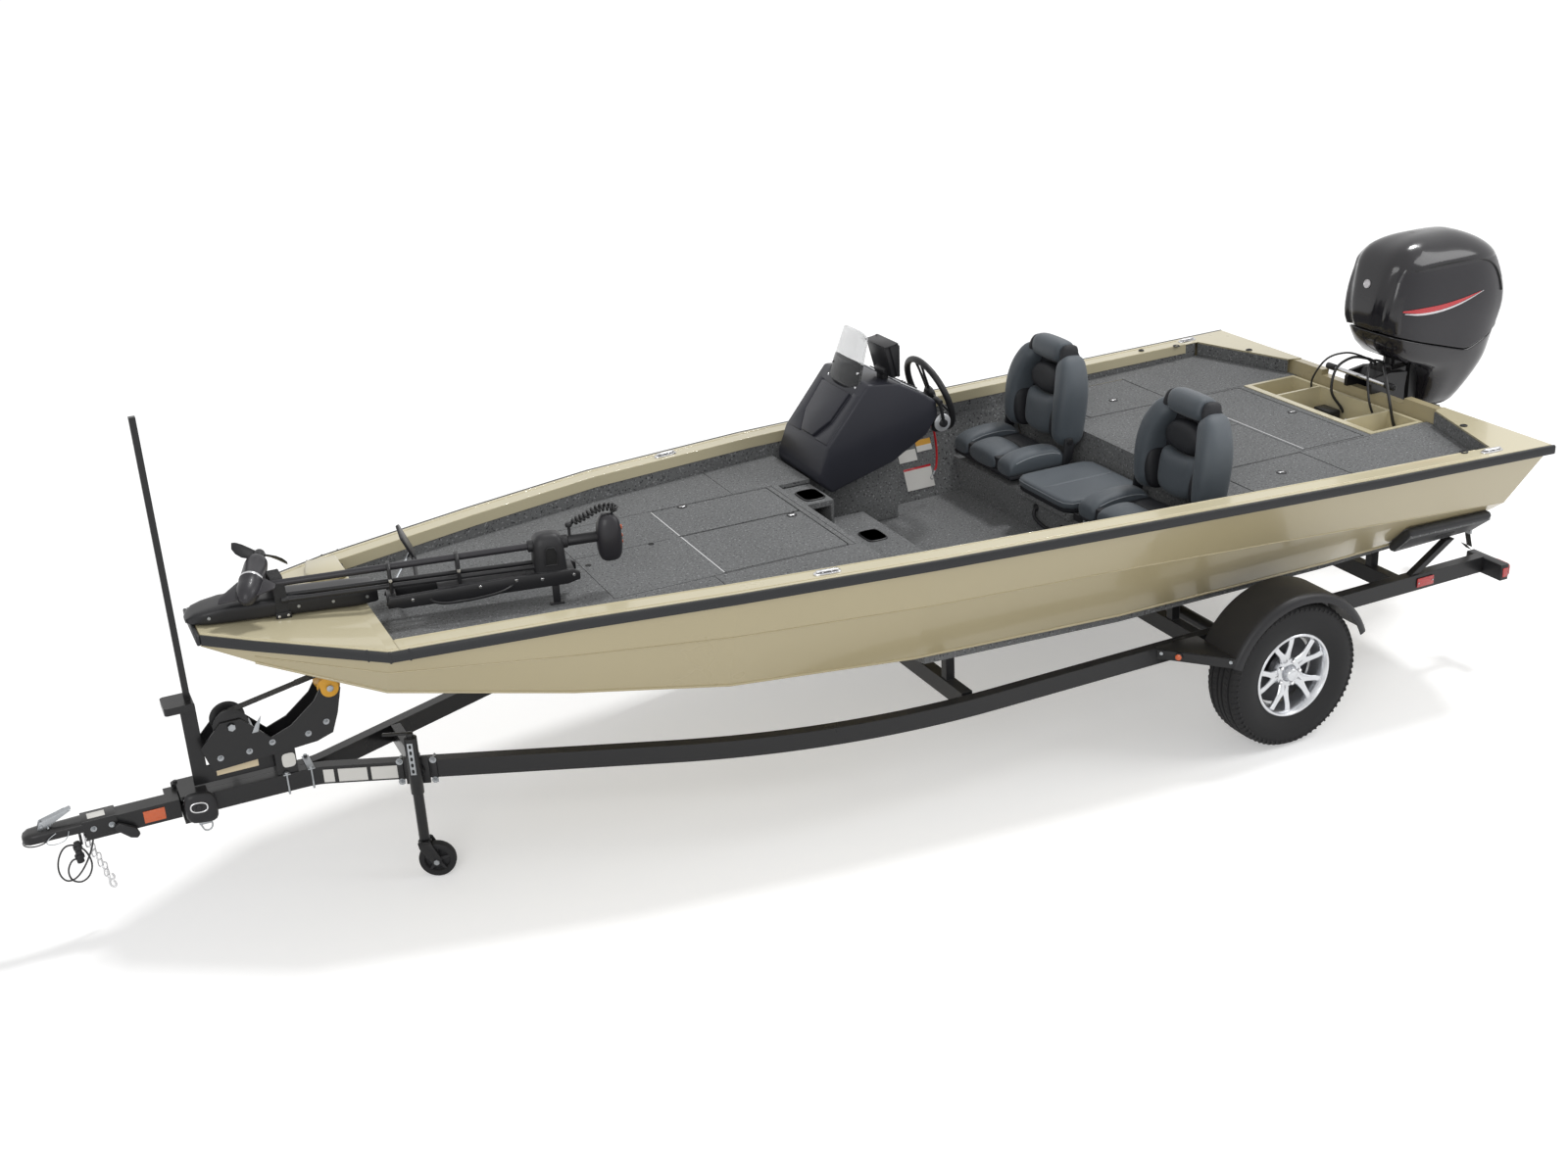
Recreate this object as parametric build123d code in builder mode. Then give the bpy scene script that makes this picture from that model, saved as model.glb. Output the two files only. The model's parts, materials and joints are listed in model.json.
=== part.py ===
from build123d import *
import os
from math import atan, cos, radians, sin, sqrt, tan

os.makedirs("parts", exist_ok=True)

# Bass boat on its road trailer. Millimetres, X towards the bow, Y to port, Z up, floor at Z = 0.
# Stations along the boat are measured forward from the stern corner of the gunwale.
stern_x = -2840.0
stub_front = 5800.0
tongue_reach = 620.0
coupler_nose = stub_front + tongue_reach
motor_tail = -740.0


def at(station, y, z):
    return (stern_x + station, y, z)


def save(part, label):
    part.label = label
    export_step(part, "parts/" + label + ".step")


def box_between(low, high):
    with Locations([((low[0] + high[0]) / 2, (low[1] + high[1]) / 2, (low[2] + high[2]) / 2)]):
        Box(high[0] - low[0], high[1] - low[1], high[2] - low[2])


def slab(station_range, y_range, z_range):
    low = at(station_range[0], y_range[0], z_range[0])
    high = at(station_range[1], y_range[1], z_range[1])
    box_between(low, high)


def side_plane(y):
    # Local x runs forward from the stern corner, local y runs up.
    return Plane(origin=at(0, y, 0), x_dir=(1, 0, 0), z_dir=(0, -1, 0))


def section_plane(station):
    # Local x runs to port, local y runs up.
    return Plane(origin=at(station, 0, 0), x_dir=(0, 1, 0), z_dir=(1, 0, 0))


def deck_plane(z):
    # Local x runs forward from the stern corner, local y runs to port.
    return Plane(origin=at(0, 0, z), x_dir=(1, 0, 0), z_dir=(0, 0, 1))


# Hull lines: station, keel height, chine, knuckle and sheer as half breadth and height
hull_lines = [
    (0, 505, 780, 650, 968, 800, 1154, 1118),
    (900, 505, 765, 620, 948, 848, 1098, 1127),
    (2000, 505, 750, 620, 912, 905, 1020, 1145),
    (3000, 512, 735, 660, 860, 935, 932, 1158),
    (3800, 530, 690, 725, 770, 962, 822, 1160),
    (4400, 585, 580, 805, 648, 985, 690, 1148),
    (5070, 765, 405, 905, 478, 1012, 544, 1122),
    (5500, 1025, 225, 1062, 236, 1090, 255, 1160),
    (5670, 1118, 118, 1126, 126, 1140, 136, 1178),
]
plate = 5.0
transom_thick = 45.0
transom_rake = 9.5
cap_width = 100.0
cap_plate = 4.0
notch_z = 1092.0
notch_half = 290.0
fit = 0.3


def lines_at(station):
    for before, after in zip(hull_lines, hull_lines[1:]):
        if station <= after[0]:
            part_way = (station - before[0]) / (after[0] - before[0])
            return [a + (b - a) * part_way for a, b in zip(before, after)]
    return list(hull_lines[-1])


def sheer_y(station):
    return lines_at(station)[6]


def sheer_z(station):
    return lines_at(station)[7]


def inside_y(station, z):
    # Half breadth of the inner face of the plating at height z
    keel, chine_y, chine_z, knuckle_y, knuckle_z, top_y, top_z = lines_at(station)[1:]
    if z > knuckle_z:
        return knuckle_y + (top_y - knuckle_y) * (z - knuckle_z) / (top_z - knuckle_z) - plate
    if z > chine_z:
        return chine_y + (knuckle_y - chine_y) * (z - chine_z) / (knuckle_z - chine_z) - plate
    return chine_y * (z - keel) / (chine_z - keel) - plate


def both_sides(points):
    return points + [(-y, z) for y, z in reversed(points) if y > 0]


def hull_outline(row, grow, rise):
    station, keel, chine_y, chine_z, knuckle_y, knuckle_z, top_y, top_z = row
    return both_sides([
        (0, keel - grow * 1.05),
        (chine_y + grow * 0.7, chine_z - grow * 0.8),
        (knuckle_y + grow, knuckle_z - grow * 0.3),
        (top_y + grow, top_z + rise),
    ])


def outline_face(points):
    Polygon(*points, align=None)


def transom_plane(forward):
    lean = radians(transom_rake)
    return Plane(
        origin=at(forward, 0, hull_lines[0][7]),
        x_dir=(0, 1, 0),
        z_dir=(cos(lean), 0, sin(lean)),
    )


def on_transom(points):
    lean = radians(transom_rake)
    return [(y, (z - hull_lines[0][7]) / cos(lean)) for y, z in points]


with BuildPart() as hull:
    with BuildSketch(transom_plane(0)):
        outline_face(on_transom(hull_outline(hull_lines[0], 0, 0)))
    for row in hull_lines[1:]:
        with BuildSketch(section_plane(row[0])):
            outline_face(hull_outline(row, 0, 0))
    loft(ruled=True)
    with BuildSketch(transom_plane(transom_thick)):
        outline_face(on_transom(hull_outline(hull_lines[0], -plate, 60)))
    for row in hull_lines[1:-1]:
        with BuildSketch(section_plane(row[0])):
            outline_face(hull_outline(row, -plate, 60))
    with BuildSketch(section_plane(5650)):
        outline_face(hull_outline(lines_at(5650), -plate, 60))
    loft(ruled=True, mode=Mode.SUBTRACT)
    with Locations([at(20, 0, notch_z + 50)]):
        Box(180, 2 * notch_half, 100, mode=Mode.SUBTRACT)
save(hull.part, "hull")

# Gunwale caps: a flat top and a short flange down its inner edge
cap_flange = 45.0
cap_start = 330.0
bow_break = hull_lines[6][0] - 40
cap_stations = [cap_start, 900, 2000, 3000, 3800, 4400, bow_break]
with BuildPart() as gunwale_caps:
    for side in (1, -1):
        for station in cap_stations:
            y = sheer_y(station)
            z = sheer_z(station)
            inner = y - cap_width
            corners = [
                (y, z + fit),
                (y, z + fit + cap_plate),
                (inner, z + fit + cap_plate),
                (inner, z - cap_flange),
                (inner + cap_plate, z - cap_flange),
                (inner + cap_plate, z + fit),
            ]
            with BuildSketch(section_plane(station)):
                outline_face([(side * a, b) for a, b in corners])
        loft(ruled=True)
save(gunwale_caps.part, "gunwale_caps")

# Rub rail round both sides and the bow
rail_depth = 42.0
rail_thick = 18.0
rail_stations = [0, 900, 2000, 3000, 3800, 4400, 5070, 5500, 5670]
with BuildPart() as rub_rail:
    for side in (1, -1):
        for station in rail_stations:
            knuckle_y, knuckle_z, y, z = lines_at(station)[4:]
            slope = (y - knuckle_y) / (z - knuckle_z)
            low = z + 5 - rail_depth
            corners = [
                (y + fit, z + 5),
                (y + rail_thick, z + 5),
                (y + rail_thick, low),
                (y + fit + 1 - slope * (z - low), low),
                (y + fit, z),
            ]
            corners = [(side * a, b) for a, b in corners]
            with BuildSketch(transom_plane(0) if station == 0 else section_plane(station)):
                outline_face(on_transom(corners) if station == 0 else corners)
        loft(ruled=True)
    tip_y = sheer_y(5670) + rail_thick
    tip_z = sheer_z(5670) + 5
    slab((5670.3, 5686), (-tip_y, tip_y), (tip_z - rail_depth, tip_z))
    for side in (1, -1):
        slab((5665, 5672), sorted((side * (tip_y - 15), side * tip_y)), (tip_z - rail_depth, tip_z))
save(rub_rail.part, "rub_rail")

# Bow plate, with a flange down its aft edge
with BuildPart() as bow_plate:
    for station in (bow_break + fit, 5070, 5500, 5668):
        y = sheer_y(station)
        z = sheer_z(station) + fit
        with BuildSketch(section_plane(station)):
            outline_face([(-y, z), (y, z), (y, z + cap_plate), (-y, z + cap_plate)])
    loft(ruled=True)
    flange_y = sheer_y(bow_break) - cap_width
    z = sheer_z(bow_break + 4) + fit + 1
    slab((bow_break + fit, bow_break + 4), (-flange_y, flange_y), (1052, z))
save(bow_plate.part, "bow_plate")

# Carpeted decks
deck_z = 1050.0
deck_thick = 18.0
hatch_gap = 6.0
bay_front = 3030.0
bay_console = bay_front - 160
console_inner = -450.0
floor_z = 700.0
box_front = 1880.0
box_z = 855.0
rear_edge = 1450.0
step_z = 900.0
step_aft = 2680.0
well_front = 400.0
well_half = 460.0

# Hatches: label, aft end, forward end, starboard edge, port edge
front_hatches = [
    ("hatch_bow_centre", 3090, 3648, -450, -118),
    ("hatch_bow_port", 3090, 3648, -106, 350),
]
rear_hatches = [
    ("hatch_aft_centre", 440, 780, -450, 450),
    ("hatch_aft_port", 830, 1320, 480, 900),
    ("hatch_aft_starboard", 830, 1320, -900, -480),
]


def liner_y(station):
    return sheer_y(station) - cap_width + cap_plate + fit


def cut_hatches(rows):
    for label, aft, fore, low, high in rows:
        with Locations([at((aft + fore) / 2, (low + high) / 2, deck_z - deck_thick / 2)]):
            Box(fore - aft + 2 * hatch_gap, high - low + 2 * hatch_gap, 3 * deck_thick, mode=Mode.SUBTRACT)


with BuildPart() as front_deck:
    edge = [(s, liner_y(s)) for s in (bow_break - 2, 4400, 3800, bay_front)]
    far_edge = [(s, -liner_y(s)) for s in (bay_console, 3000, 3800, 4400, bow_break - 2)]
    with BuildSketch(deck_plane(deck_z - deck_thick)):
        outline_face(edge + [(bay_front, console_inner), (bay_console, console_inner)] + far_edge)
    extrude(amount=deck_thick)
    cut_hatches(front_hatches)
save(front_deck.part, "front_deck")

with BuildPart() as rear_deck:
    edge = [(s, liner_y(s)) for s in (60, 900, rear_edge)]
    with BuildSketch(deck_plane(deck_z - deck_thick)):
        outline_face(
            [(60, well_half)] + edge + [(s, -y) for s, y in reversed(edge)]
            + [(60, -well_half), (well_front, -well_half), (well_front, well_half)]
        )
    extrude(amount=deck_thick)
    cut_hatches(rear_hatches)
save(rear_deck.part, "rear_deck")

for label, aft, fore, low, high in front_hatches + rear_hatches:
    with BuildPart() as hatch:
        slab((aft, fore), (low, high), (deck_z - 15, deck_z))
        fillet(hatch.edges().filter_by(Axis.Z), radius=12)
    save(hatch.part, label)

# Hinge strips that the hatches swing on, let into the decks
with BuildPart() as hatch_hinges:
    for label, aft, fore, low, high in front_hatches:
        slab((fore + fit, fore + hatch_gap), (low, high), (deck_z - 9, deck_z + 1))
    aft, fore, low, high = rear_hatches[0][1:]
    slab((fore + fit, fore + hatch_gap), (low, high), (deck_z - 9, deck_z + 1))
    for label, aft, fore, low, high in rear_hatches[1:]:
        outer = max(abs(low), abs(high))
        side = 1 if high > 0 else -1
        slab((aft, fore), sorted((side * (outer + fit), side * (outer + hatch_gap))), (deck_z - 9, deck_z + 1))
save(hatch_hinges.part, "hatch_hinges")

def cockpit_side(station, z):
    # Half breadth of the inner face of the cockpit's sloping sides
    low = inside_y(station, floor_z - 20) - 14
    high = liner_y(station) + fit
    return low + (high - low) * (z - floor_z + 20) / (1032 - floor_z + 20)


# Carpeted sides: an upright strip above the decks, and the sloping sides of the cockpit
with BuildPart() as side_liners:
    for side in (1, -1):
        for station in (262, 900, 2000, 3000, 3800, 4400, bow_break - 2):
            y = liner_y(station) + fit
            z = sheer_z(station) - fit
            with BuildSketch(section_plane(station)):
                outline_face([(side * a, b) for a, b in [(y, 1032), (y + 8, 1032), (y + 8, z), (y, z)]])
        loft(ruled=True)
        for station in (rear_edge + 14, 2000, bay_front - 20):
            y = liner_y(station) + fit
            low_y = inside_y(station, floor_z - 20) - 6
            corners = [(y, 1032), (y + 8, 1032), (low_y, floor_z - 20), (low_y - 8, floor_z - 20)]
            with BuildSketch(section_plane(station)):
                outline_face([(side * a, b) for a, b in corners])
        loft(ruled=True)
save(side_liners.part, "side_liners")

# Cockpit floor, the step up to the front deck, the shelf by the console and the bulkhead
with BuildPart() as cockpit_floor:
    with BuildSketch(deck_plane(floor_z - 15)):
        edge = [(s, cockpit_side(s, floor_z - 15) - 4) for s in (box_front, 2000, bay_front - 22)]
        outline_face(edge + [(s, -y) for s, y in reversed(edge)])
    extrude(amount=15)
    side = cockpit_side(step_aft, floor_z) - 14
    slab((step_aft, step_aft + 15), (-300, side), (floor_z, step_z))
    slab((step_aft, bay_front - 18), (-300, side), (step_z - 15, step_z))
    slab((bay_console + 5, bay_front - 18), (-445, -200), (1005, 1030))
    slab((bay_console + 5, bay_console + 20), (-445, -200), (floor_z, 1030))
    half = [(inside_y(bay_front, z) - 8, z) for z in (floor_z - 15, 930)]
    with BuildSketch(section_plane(bay_front - 18)):
        outline_face(both_sides(half + [(liner_y(bay_front) - 6, deck_z - deck_thick - fit)]))
    extrude(amount=14)
save(cockpit_floor.part, "cockpit_floor")

# Seat box: front wall, top and the bulkhead up to the rear deck
with BuildPart() as seat_box:
    with BuildSketch(section_plane(box_front - 15)):
        outline_face(both_sides([(cockpit_side(box_front, z) - 5, z) for z in (floor_z - 15, box_z)]))
    extrude(amount=15 - fit)
    with BuildSketch(deck_plane(box_z - 15)):
        edge = [(s, cockpit_side(s, box_z - 15) - 5) for s in (rear_edge + fit, box_front - 1)]
        outline_face(edge + [(s, -y) for s, y in reversed(edge)])
    extrude(amount=15)
    with BuildSketch(section_plane(rear_edge + fit)):
        half = [(cockpit_side(rear_edge, z) - 5, z) for z in (box_z - 15, 1031)]
        outline_face(both_sides(half + [(liner_y(rear_edge + 12) - 1, 1031), (liner_y(rear_edge + 12) - 1, deck_z)]))
    extrude(amount=12)
    slab((1502, 1902), (-212, 212), (box_z, box_z + 30 - fit))
save(seat_box.part, "seat_box")

# Splash well: open tray let in between the rear deck and the transom
well_floor = 930.0
with BuildPart() as splash_well:
    slab((82, well_front - fit), (-well_half + fit, well_half - fit), (well_floor - 4, deck_z + 4))
    for low, high in ((-440, -250), (-235, 235), (250, 440)):
        with Locations([at((100 + well_front - 35) / 2, (low + high) / 2, well_floor + 100)]):
            Box(well_front - 35 - 100, high - low, 200, mode=Mode.SUBTRACT)
save(splash_well.part, "splash_well")

# Stern quarters: three-cornered plates beside the transom, with a carpeted inner wall
quarter_inner = [(2, 500), (70, 520), (250, sheer_y(250) - cap_width), (cap_start - fit, sheer_y(cap_start) - cap_width)]
with BuildPart() as stern_quarters:
    for side in (1, -1):
        for station, inner in quarter_inner:
            y = sheer_y(station)
            z = sheer_z(station) + fit
            with BuildSketch(section_plane(station)):
                outline_face([(side * inner, z), (side * y, z), (side * y, z + cap_plate), (side * inner, z + cap_plate)])
        loft(ruled=True)
        wall = [(station, inner) for station, inner in quarter_inner[1:3]]
        with BuildSketch(deck_plane(deck_z + fit)):
            outline_face([(s, side * y) for s, y in wall] + [(s - 4, side * (y + 4)) for s, y in reversed(wall)])
        extrude(amount=hull_lines[0][7] - deck_z)
save(stern_quarters.part, "stern_quarters")

# Trailer frame: two bent rails that meet as the tongue stub, and the cross-members between them
rail_wide = 50.0
rail_high = 76.0
rail_top = 487.0
rail_low = rail_top - rail_high
rail_bends = [(stub_front, rail_wide / 2 + fit), (stub_front - 480, rail_wide / 2 + fit), (3400, 870), (20, 830)]
rail_radii = [250, 3200]


for side, label in ((1, "rail_left"), (-1, "rail_right")):
    with BuildPart() as rail:
        with BuildLine():
            FilletPolyline(
                *[at(s, side * y, rail_top - rail_high / 2) for s, y in rail_bends], radius=rail_radii
            )
        with BuildSketch(Plane(origin=at(stub_front, side * rail_bends[0][1], rail_top - rail_high / 2),
                               x_dir=(0, 1, 0), z_dir=(-1, 0, 0))):
            Rectangle(rail_wide, rail_high)
        sweep()
    save(rail.part, label)


cross_stations = [520, 1650, 2800]
cross_wide = 50.0
bunk_y = 660.0
bunk_half = 70.0
bunk_thick = 38.0
bunk_gap = 0.6


def hull_bottom(station, y):
    keel, chine_y, chine_z = lines_at(station)[1:4]
    return keel + (chine_z - keel) * y / chine_y


guide_post_top = 619.0
guide_gap = 2.2


def guide_corner(station, along, out):
    # Point on the hull's lower side panel, measured up from the chine and out from the plating
    chine_y, chine_z, knuckle_y, knuckle_z = lines_at(station)[2:6]
    length = sqrt((knuckle_y - chine_y) ** 2 + (knuckle_z - chine_z) ** 2)
    across, up = (knuckle_y - chine_y) / length, (knuckle_z - chine_z) / length
    return (chine_y + across * along + up * out, chine_z + up * along - across * out)


with BuildPart() as crossmembers:
    for station, half in zip(cross_stations, (810, 823.5, 814)):
        slab((station - cross_wide / 2, station + cross_wide / 2), (-half, half), (rail_low, rail_top))
        post_top = min(hull_bottom(s, bunk_y - 20) for s in (station - 20, station + 20)) - bunk_gap - bunk_thick - fit
        for side in (1, -1):
            y = side * bunk_y
            slab((station - 20, station + 20), sorted((y - side * 20, y + side * 20)), (rail_top, post_top))
    slab((4930, 4970), (-151.5, 151.5), (rail_low, rail_top))
    for side in (1, -1):
        with BuildSketch(side_plane(side * 835 + 17)):
            Polygon((412, rail_top + fit), (462, rail_top + fit), (262, guide_post_top), (212, guide_post_top), align=None)
        extrude(amount=34)
save(crossmembers.part, "crossmembers")

# Bunk boards bent to the hull's bottom, and guide pads on the lower side panels
with BuildPart() as bunks:
    for side in (1, -1):
        for station in (410, 900, 2000, 2950):
            low, high = bunk_y - bunk_half, bunk_y + bunk_half
            corners = [(low, hull_bottom(station, low) - bunk_gap), (high, hull_bottom(station, high) - bunk_gap)]
            under = [(y, z - bunk_thick) for y, z in reversed(corners)]
            with BuildSketch(section_plane(station)):
                outline_face([(side * y, z) for y, z in corners + under])
        loft(ruled=True)
        for station in (92, 550):
            corners = [(28, guide_gap), (165, guide_gap), (182, 22), (165, 50), (28, 50), (12, 22)]
            with BuildSketch(section_plane(station)):
                outline_face([(side * y, z) for y, z in (guide_corner(station, *corner) for corner in corners)])
        loft(ruled=True)
save(bunks.part, "bunks")

axle_x = 1368.0
wheel_z = 333.0
wheel_y = 1060.0
tyre_wide = 205.0
rim_r = 180.7
spindle_r = 20.0
with BuildPart() as axle:
    with BuildSketch(side_plane(0)):
        with Locations([(axle_x, wheel_z)]):
            Circle(32)
    extrude(amount=925, both=True)
    with BuildSketch(side_plane(0)):
        with Locations([(axle_x, wheel_z)]):
            Circle(spindle_r)
    extrude(amount=1120, both=True)
    for side in (1, -1):
        with BuildSketch(side_plane(side * 847)):
            Polygon(
                (1040, 380), (1060, 380), (1330, 350), (1406, 350), (1676, 380), (1696, 380),
                (1696, rail_low), (1660, rail_low), (1656, 398), (1406, 374), (1330, 374), (1080, 398),
                (1076, rail_low), (1040, rail_low), align=None,
            )
        extrude(amount=22, both=True)
save(axle.part, "axle")

for side, word in ((1, "left"), (-1, "right")):
    hub = Plane(origin=at(axle_x, side * wheel_y, wheel_z), x_dir=(0, side, 0), z_dir=(side, 0, 0))
    spin = Axis(at(axle_x, side * wheel_y, wheel_z), (0, 1, 0))
    with BuildPart() as tyre:
        with BuildSketch(hub):
            with BuildLine():
                l1 = Line((-76.5, 181), (76.5, 181))
                l2 = Line((76.5, 181), (76.5, 194))
                a1 = ThreePointArc((76.5, 194), (102.5, 255), (86, 319))
                l3 = Polyline((86, 319), (62, 331.5), (0, 333), (-62, 331.5), (-86, 319))
                a2 = ThreePointArc((-86, 319), (-102.5, 255), (-76.5, 194))
                l4 = Line((-76.5, 194), (-76.5, 181))
            make_face()
        revolve(axis=spin)
    save(tyre.part, "tyre_" + word)
    with BuildPart() as rim:
        with BuildSketch(hub):
            Polygon(
                (-83, 172), (-83, 193), (-77, 193), (-77, rim_r), (77, rim_r), (77, 193),
                (83, 193), (86, 186), (86, 176), (70, 172), align=None,
            )
        revolve(axis=spin)
        face = Plane(origin=at(axle_x, side * (wheel_y + 48), wheel_z), x_dir=(side, 0, 0), z_dir=(0, side, 0))
        with BuildSketch(face):
            Circle(173)
            with PolarLocations(0, 5, start_angle=90):
                Polygon((70, -14), (158, -40), (163, 0), (158, 40), (70, 14), (60, 0), align=None, mode=Mode.SUBTRACT)
            with PolarLocations(0, 5, start_angle=126):
                Polygon((78, -7), (150, -16), (154, 0), (150, 16), (78, 7), align=None, mode=Mode.SUBTRACT)
        extrude(amount=22)
        with BuildSketch(Plane(origin=at(axle_x, side * (wheel_y + 10), wheel_z), x_dir=(side, 0, 0), z_dir=(0, side, 0))):
            Circle(52)
        extrude(amount=64)
        with BuildSketch(Plane(origin=at(axle_x, side * (wheel_y + 10), wheel_z), x_dir=(side, 0, 0), z_dir=(0, side, 0))):
            Circle(spindle_r + 0.06)
        extrude(amount=54, mode=Mode.SUBTRACT)
    save(rim.part, "rim_" + word)

# Fenders with their front step plates, carried on brackets from the rails
fender_middle = axle_x - 16.0
fender_r = 380.0
fender_wall = 6.0
fender_roll = 28.0
fender_ends = (19.0, 159.0)
fender_low_y = 940.0
fender_high_y = 1170.0


def fender_arc(radius):
    # Front end, crown and aft end of the arch at a radius
    angles = (fender_ends[0], 90.0, fender_ends[1])
    return [(fender_middle + radius * cos(radians(a)), wheel_z + radius * sin(radians(a))) for a in angles]


def rail_face(station):
    # Outer face of the rails along their straight aft part, with the clearance of what stands on it
    slope = (rail_bends[2][1] - rail_bends[3][1]) / (rail_bends[2][0] - rail_bends[3][0])
    return rail_bends[3][1] + (station - rail_bends[3][0]) * slope + rail_wide / 2 + fit


# Step plate ahead of the fender: its outer edge runs from the fender's corner in to the rail
step_fore = (1915.0, 905.0)
step_aft = (1698.0, 1158.0)
step_top = 500.0
step_thick = 6.0
step_lip = 46.0
step_long = sqrt((step_aft[0] - step_fore[0]) ** 2 + (step_aft[1] - step_fore[1]) ** 2)
step_run = ((step_aft[0] - step_fore[0]) / step_long, (step_aft[1] - step_fore[1]) / step_long)


def step_edge(along, out, side):
    # Point beside the plate's outer edge: a share of its length, and millimetres outward
    x = step_fore[0] + along * step_long * step_run[0] + out * step_run[1]
    y = step_fore[1] + along * step_long * step_run[1] - out * step_run[0]
    return (x, side * y)


with BuildPart() as fenders:
    for side in (1, -1):
        for inner, low, high in (
            (fender_r - fender_wall, fender_low_y, fender_high_y),
            (fender_r - fender_roll, fender_high_y - fender_wall, fender_high_y),
        ):
            front, crown, aft = fender_arc(fender_r)
            front_in, crown_in, aft_in = fender_arc(inner)
            with BuildSketch(side_plane(side * low)):
                with BuildLine():
                    ThreePointArc(front, crown, aft)
                    Line(aft, aft_in)
                    ThreePointArc(aft_in, crown_in, front_in)
                    Line(front_in, front)
                make_face()
            extrude(amount=-side * (high - low))
        edge = [step_edge(along, out, side) for along, out in ((0, 0), (1, 0), (1, -5), (0, -5))]
        with BuildSketch(deck_plane(step_top - step_thick)):
            Polygon((1690, side * 884), (step_fore[0], side * 884), *edge[:2], (1690, side * step_aft[1]), align=None)
        extrude(amount=step_thick)
        with BuildSketch(deck_plane(step_top - step_lip)):
            Polygon(*edge, align=None)
        extrude(amount=step_lip)
        slab((1740, 1800), sorted((side * rail_face(1800), side * 890)), (rail_low + 40, step_top - 3))
        slab((985, 1015), sorted((side * rail_face(1015), side * 945)), (462, 480))
save(fenders.part, "fenders")

# Rear lamp brackets, lamps and side markers
with BuildPart() as lamps:
    for side in (1, -1):
        slab((-30, 19), sorted((side * 745, side * 965)), (400, 480))
        slab((-52, -30), sorted((side * 850, side * 960)), (405, 475))
        spot = step_edge(0.28, fit, side)
        face = Plane(origin=at(*spot, step_top - step_lip / 2), x_dir=(step_run[0], side * step_run[1], 0),
                     z_dir=(step_run[1], -side * step_run[0], 0))
        with BuildSketch(face):
            Circle(15)
        extrude(amount=12)
        slab((330, 430), sorted((side * 860.5, side * 867)), (425, 470))
save(lamps.part, "lamps")

# Folding tongue and its hinge block: the pin stands on the starboard side
tongue_pin = (stub_front + 42, -78)
tongue_front = coupler_nose - 220
hinge_back = stub_front - 60
with BuildPart() as tongue_hinge:
    for low, high in ((rail_low - 20, rail_low - 6), (rail_top + 6, rail_top + 20)):
        slab((hinge_back, tongue_pin[0]), (-96, 64), (low, high))
        with Locations([at(tongue_pin[0], tongue_pin[1], (low + high) / 2)]):
            Cylinder(18, 14)
    slab((hinge_back, stub_front), (-62, 62), (rail_top + fit, rail_top + 6))
    slab((hinge_back, stub_front), (-62, 62), (rail_low - 6, rail_low - fit))
    slab((hinge_back, stub_front), (rail_wide + 2 * fit, 62), (rail_low - 20, rail_top + 20))
    slab((hinge_back, stub_front), (-62, -rail_wide - 2 * fit), (rail_low - 20, rail_top + 20))
    with Locations([at(tongue_pin[0], tongue_pin[1], (rail_low + rail_top) / 2)]):
        Cylinder(8, 130)
save(tongue_hinge.part, "tongue_hinge")

with BuildPart() as tongue_beam:
    slab((stub_front + 46, tongue_front), (-38, 38), (rail_low, rail_top))
    slab((tongue_pin[0], tongue_pin[0] + 50), (tongue_pin[1] - 10, -37), (rail_low, rail_top))
    with Locations([at(tongue_pin[0], tongue_pin[1], (rail_low + rail_top) / 2)]):
        Cylinder(18, rail_high)
        Cylinder(8.06, rail_high + 4, mode=Mode.SUBTRACT)
save(tongue_beam.part, "tongue_beam")

ball_r = 25.6
ball_x = coupler_nose - 44.0
with BuildPart() as coupler:
    coupler_back = tongue_front - 120
    slab((coupler_back, tongue_front), (-44, 44), (rail_top, rail_top + 6))
    slab((coupler_back, tongue_front), (38, 44), (rail_top - 60, rail_top))
    slab((coupler_back, tongue_front), (-44, -38), (rail_top - 60, rail_top))
    slab((tongue_front, ball_x), (-44, 44), (rail_top - 42, rail_top + 6))
    with Locations([at(ball_x, 0, rail_top - 18)]):
        Cylinder(44, 48)
    with Locations([at(ball_x, 0, rail_top - 42)]):
        Cylinder(ball_r, 60, mode=Mode.SUBTRACT)
save(coupler.part, "coupler")

# Jack: bracket on the port rail, swivelling leg, caster fork and wheel
lean = atan((rail_bends[2][1] - rail_bends[1][1]) / (rail_bends[1][0] - rail_bends[2][0]))
jack_station = stub_front - 840
jack_face_y = rail_bends[1][1] + (rail_bends[1][0] - 4950) * tan(lean) + rail_wide / 2 * cos(lean)
jack_pivot_z = 450.0
leg_out = 55.0
jack_wheel_r = 75.0
leg_low = 168.0
caster_trail = 42.0


def jack_spot(aft, out, z):
    return at(
        jack_station - aft * cos(lean) + out * sin(lean),
        jack_face_y + aft * sin(lean) + out * cos(lean),
        z,
    )


def jack_plane(out):
    # Local x runs aft along the rail, local y up, the normal points outboard.
    return Plane(
        origin=jack_spot(0, out, jack_pivot_z),
        x_dir=(-cos(lean), sin(lean), 0),
        z_dir=(sin(lean), cos(lean), 0),
    )


with BuildPart() as jack_mount:
    with BuildSketch(jack_plane(fit)):
        Rectangle(96, 118)
    extrude(amount=8)
    with BuildSketch(jack_plane(fit)):
        Circle(20)
    extrude(amount=22)
save(jack_mount.part, "jack_mount")

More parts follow.
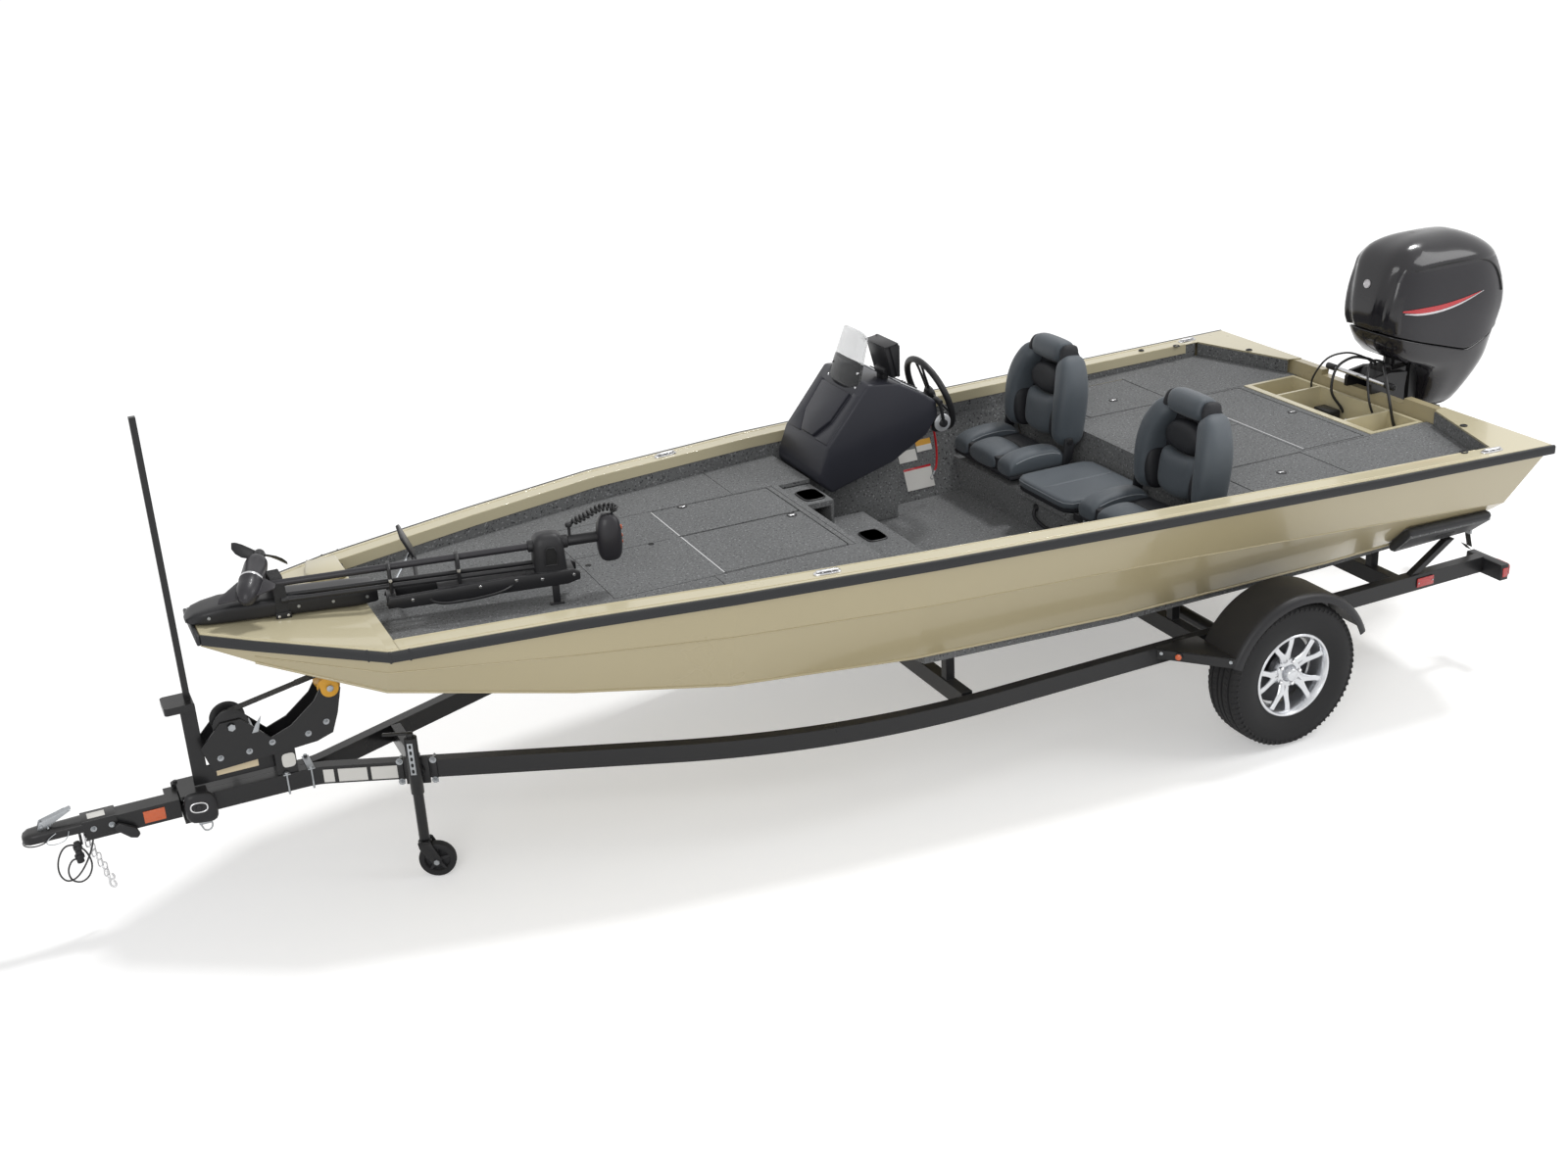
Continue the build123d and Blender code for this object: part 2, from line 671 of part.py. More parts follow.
with BuildPart() as jack_leg:
    with BuildSketch(jack_plane(13)):
        Circle(32)
        Circle(20.06, mode=Mode.SUBTRACT)
    extrude(amount=20)
    with Locations([jack_spot(0, leg_out, 500)]):
        Cylinder(26, 250)
    with Locations([jack_spot(0, leg_out, (leg_low + 380) / 2)]):
        Cylinder(21, 380 - leg_low)
    with Locations([jack_spot(0, leg_out, 633)]):
        Cylinder(14, 24)
    with BuildSketch(jack_plane(leg_out - 8)):
        with Locations([(-50, 190)]):
            Rectangle(116, 12)
    extrude(amount=16)
    with Locations([jack_spot(0, leg_out, leg_low - 5)]):
        Cylinder(12, 12)
save(jack_leg.part, "jack_leg")

with BuildPart() as jack_fork:
    with Locations([jack_spot(0, leg_out, leg_low - 6)]):
        Cylinder(27, 10)
        Cylinder(12.06, 20, mode=Mode.SUBTRACT)
    for out in (-34, 28):
        with BuildSketch(jack_plane(leg_out + out)):
            Polygon(*[(aft, z - jack_pivot_z) for aft, z in (
                (-24, leg_low - 1), (26, leg_low - 1), (caster_trail + 18, 92), (caster_trail + 12, 60),
                (caster_trail - 12, 60), (-22, leg_low - 30),
            )], align=None)
        extrude(amount=6)
    for out in (-34, 20):
        with BuildSketch(jack_plane(leg_out + out)):
            with Locations([(0, leg_low - 6 - jack_pivot_z)]):
                Rectangle(44, 10)
        extrude(amount=14)
    with BuildSketch(jack_plane(leg_out - 30)):
        with Locations([(caster_trail, jack_wheel_r - jack_pivot_z)]):
            Circle(8)
    extrude(amount=60)
save(jack_fork.part, "jack_fork")

with BuildPart() as jack_wheel:
    with BuildSketch(jack_plane(leg_out - 21)):
        with Locations([(caster_trail, jack_wheel_r - jack_pivot_z)]):
            Circle(jack_wheel_r)
            Circle(8.06, mode=Mode.SUBTRACT)
    extrude(amount=42)
    chamfer(jack_wheel.edges().filter_by(GeomType.CIRCLE).group_by(SortBy.RADIUS)[-1], length=7)
save(jack_wheel.part, "jack_wheel")

# Winch stand, drum and strap, with the bow roller
winch_spot = (5610, 745)
roller_spot = (5222.5, 814)
roller_r = 38.0
stand_line = [
    (5705, 575), (5445, 588), (5300, 598), (5235, 620), (5205, 700), (5180, 802), (5198, 834),
    (5246, 838), (5290, 770), (5390, 690), (5470, 660), (5570, 768), (5650, 768), (5735, 680),
]
with BuildPart() as winch_stand:
    for low, high in ((-52, -46), (46, 52)):
        with BuildSketch(side_plane(high)):
            Polygon(*stand_line, align=None)
            with Locations([winch_spot, roller_spot]):
                Circle(10.06, mode=Mode.SUBTRACT)
        extrude(amount=high - low)
    slab((5390, 5470), (-46, 46), (rail_top + fit, 600))
    slab((5460, 5690), (-46, 46), (590, 600))
    slab((5280, 5390), (-46, 46), (608, 618))
save(winch_stand.part, "winch_stand")

with BuildPart() as winch_drum:
    for y, thick, radius in ((-40, 4, 68), (40, 4, 68)):
        with BuildSketch(side_plane(y + thick / 2)):
            with Locations([winch_spot]):
                Circle(radius)
        extrude(amount=thick)
    with BuildSketch(side_plane(0)):
        with Locations([winch_spot]):
            Circle(42)
    extrude(amount=38, both=True)
    with BuildSketch(side_plane(0)):
        with Locations([winch_spot]):
            Circle(10)
    extrude(amount=66, both=True)
    slab((winch_spot[0] - 12, winch_spot[0] + 12), (-76, -66), (winch_spot[1] - 190, winch_spot[1] + 14))
    with Locations([at(winch_spot[0], -118, winch_spot[1] - 176)]):
        Cylinder(12, 90, rotation=(90, 0, 0))
save(winch_drum.part, "winch_drum")

with BuildPart() as bow_roller:
    with BuildSketch(Plane(origin=at(roller_spot[0], 0, roller_spot[1]), x_dir=(0, 1, 0), z_dir=(1, 0, 0))):
        Polygon((-40, 0), (-40, roller_r + 8), (-26, roller_r + 4), (-8, roller_r - 2), (8, roller_r - 2),
                (26, roller_r + 4), (40, roller_r + 8), (40, 0), align=None)
    revolve(axis=Axis(at(roller_spot[0], 0, roller_spot[1]), (0, 1, 0)))
    with BuildSketch(side_plane(0)):
        with Locations([roller_spot]):
            Circle(10)
    extrude(amount=56, both=True)
save(bow_roller.part, "bow_roller")

with BuildPart() as winch_strap:
    with BuildSketch(side_plane(24)):
        Polygon((5618, 787), (5250, 857.7), (5250, 853.7), (5618, 783.5), align=None)
        with Locations([winch_spot]):
            Circle(42.3, mode=Mode.SUBTRACT)
    extrude(amount=48)
save(winch_strap.part, "winch_strap")

# Step bracket ahead of the winch, its pad and the tall hand pole
with BuildPart() as step_pole:
    slab((5470 + fit, 5780), (-6, 6), (512, 582))
    slab((5722, 5780), (-6, 6), (512, 850))
    slab((5728, 5840), (-60, 60), (850, 880))
    fillet(step_pole.edges().filter_by(Axis.Z).group_by(Axis.X)[-1], radius=15)
    with Locations([at(5745, 0, 1440)]):
        Box(24, 24, 1121)
save(step_pole.part, "step_pole")

# Seats: a pair of buckets with a cushioned box between them
seat_middle = 540.0
seat_half = 265.0
cushion_top = 1020.0
back_pivot = (1574, 1030)
back_thick = 90.0
back_lean = 8.0
with BuildPart() as seat_bottoms:
    for side in (1, -1):
        y = side * seat_middle
        slab((1588, 1914), (y - seat_half, y + seat_half), (895, cushion_top))
    fillet(seat_bottoms.edges().group_by(Axis.Z)[-1], radius=30)
    for side in (1, -1):
        y = side * seat_middle
        slab((1600, 1850), (y - 180, y + 180), (box_z, 895))
        for edge in (-1, 1):
            arm = sorted((y + edge * (seat_half - 8.6), y + edge * (seat_half + 2)))
            slab((1545, 1612), arm, (900, 1050))
save(seat_bottoms.part, "seat_bottoms")

for side, word in ((1, "left"), (-1, "right")):
    tip = radians(back_lean)
    back = Plane(
        origin=at(back_pivot[0], side * seat_middle, back_pivot[1]),
        x_dir=(0, 1, 0),
        z_dir=(cos(tip), 0, sin(tip)),
    )
    with BuildPart() as seat_back:
        with BuildSketch(back):
            Polygon((-256, -50), (-256, 45), (-268, 200), (-225, 330), (-140, 410), (-105, 455), (105, 455),
                    (140, 410), (225, 330), (268, 200), (256, 45), (256, -50), align=None)
        extrude(amount=-back_thick)
        fillet(seat_back.edges().group_by(Axis.Z)[-1], radius=12)
    save(seat_back.part, "seat_back_" + word)

with BuildPart() as centre_cushion:
    slab((1496, 1920), (-222, 222), (box_z + 30, 950))
    fillet(centre_cushion.edges().filter_by(Axis.Z), radius=30)
save(centre_cushion.part, "centre_cushion")

# Helm console, with a bore for the wheel's shaft
helm_spot = (2160, 1300)
helm_tilt = radians(20)
helm_plane = Plane(
    origin=at(helm_spot[0], -580, helm_spot[1]), x_dir=(0, 1, 0), z_dir=(-cos(helm_tilt), 0, sin(helm_tilt))
)
console_line = [
    (2862, 1052), (2800, 990), (2480, 1080), (2300, 1180), (2240, 1260), (2245, 1330), (2300, 1370),
    (2440, 1450), (2600, 1470), (2815, 1210), (2862, 1090),
]
console_port = -362.0
shield_thick = 16.0
shield_foot = (2790.0, 1240.2)
shield_head = (2622.0, 1443.4)
shield_lean = atan((shield_foot[0] - shield_head[0]) / (shield_head[1] - shield_foot[1]))
shield_plane = Plane(origin=at(shield_foot[0], -575, shield_foot[1]), x_dir=(0, 1, 0),
                     z_dir=(cos(shield_lean), 0, sin(shield_lean)))
shield_line = [(-60, -26), (60, -26), (122, 70), (135, 228), (-135, 228), (-122, 70)]
console_far = -800.0
with BuildPart() as console:
    with BuildSketch(side_plane(console_port)):
        Polygon(*console_line, align=None)
    extrude(amount=console_port - console_far)
    slab((2330, 2850), (-720, -600), (floor_z, 1000))
    with BuildSketch(shield_plane):
        Polygon(*shield_line, align=None)
    extrude(amount=shield_thick)
    with BuildSketch(helm_plane.offset(-60)):
        Circle(15.06)
    extrude(amount=-70, mode=Mode.SUBTRACT)
save(console.part, "console")

with BuildPart() as windscreen:
    with BuildSketch(side_plane(-420)):
        Polygon((2640.5, 1421.9), (2560, 1680), (2555, 1678), (2634, 1429.8), align=None)
    extrude(amount=300)
save(windscreen.part, "windscreen")

with BuildPart() as dashboard:
    with BuildSketch(side_plane(-380)):
        Polygon((2436, 1474), (2462, 1468), (2500, 1618), (2470, 1622), align=None)
    extrude(amount=180)
    with BuildSketch(side_plane(-440)):
        Polygon((2450, 1452), (2486, 1456.5), (2478, 1490), (2456, 1490), align=None)
    extrude(amount=60)
save(dashboard.part, "dashboard")

with BuildPart() as helm_wheel:
    with BuildSketch(Plane(origin=helm_plane.origin, x_dir=(0, 1, 0), z_dir=(-sin(helm_tilt), 0, -cos(helm_tilt)))):
        with Locations([(180, 0)]):
            Circle(14)
    revolve(axis=Axis(helm_plane.origin, helm_plane.z_dir))
    with BuildSketch(helm_plane.offset(-6)):
        Circle(38)
        with PolarLocations(0, 3, start_angle=90):
            with Locations([(95, 12), (95, -12)]):
                Rectangle(172, 10)
    extrude(amount=12)
    with BuildSketch(helm_plane.offset(-6)):
        Circle(15)
    extrude(amount=-112)
save(helm_wheel.part, "helm_wheel")

# Outboard motor: clamp brackets, swivel bracket, leg, cowls, powerhead and propeller
tilt_spot = (-20, 1150)
steer_station = -115.0
prop_z = 400.0
with BuildPart() as transom_clamp:
    for side in (1, -1):
        with BuildSketch(side_plane(side * 85 + 10)):
            Polygon((2, notch_z + fit), (-140, notch_z + fit), (-150, 1170), (-40, 1182), (50, 1170), (74, 1140),
                    (74, notch_z + fit), align=None)
        extrude(amount=20)
        with BuildSketch(side_plane(side * 85 + 10)):
            Polygon((2, notch_z + 1), (70, 690), (22, 690), (-140, 1000), (-140, notch_z + 1), align=None)
        extrude(amount=20)
    with BuildSketch(side_plane(0)):
        with Locations([tilt_spot]):
            Circle(14)
    extrude(amount=94, both=True)
save(transom_clamp.part, "transom_clamp")

with BuildPart() as swivel_bracket:
    with BuildSketch(side_plane(68)):
        Polygon((-165, 700), (-165, 1190), (-20, 1180), (10, 1150), (-20, 1122), (-62, 1100), (-62, 700), align=None)
    extrude(amount=136)
    with Locations([at(steer_station, 0, 945)]):
        Cylinder(22.06, 600, mode=Mode.SUBTRACT)
    with BuildSketch(side_plane(0)):
        with Locations([tilt_spot]):
            Circle(14.06)
    extrude(amount=70, both=True, mode=Mode.SUBTRACT)
save(swivel_bracket.part, "swivel_bracket")

with BuildPart() as motor_leg:
    with Locations([at(steer_station, 0, 940)]):
        Cylinder(22, 620)
    slab((-260, steer_station), (-40, 40), (1200, 1250))
    slab((-260, steer_station), (-34, 34), (630, 690))
    slab((-420, -205), (-60, 60), (580, 937.9))
    slab((-260, -210), (-50, 50), (929, 1250))
    with BuildSketch(deck_plane(570)):
        Polygon((-130, -30), (-220, -85), (-600, -100), (-640, 0), (-600, 100), (-220, 85), (-130, 30), align=None)
    extrude(amount=12)
    with BuildSketch(side_plane(25)):
        Polygon((-170, 575), (-440, 575), (-480, 400), (-420, 230), (-340, 230), (-260, 340), (-190, 420), align=None)
    extrude(amount=50)
    with BuildSketch(side_plane(0)):
        Polygon((-130, prop_z), (-150, prop_z + 35), (-210, prop_z + 60), (-430, prop_z + 62), (-530, prop_z + 50),
                (-530, prop_z), align=None)
    revolve(axis=Axis(at(-130, 0, prop_z), (1, 0, 0)))
    with BuildSketch(section_plane(-640)):
        with Locations([(0, prop_z)]):
            Circle(13)
    extrude(amount=110)
save(motor_leg.part, "motor_leg")

# Cowl sections: height, front station, aft station, half width
seam_line = [(200, 1439.1), (68, 1399.8), (-420, 1254.4), (-700, 1343), (-800, 1374.6)]
upper_levels = [(1230, 50, -690, 200), (1450, 82, motor_tail, 214), (1580, 72, -716, 212), (1690, 40, -662, 203),
                (1765, -4, -590, 174), (1815, -84, -496, 114), (1838, -210, -400, 48)]
lower_levels = [(925, -160, -450, 78), (1080, -60, -566, 150), (1230, 42, -684, 196), (1400, 70, -722, 208)]
cowl_wall = 11.0
cowl_corner = 0.62


def cowl_section(level, inset):
    # Height, middle, length and breadth of a section drawn in by an inset
    height, front, aft, half = level
    z = height - inset if height > 1600 else height
    return z, (front + aft) / 2, front - aft - 2 * inset, 2 * (half - inset)


with BuildPart() as lower_cowl:
    for level in lower_levels:
        z, middle, long, wide = cowl_section(level, 0)
        with BuildSketch(deck_plane(z)):
            with Locations([(middle, 0)]):
                RectangleRounded(long, wide, cowl_corner * wide / 2)
    loft()
    with BuildSketch(side_plane(230)):
        Polygon((20, 1385), (-420, 1254), (-720, 1348.6), (-720, 938), (-262, 938), (-262, 1265), (-90, 1275),
                align=None)
    extrude(amount=460, mode=Mode.INTERSECT)
save(lower_cowl.part, "lower_cowl")

panel_y = 212.5
panel_line = [(-10, 1432), (0, 1640), (-160, 1668), (-560, 1660), (-655, 1560), (-655, 1400), (-420, 1300)]
vent_line = [(-150, 1702), (-500, 1700), (-588, 1640), (-578, 1630), (-496, 1688), (-150, 1690)]
with BuildPart() as cowl_core:
    for level in upper_levels:
        z, middle, long, wide = cowl_section(level, cowl_wall)
        with BuildSketch(deck_plane(z)):
            with Locations([(middle, 0)]):
                RectangleRounded(long, wide, cowl_corner * wide / 2)
    loft()
with BuildPart() as upper_cowl:
    for level in upper_levels:
        z, middle, long, wide = cowl_section(level, 0)
        with BuildSketch(deck_plane(z)):
            with Locations([(middle, 0)]):
                RectangleRounded(long, wide, cowl_corner * wide / 2)
    loft()
    with BuildSketch(side_plane(230)):
        Polygon(*seam_line, (-800, 1150), (200, 1150), align=None)
    extrude(amount=460, mode=Mode.SUBTRACT)
    for side in (1, -1):
        with BuildSketch(side_plane(side * panel_y)):
            Polygon(*panel_line, align=None)
        extrude(amount=-side * 30, mode=Mode.SUBTRACT)
    add(cowl_core.part, mode=Mode.SUBTRACT)
    for side in (1, -1):
        with BuildSketch(side_plane(side * 150)):
            Polygon(*vent_line, align=None)
        extrude(amount=-side * 90, mode=Mode.SUBTRACT)
save(upper_cowl.part, "upper_cowl")

with BuildPart() as powerhead:
    slab((-560, -120), (-140, 140), (1390, 1720))
    slab((-300, -200), (-60, 60), (1320, 1390))
save(powerhead.part, "powerhead")

# Blade sections: radius, chord, thickness, pitch angle in degrees
blade_sections = [(40, 74, 13, 62), (80, 104, 9, 44), (120, 98, 6, 34), (156, 48, 3, 28)]
hub_r = 48.0
with BuildPart() as propeller:
    with BuildSketch(section_plane(-636)):
        with Locations([(0, prop_z)]):
            Circle(hub_r)
    extrude(amount=100)
    fillet(propeller.edges().group_by(Axis.X)[0], radius=10)
    for turn in (0, 120, 240):
        spoke = (0, sin(radians(turn)), cos(radians(turn)))
        tangent = (0, cos(radians(turn)), -sin(radians(turn)))
        with BuildPart(mode=Mode.PRIVATE) as blade:
            for radius, chord, thick, pitch in blade_sections:
                place = at(-586, radius * spoke[1], prop_z + radius * spoke[2])
                along = [cos(radians(pitch)) * tangent[i] for i in range(3)]
                along[0] = sin(radians(pitch))
                with BuildSketch(Plane(origin=place, x_dir=tuple(along), z_dir=spoke)):
                    RectangleRounded(chord, thick, thick * 0.45)
            loft()
        add(blade.part)
    with BuildSketch(section_plane(-650)):
        with Locations([(0, prop_z)]):
            Circle(13.06)
    extrude(amount=130, mode=Mode.SUBTRACT)
save(propeller.part, "propeller")

# Bow trolling motor, stowed along the deck
troll_turn = radians(-9.9)
troll_z = 1285.0
troll_hand = (-0.4056, -0.8619, 0.3042)


def troll_spot(forward, port, z):
    return (
        stern_x + 5660 + forward * cos(troll_turn) - port * sin(troll_turn),
        forward * sin(troll_turn) + port * cos(troll_turn),
        z,
    )


def troll_plane(z):
    # Local x runs forward along the motor arm, local y runs to port.
    return Plane(origin=troll_spot(0, 0, z), x_dir=(cos(troll_turn), sin(troll_turn), 0), z_dir=(0, 0, 1))


def troll_section(forward):
    return Plane(origin=troll_spot(forward, 0, troll_z), x_dir=(0, 0, 1),
                 z_dir=(-cos(troll_turn), -sin(troll_turn), 0))


troll_motor = Plane(origin=troll_spot(-230, 0, 1325), x_dir=(1, 0, 0), z_dir=troll_hand)

with BuildPart() as trolling_mount:
    with BuildSketch(side_plane(80)):
        Polygon((5700, 1196), (5664, 1232), (5560, 1246), (4985, 1190), (4985, 1128), (5071, 1128),
                (5500, 1166), (5668, 1184.5), align=None)
    extrude(amount=160)
save(trolling_mount.part, "trolling_mount")

with BuildPart() as trolling_unit:
    with BuildSketch(troll_plane(1128)):
        for low, high in ((-62, -44), (44, 62)):
            with Locations([(-1074, (low + high) / 2)]):
                Rectangle(752, high - low)
        with Locations([(-1330, 0)]):
            Rectangle(200, 124)
        with Locations([(-724, 0)]):
            Rectangle(40, 124)
    extrude(amount=56)
    with BuildSketch(troll_plane(1184)):
        with Locations([(-1340, 0)]):
            Rectangle(130, 110)
    extrude(amount=150)
    with BuildSketch(troll_plane(deck_z + fit)):
        with Locations([(-1350, 50)]):
            Rectangle(30, 20)
    extrude(amount=134)
    with BuildSketch(troll_section(-250)):
        Circle(14)
    extrude(amount=1340)
    with BuildSketch(troll_section(-1400)):
        Circle(28)
    extrude(amount=140)
    for height, long, wide in ((1180, 92, 80), (1230, 106, 94), (1320, 104, 92), (1365, 78, 66), (1380, 50, 40)):
        with BuildSketch(troll_plane(height)):
            with Locations([(-1585, 0)]):
                RectangleRounded(long, wide, wide * 0.44)
    loft()
    with BuildSketch(troll_motor.offset(-150)):
        Circle(45)
    extrude(amount=260)
    with BuildSketch(troll_motor.offset(100)):
        Circle(8)
    extrude(amount=52)
save(trolling_unit.part, "trolling_unit")

with BuildPart() as trolling_propeller:
    with BuildSketch(troll_motor.offset(110.3)):
        Circle(24)
    extrude(amount=41)
    with BuildSketch(troll_motor.offset(128)):
        Rectangle(210, 42)
    extrude(amount=8)
    with BuildSketch(troll_motor.offset(110)):
        Circle(8.06)
    extrude(amount=42, mode=Mode.SUBTRACT)
save(trolling_propeller.part, "trolling_propeller")

with BuildPart() as cleats:
    for side in (1, -1):
        for station in (3420, 260):
            y = sheer_y(station) - 50
            z = sheer_z(station + 55) + cap_plate + 2 * fit
            slab((station - 55, station + 55), sorted((side * (y - 15), side * (y + 15))), (z, z + 12))
    with BuildSketch(side_plane(6)):
        Polygon((5224.8, 858), (5275, 858), (5275, 870), (5244.8, 870), align=None)
    extrude(amount=12)
save(cleats.part, "cleats")
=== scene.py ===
import json
from math import atan2, cos, hypot, pi, radians, sin

import bmesh
import bpy
from mathutils import Matrix, Vector


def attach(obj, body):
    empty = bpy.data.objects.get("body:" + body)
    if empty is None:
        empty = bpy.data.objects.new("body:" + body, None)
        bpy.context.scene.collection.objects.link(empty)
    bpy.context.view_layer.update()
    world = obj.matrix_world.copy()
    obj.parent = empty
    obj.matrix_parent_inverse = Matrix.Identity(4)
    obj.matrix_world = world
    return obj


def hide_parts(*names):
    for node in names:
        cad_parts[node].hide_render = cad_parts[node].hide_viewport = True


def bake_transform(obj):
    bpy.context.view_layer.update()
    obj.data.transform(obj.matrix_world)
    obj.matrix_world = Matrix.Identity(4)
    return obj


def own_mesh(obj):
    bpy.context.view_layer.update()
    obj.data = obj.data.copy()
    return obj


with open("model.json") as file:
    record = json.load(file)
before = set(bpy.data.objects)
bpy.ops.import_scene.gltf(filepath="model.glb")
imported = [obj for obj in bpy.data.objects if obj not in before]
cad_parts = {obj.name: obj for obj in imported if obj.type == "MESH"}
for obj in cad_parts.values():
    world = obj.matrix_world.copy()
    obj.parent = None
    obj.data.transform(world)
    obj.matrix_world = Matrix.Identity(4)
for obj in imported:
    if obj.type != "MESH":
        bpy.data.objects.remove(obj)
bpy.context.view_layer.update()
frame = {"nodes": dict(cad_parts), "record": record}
scene = bpy.context.scene
sternX = -2.840  # stations along the boat are metres forward from the stern corner of the gunwale
print("frame loaded:", len(frame["nodes"]), "nodes")


def spot(station, y, z):
    return Vector((sternX + station, y, z))


# Camera, light and floor
viewSettings = {
    "place": (3.4305, 6.6808, 3.9045),
    "yaw": -1.9979,
    "pitch": -0.4009,
    "roll": -0.0538,
    "lens": 42.19,
    "sunFrom": (-0.95, -0.30, 2.0),
    "sunStrength": 1.45,
    "sunSpread": 9.0,
    "frontPlace": (5.5, 7.5, 5.0),
    "frontWatts": 280.0,
    "rearPlace": (-6.0, 3.5, 5.5),
    "rearWatts": 190.0,
    "worldLevel": 0.46,
    "floorHalf": 60,
    "floorTone": 0.80,
    "floorGlow": 0.34,  # where the camera sees it
}


def addCamera(settings):
    yaw, pitch, roll = settings["yaw"], settings["pitch"], settings["roll"]
    ahead = Vector((cos(pitch) * cos(yaw), cos(pitch) * sin(yaw), sin(pitch)))
    right = ahead.cross(Vector((0, 0, 1))).normalized()
    up = right.cross(ahead)
    right, up = cos(roll) * right + sin(roll) * up, -sin(roll) * right + cos(roll) * up
    camera = bpy.data.cameras.new("photoCamera")
    camera.lens = settings["lens"]
    camera.sensor_width = 36.0
    camera.clip_end = 200
    holder = bpy.data.objects.new("photoCamera", camera)
    turn = Matrix((right, up, -ahead)).transposed().to_4x4()
    holder.matrix_world = Matrix.Translation(settings["place"]) @ turn
    scene.collection.objects.link(holder)
    scene.camera = holder


def addLamp(name, kind, place, target, strength, size):
    lamp = bpy.data.lights.new(name, kind)
    lamp.energy = strength
    if kind == "SUN":
        lamp.angle = radians(size)
    else:
        lamp.size = size
    holder = bpy.data.objects.new(name, lamp)
    holder.matrix_world = Matrix.Translation(place) @ (Vector(place) - Vector(target)).to_track_quat("Z",
            "Y").to_matrix().to_4x4()
    scene.collection.objects.link(holder)


def backdropMask(tree):
    # One where the camera, glass or polished metal looks at the backdrop, and nought for the light from it
    rays = tree.nodes.new("ShaderNodeLightPath").outputs
    mask = rays["Is Camera Ray"]
    for name in ("Is Transmission Ray", "Is Glossy Ray"):
        either = tree.nodes.new("ShaderNodeMath")
        either.operation = "MAXIMUM"
        tree.links.new(mask, either.inputs[0])
        tree.links.new(rays[name], either.inputs[1])
        mask = either.outputs[0]
    return mask


def addStage(settings):
    world = bpy.data.worlds.new("studio")
    scene.world = world
    world.use_nodes = True
    tree = world.node_tree
    backdrop = tree.nodes["Background"]
    level = tree.nodes.new("ShaderNodeMapRange")
    level.inputs["To Min"].default_value = settings["worldLevel"]
    level.inputs["To Max"].default_value = 1.0
    tree.links.new(backdropMask(tree), level.inputs["Value"])
    tree.links.new(level.outputs["Result"], backdrop.inputs["Strength"])
    backdrop.inputs["Color"].default_value = (1, 1, 1, 1)
    bm = bmesh.new()
    bmesh.ops.create_grid(bm, x_segments=1, y_segments=1, size=settings["floorHalf"])
    mesh = bpy.data.meshes.new("studioFloor")
    bm.to_mesh(mesh)
    bm.free()
    ground = bpy.data.objects.new("studioFloor", mesh)
    scene.collection.objects.link(ground)
    paper = bpy.data.materials.new("whitePaper")
    paper.use_nodes = True
    tree = paper.node_tree
    tree.nodes.clear()
    lift = tree.nodes.new("ShaderNodeMath")
    lift.operation = "MULTIPLY"
    lift.inputs[1].default_value = settings["floorGlow"]
    diffuse = tree.nodes.new("ShaderNodeBsdfDiffuse")
    diffuse.inputs["Color"].default_value = (*[settings["floorTone"]] * 3, 1)
    glow = tree.nodes.new("ShaderNodeEmission")
    both = tree.nodes.new("ShaderNodeAddShader")
    out = tree.nodes.new("ShaderNodeOutputMaterial")
    tree.links.new(backdropMask(tree), lift.inputs[0])
    tree.links.new(lift.outputs[0], glow.inputs["Strength"])
    tree.links.new(diffuse.outputs[0], both.inputs[0])
    tree.links.new(glow.outputs[0], both.inputs[1])
    tree.links.new(both.outputs[0], out.inputs["Surface"])
    mesh.materials.append(paper)
    addLamp("sun", "SUN", settings["sunFrom"], (0, 0, 0), settings["sunStrength"], settings["sunSpread"])
    addLamp("frontPanel", "AREA", settings["frontPlace"], (0, 0, 0.7), settings["frontWatts"], 5.0)
    addLamp("rearPanel", "AREA", settings["rearPlace"], (-1.5, 0, 0.8), settings["rearWatts"], 4.0)


addCamera(viewSettings)
addStage(viewSettings)
scene.view_settings.view_transform = "Standard"
print("camera, light and floor ready")


# Effects that several finishes share
def newGroup(name, inputs, outputs):
    group = bpy.data.node_groups.new(name, "ShaderNodeTree")
    for label, kind, value in inputs:
        socket = group.interface.new_socket(name=label, in_out="INPUT", socket_type="NodeSocket" + kind)
        if value is not None:
            socket.default_value = value
    for label, kind in outputs:
        group.interface.new_socket(name=label, in_out="OUTPUT", socket_type="NodeSocket" + kind)
    return group, group.nodes.new("NodeGroupInput"), group.nodes.new("NodeGroupOutput")


def mathNode(tree, operation, first, second=None):
    node = tree.nodes.new("ShaderNodeMath")
    node.operation = operation
    for index, value in enumerate((first, second)):
        if value is None:
            continue
        if isinstance(value, (int, float)):
            node.inputs[index].default_value = value
        else:
            tree.links.new(value, node.inputs[index])
    return node.outputs[0]


def makeDrift():
    # Slow unevenness of a surface: 0 to 1
    group, given, out = newGroup("toneDrift", [("Vector", "Vector", None), ("Scale", "Float", 2.0)],
                                 [("Drift", "Float")])
    cloud = group.nodes.new("ShaderNodeTexNoise")
    cloud.inputs["Detail"].default_value = 4.0
    cloud.inputs["Roughness"].default_value = 0.6
    group.links.new(given.outputs["Vector"], cloud.inputs["Vector"])
    group.links.new(given.outputs["Scale"], cloud.inputs["Scale"])
    group.links.new(cloud.outputs["Fac"], out.inputs["Drift"])
    return group


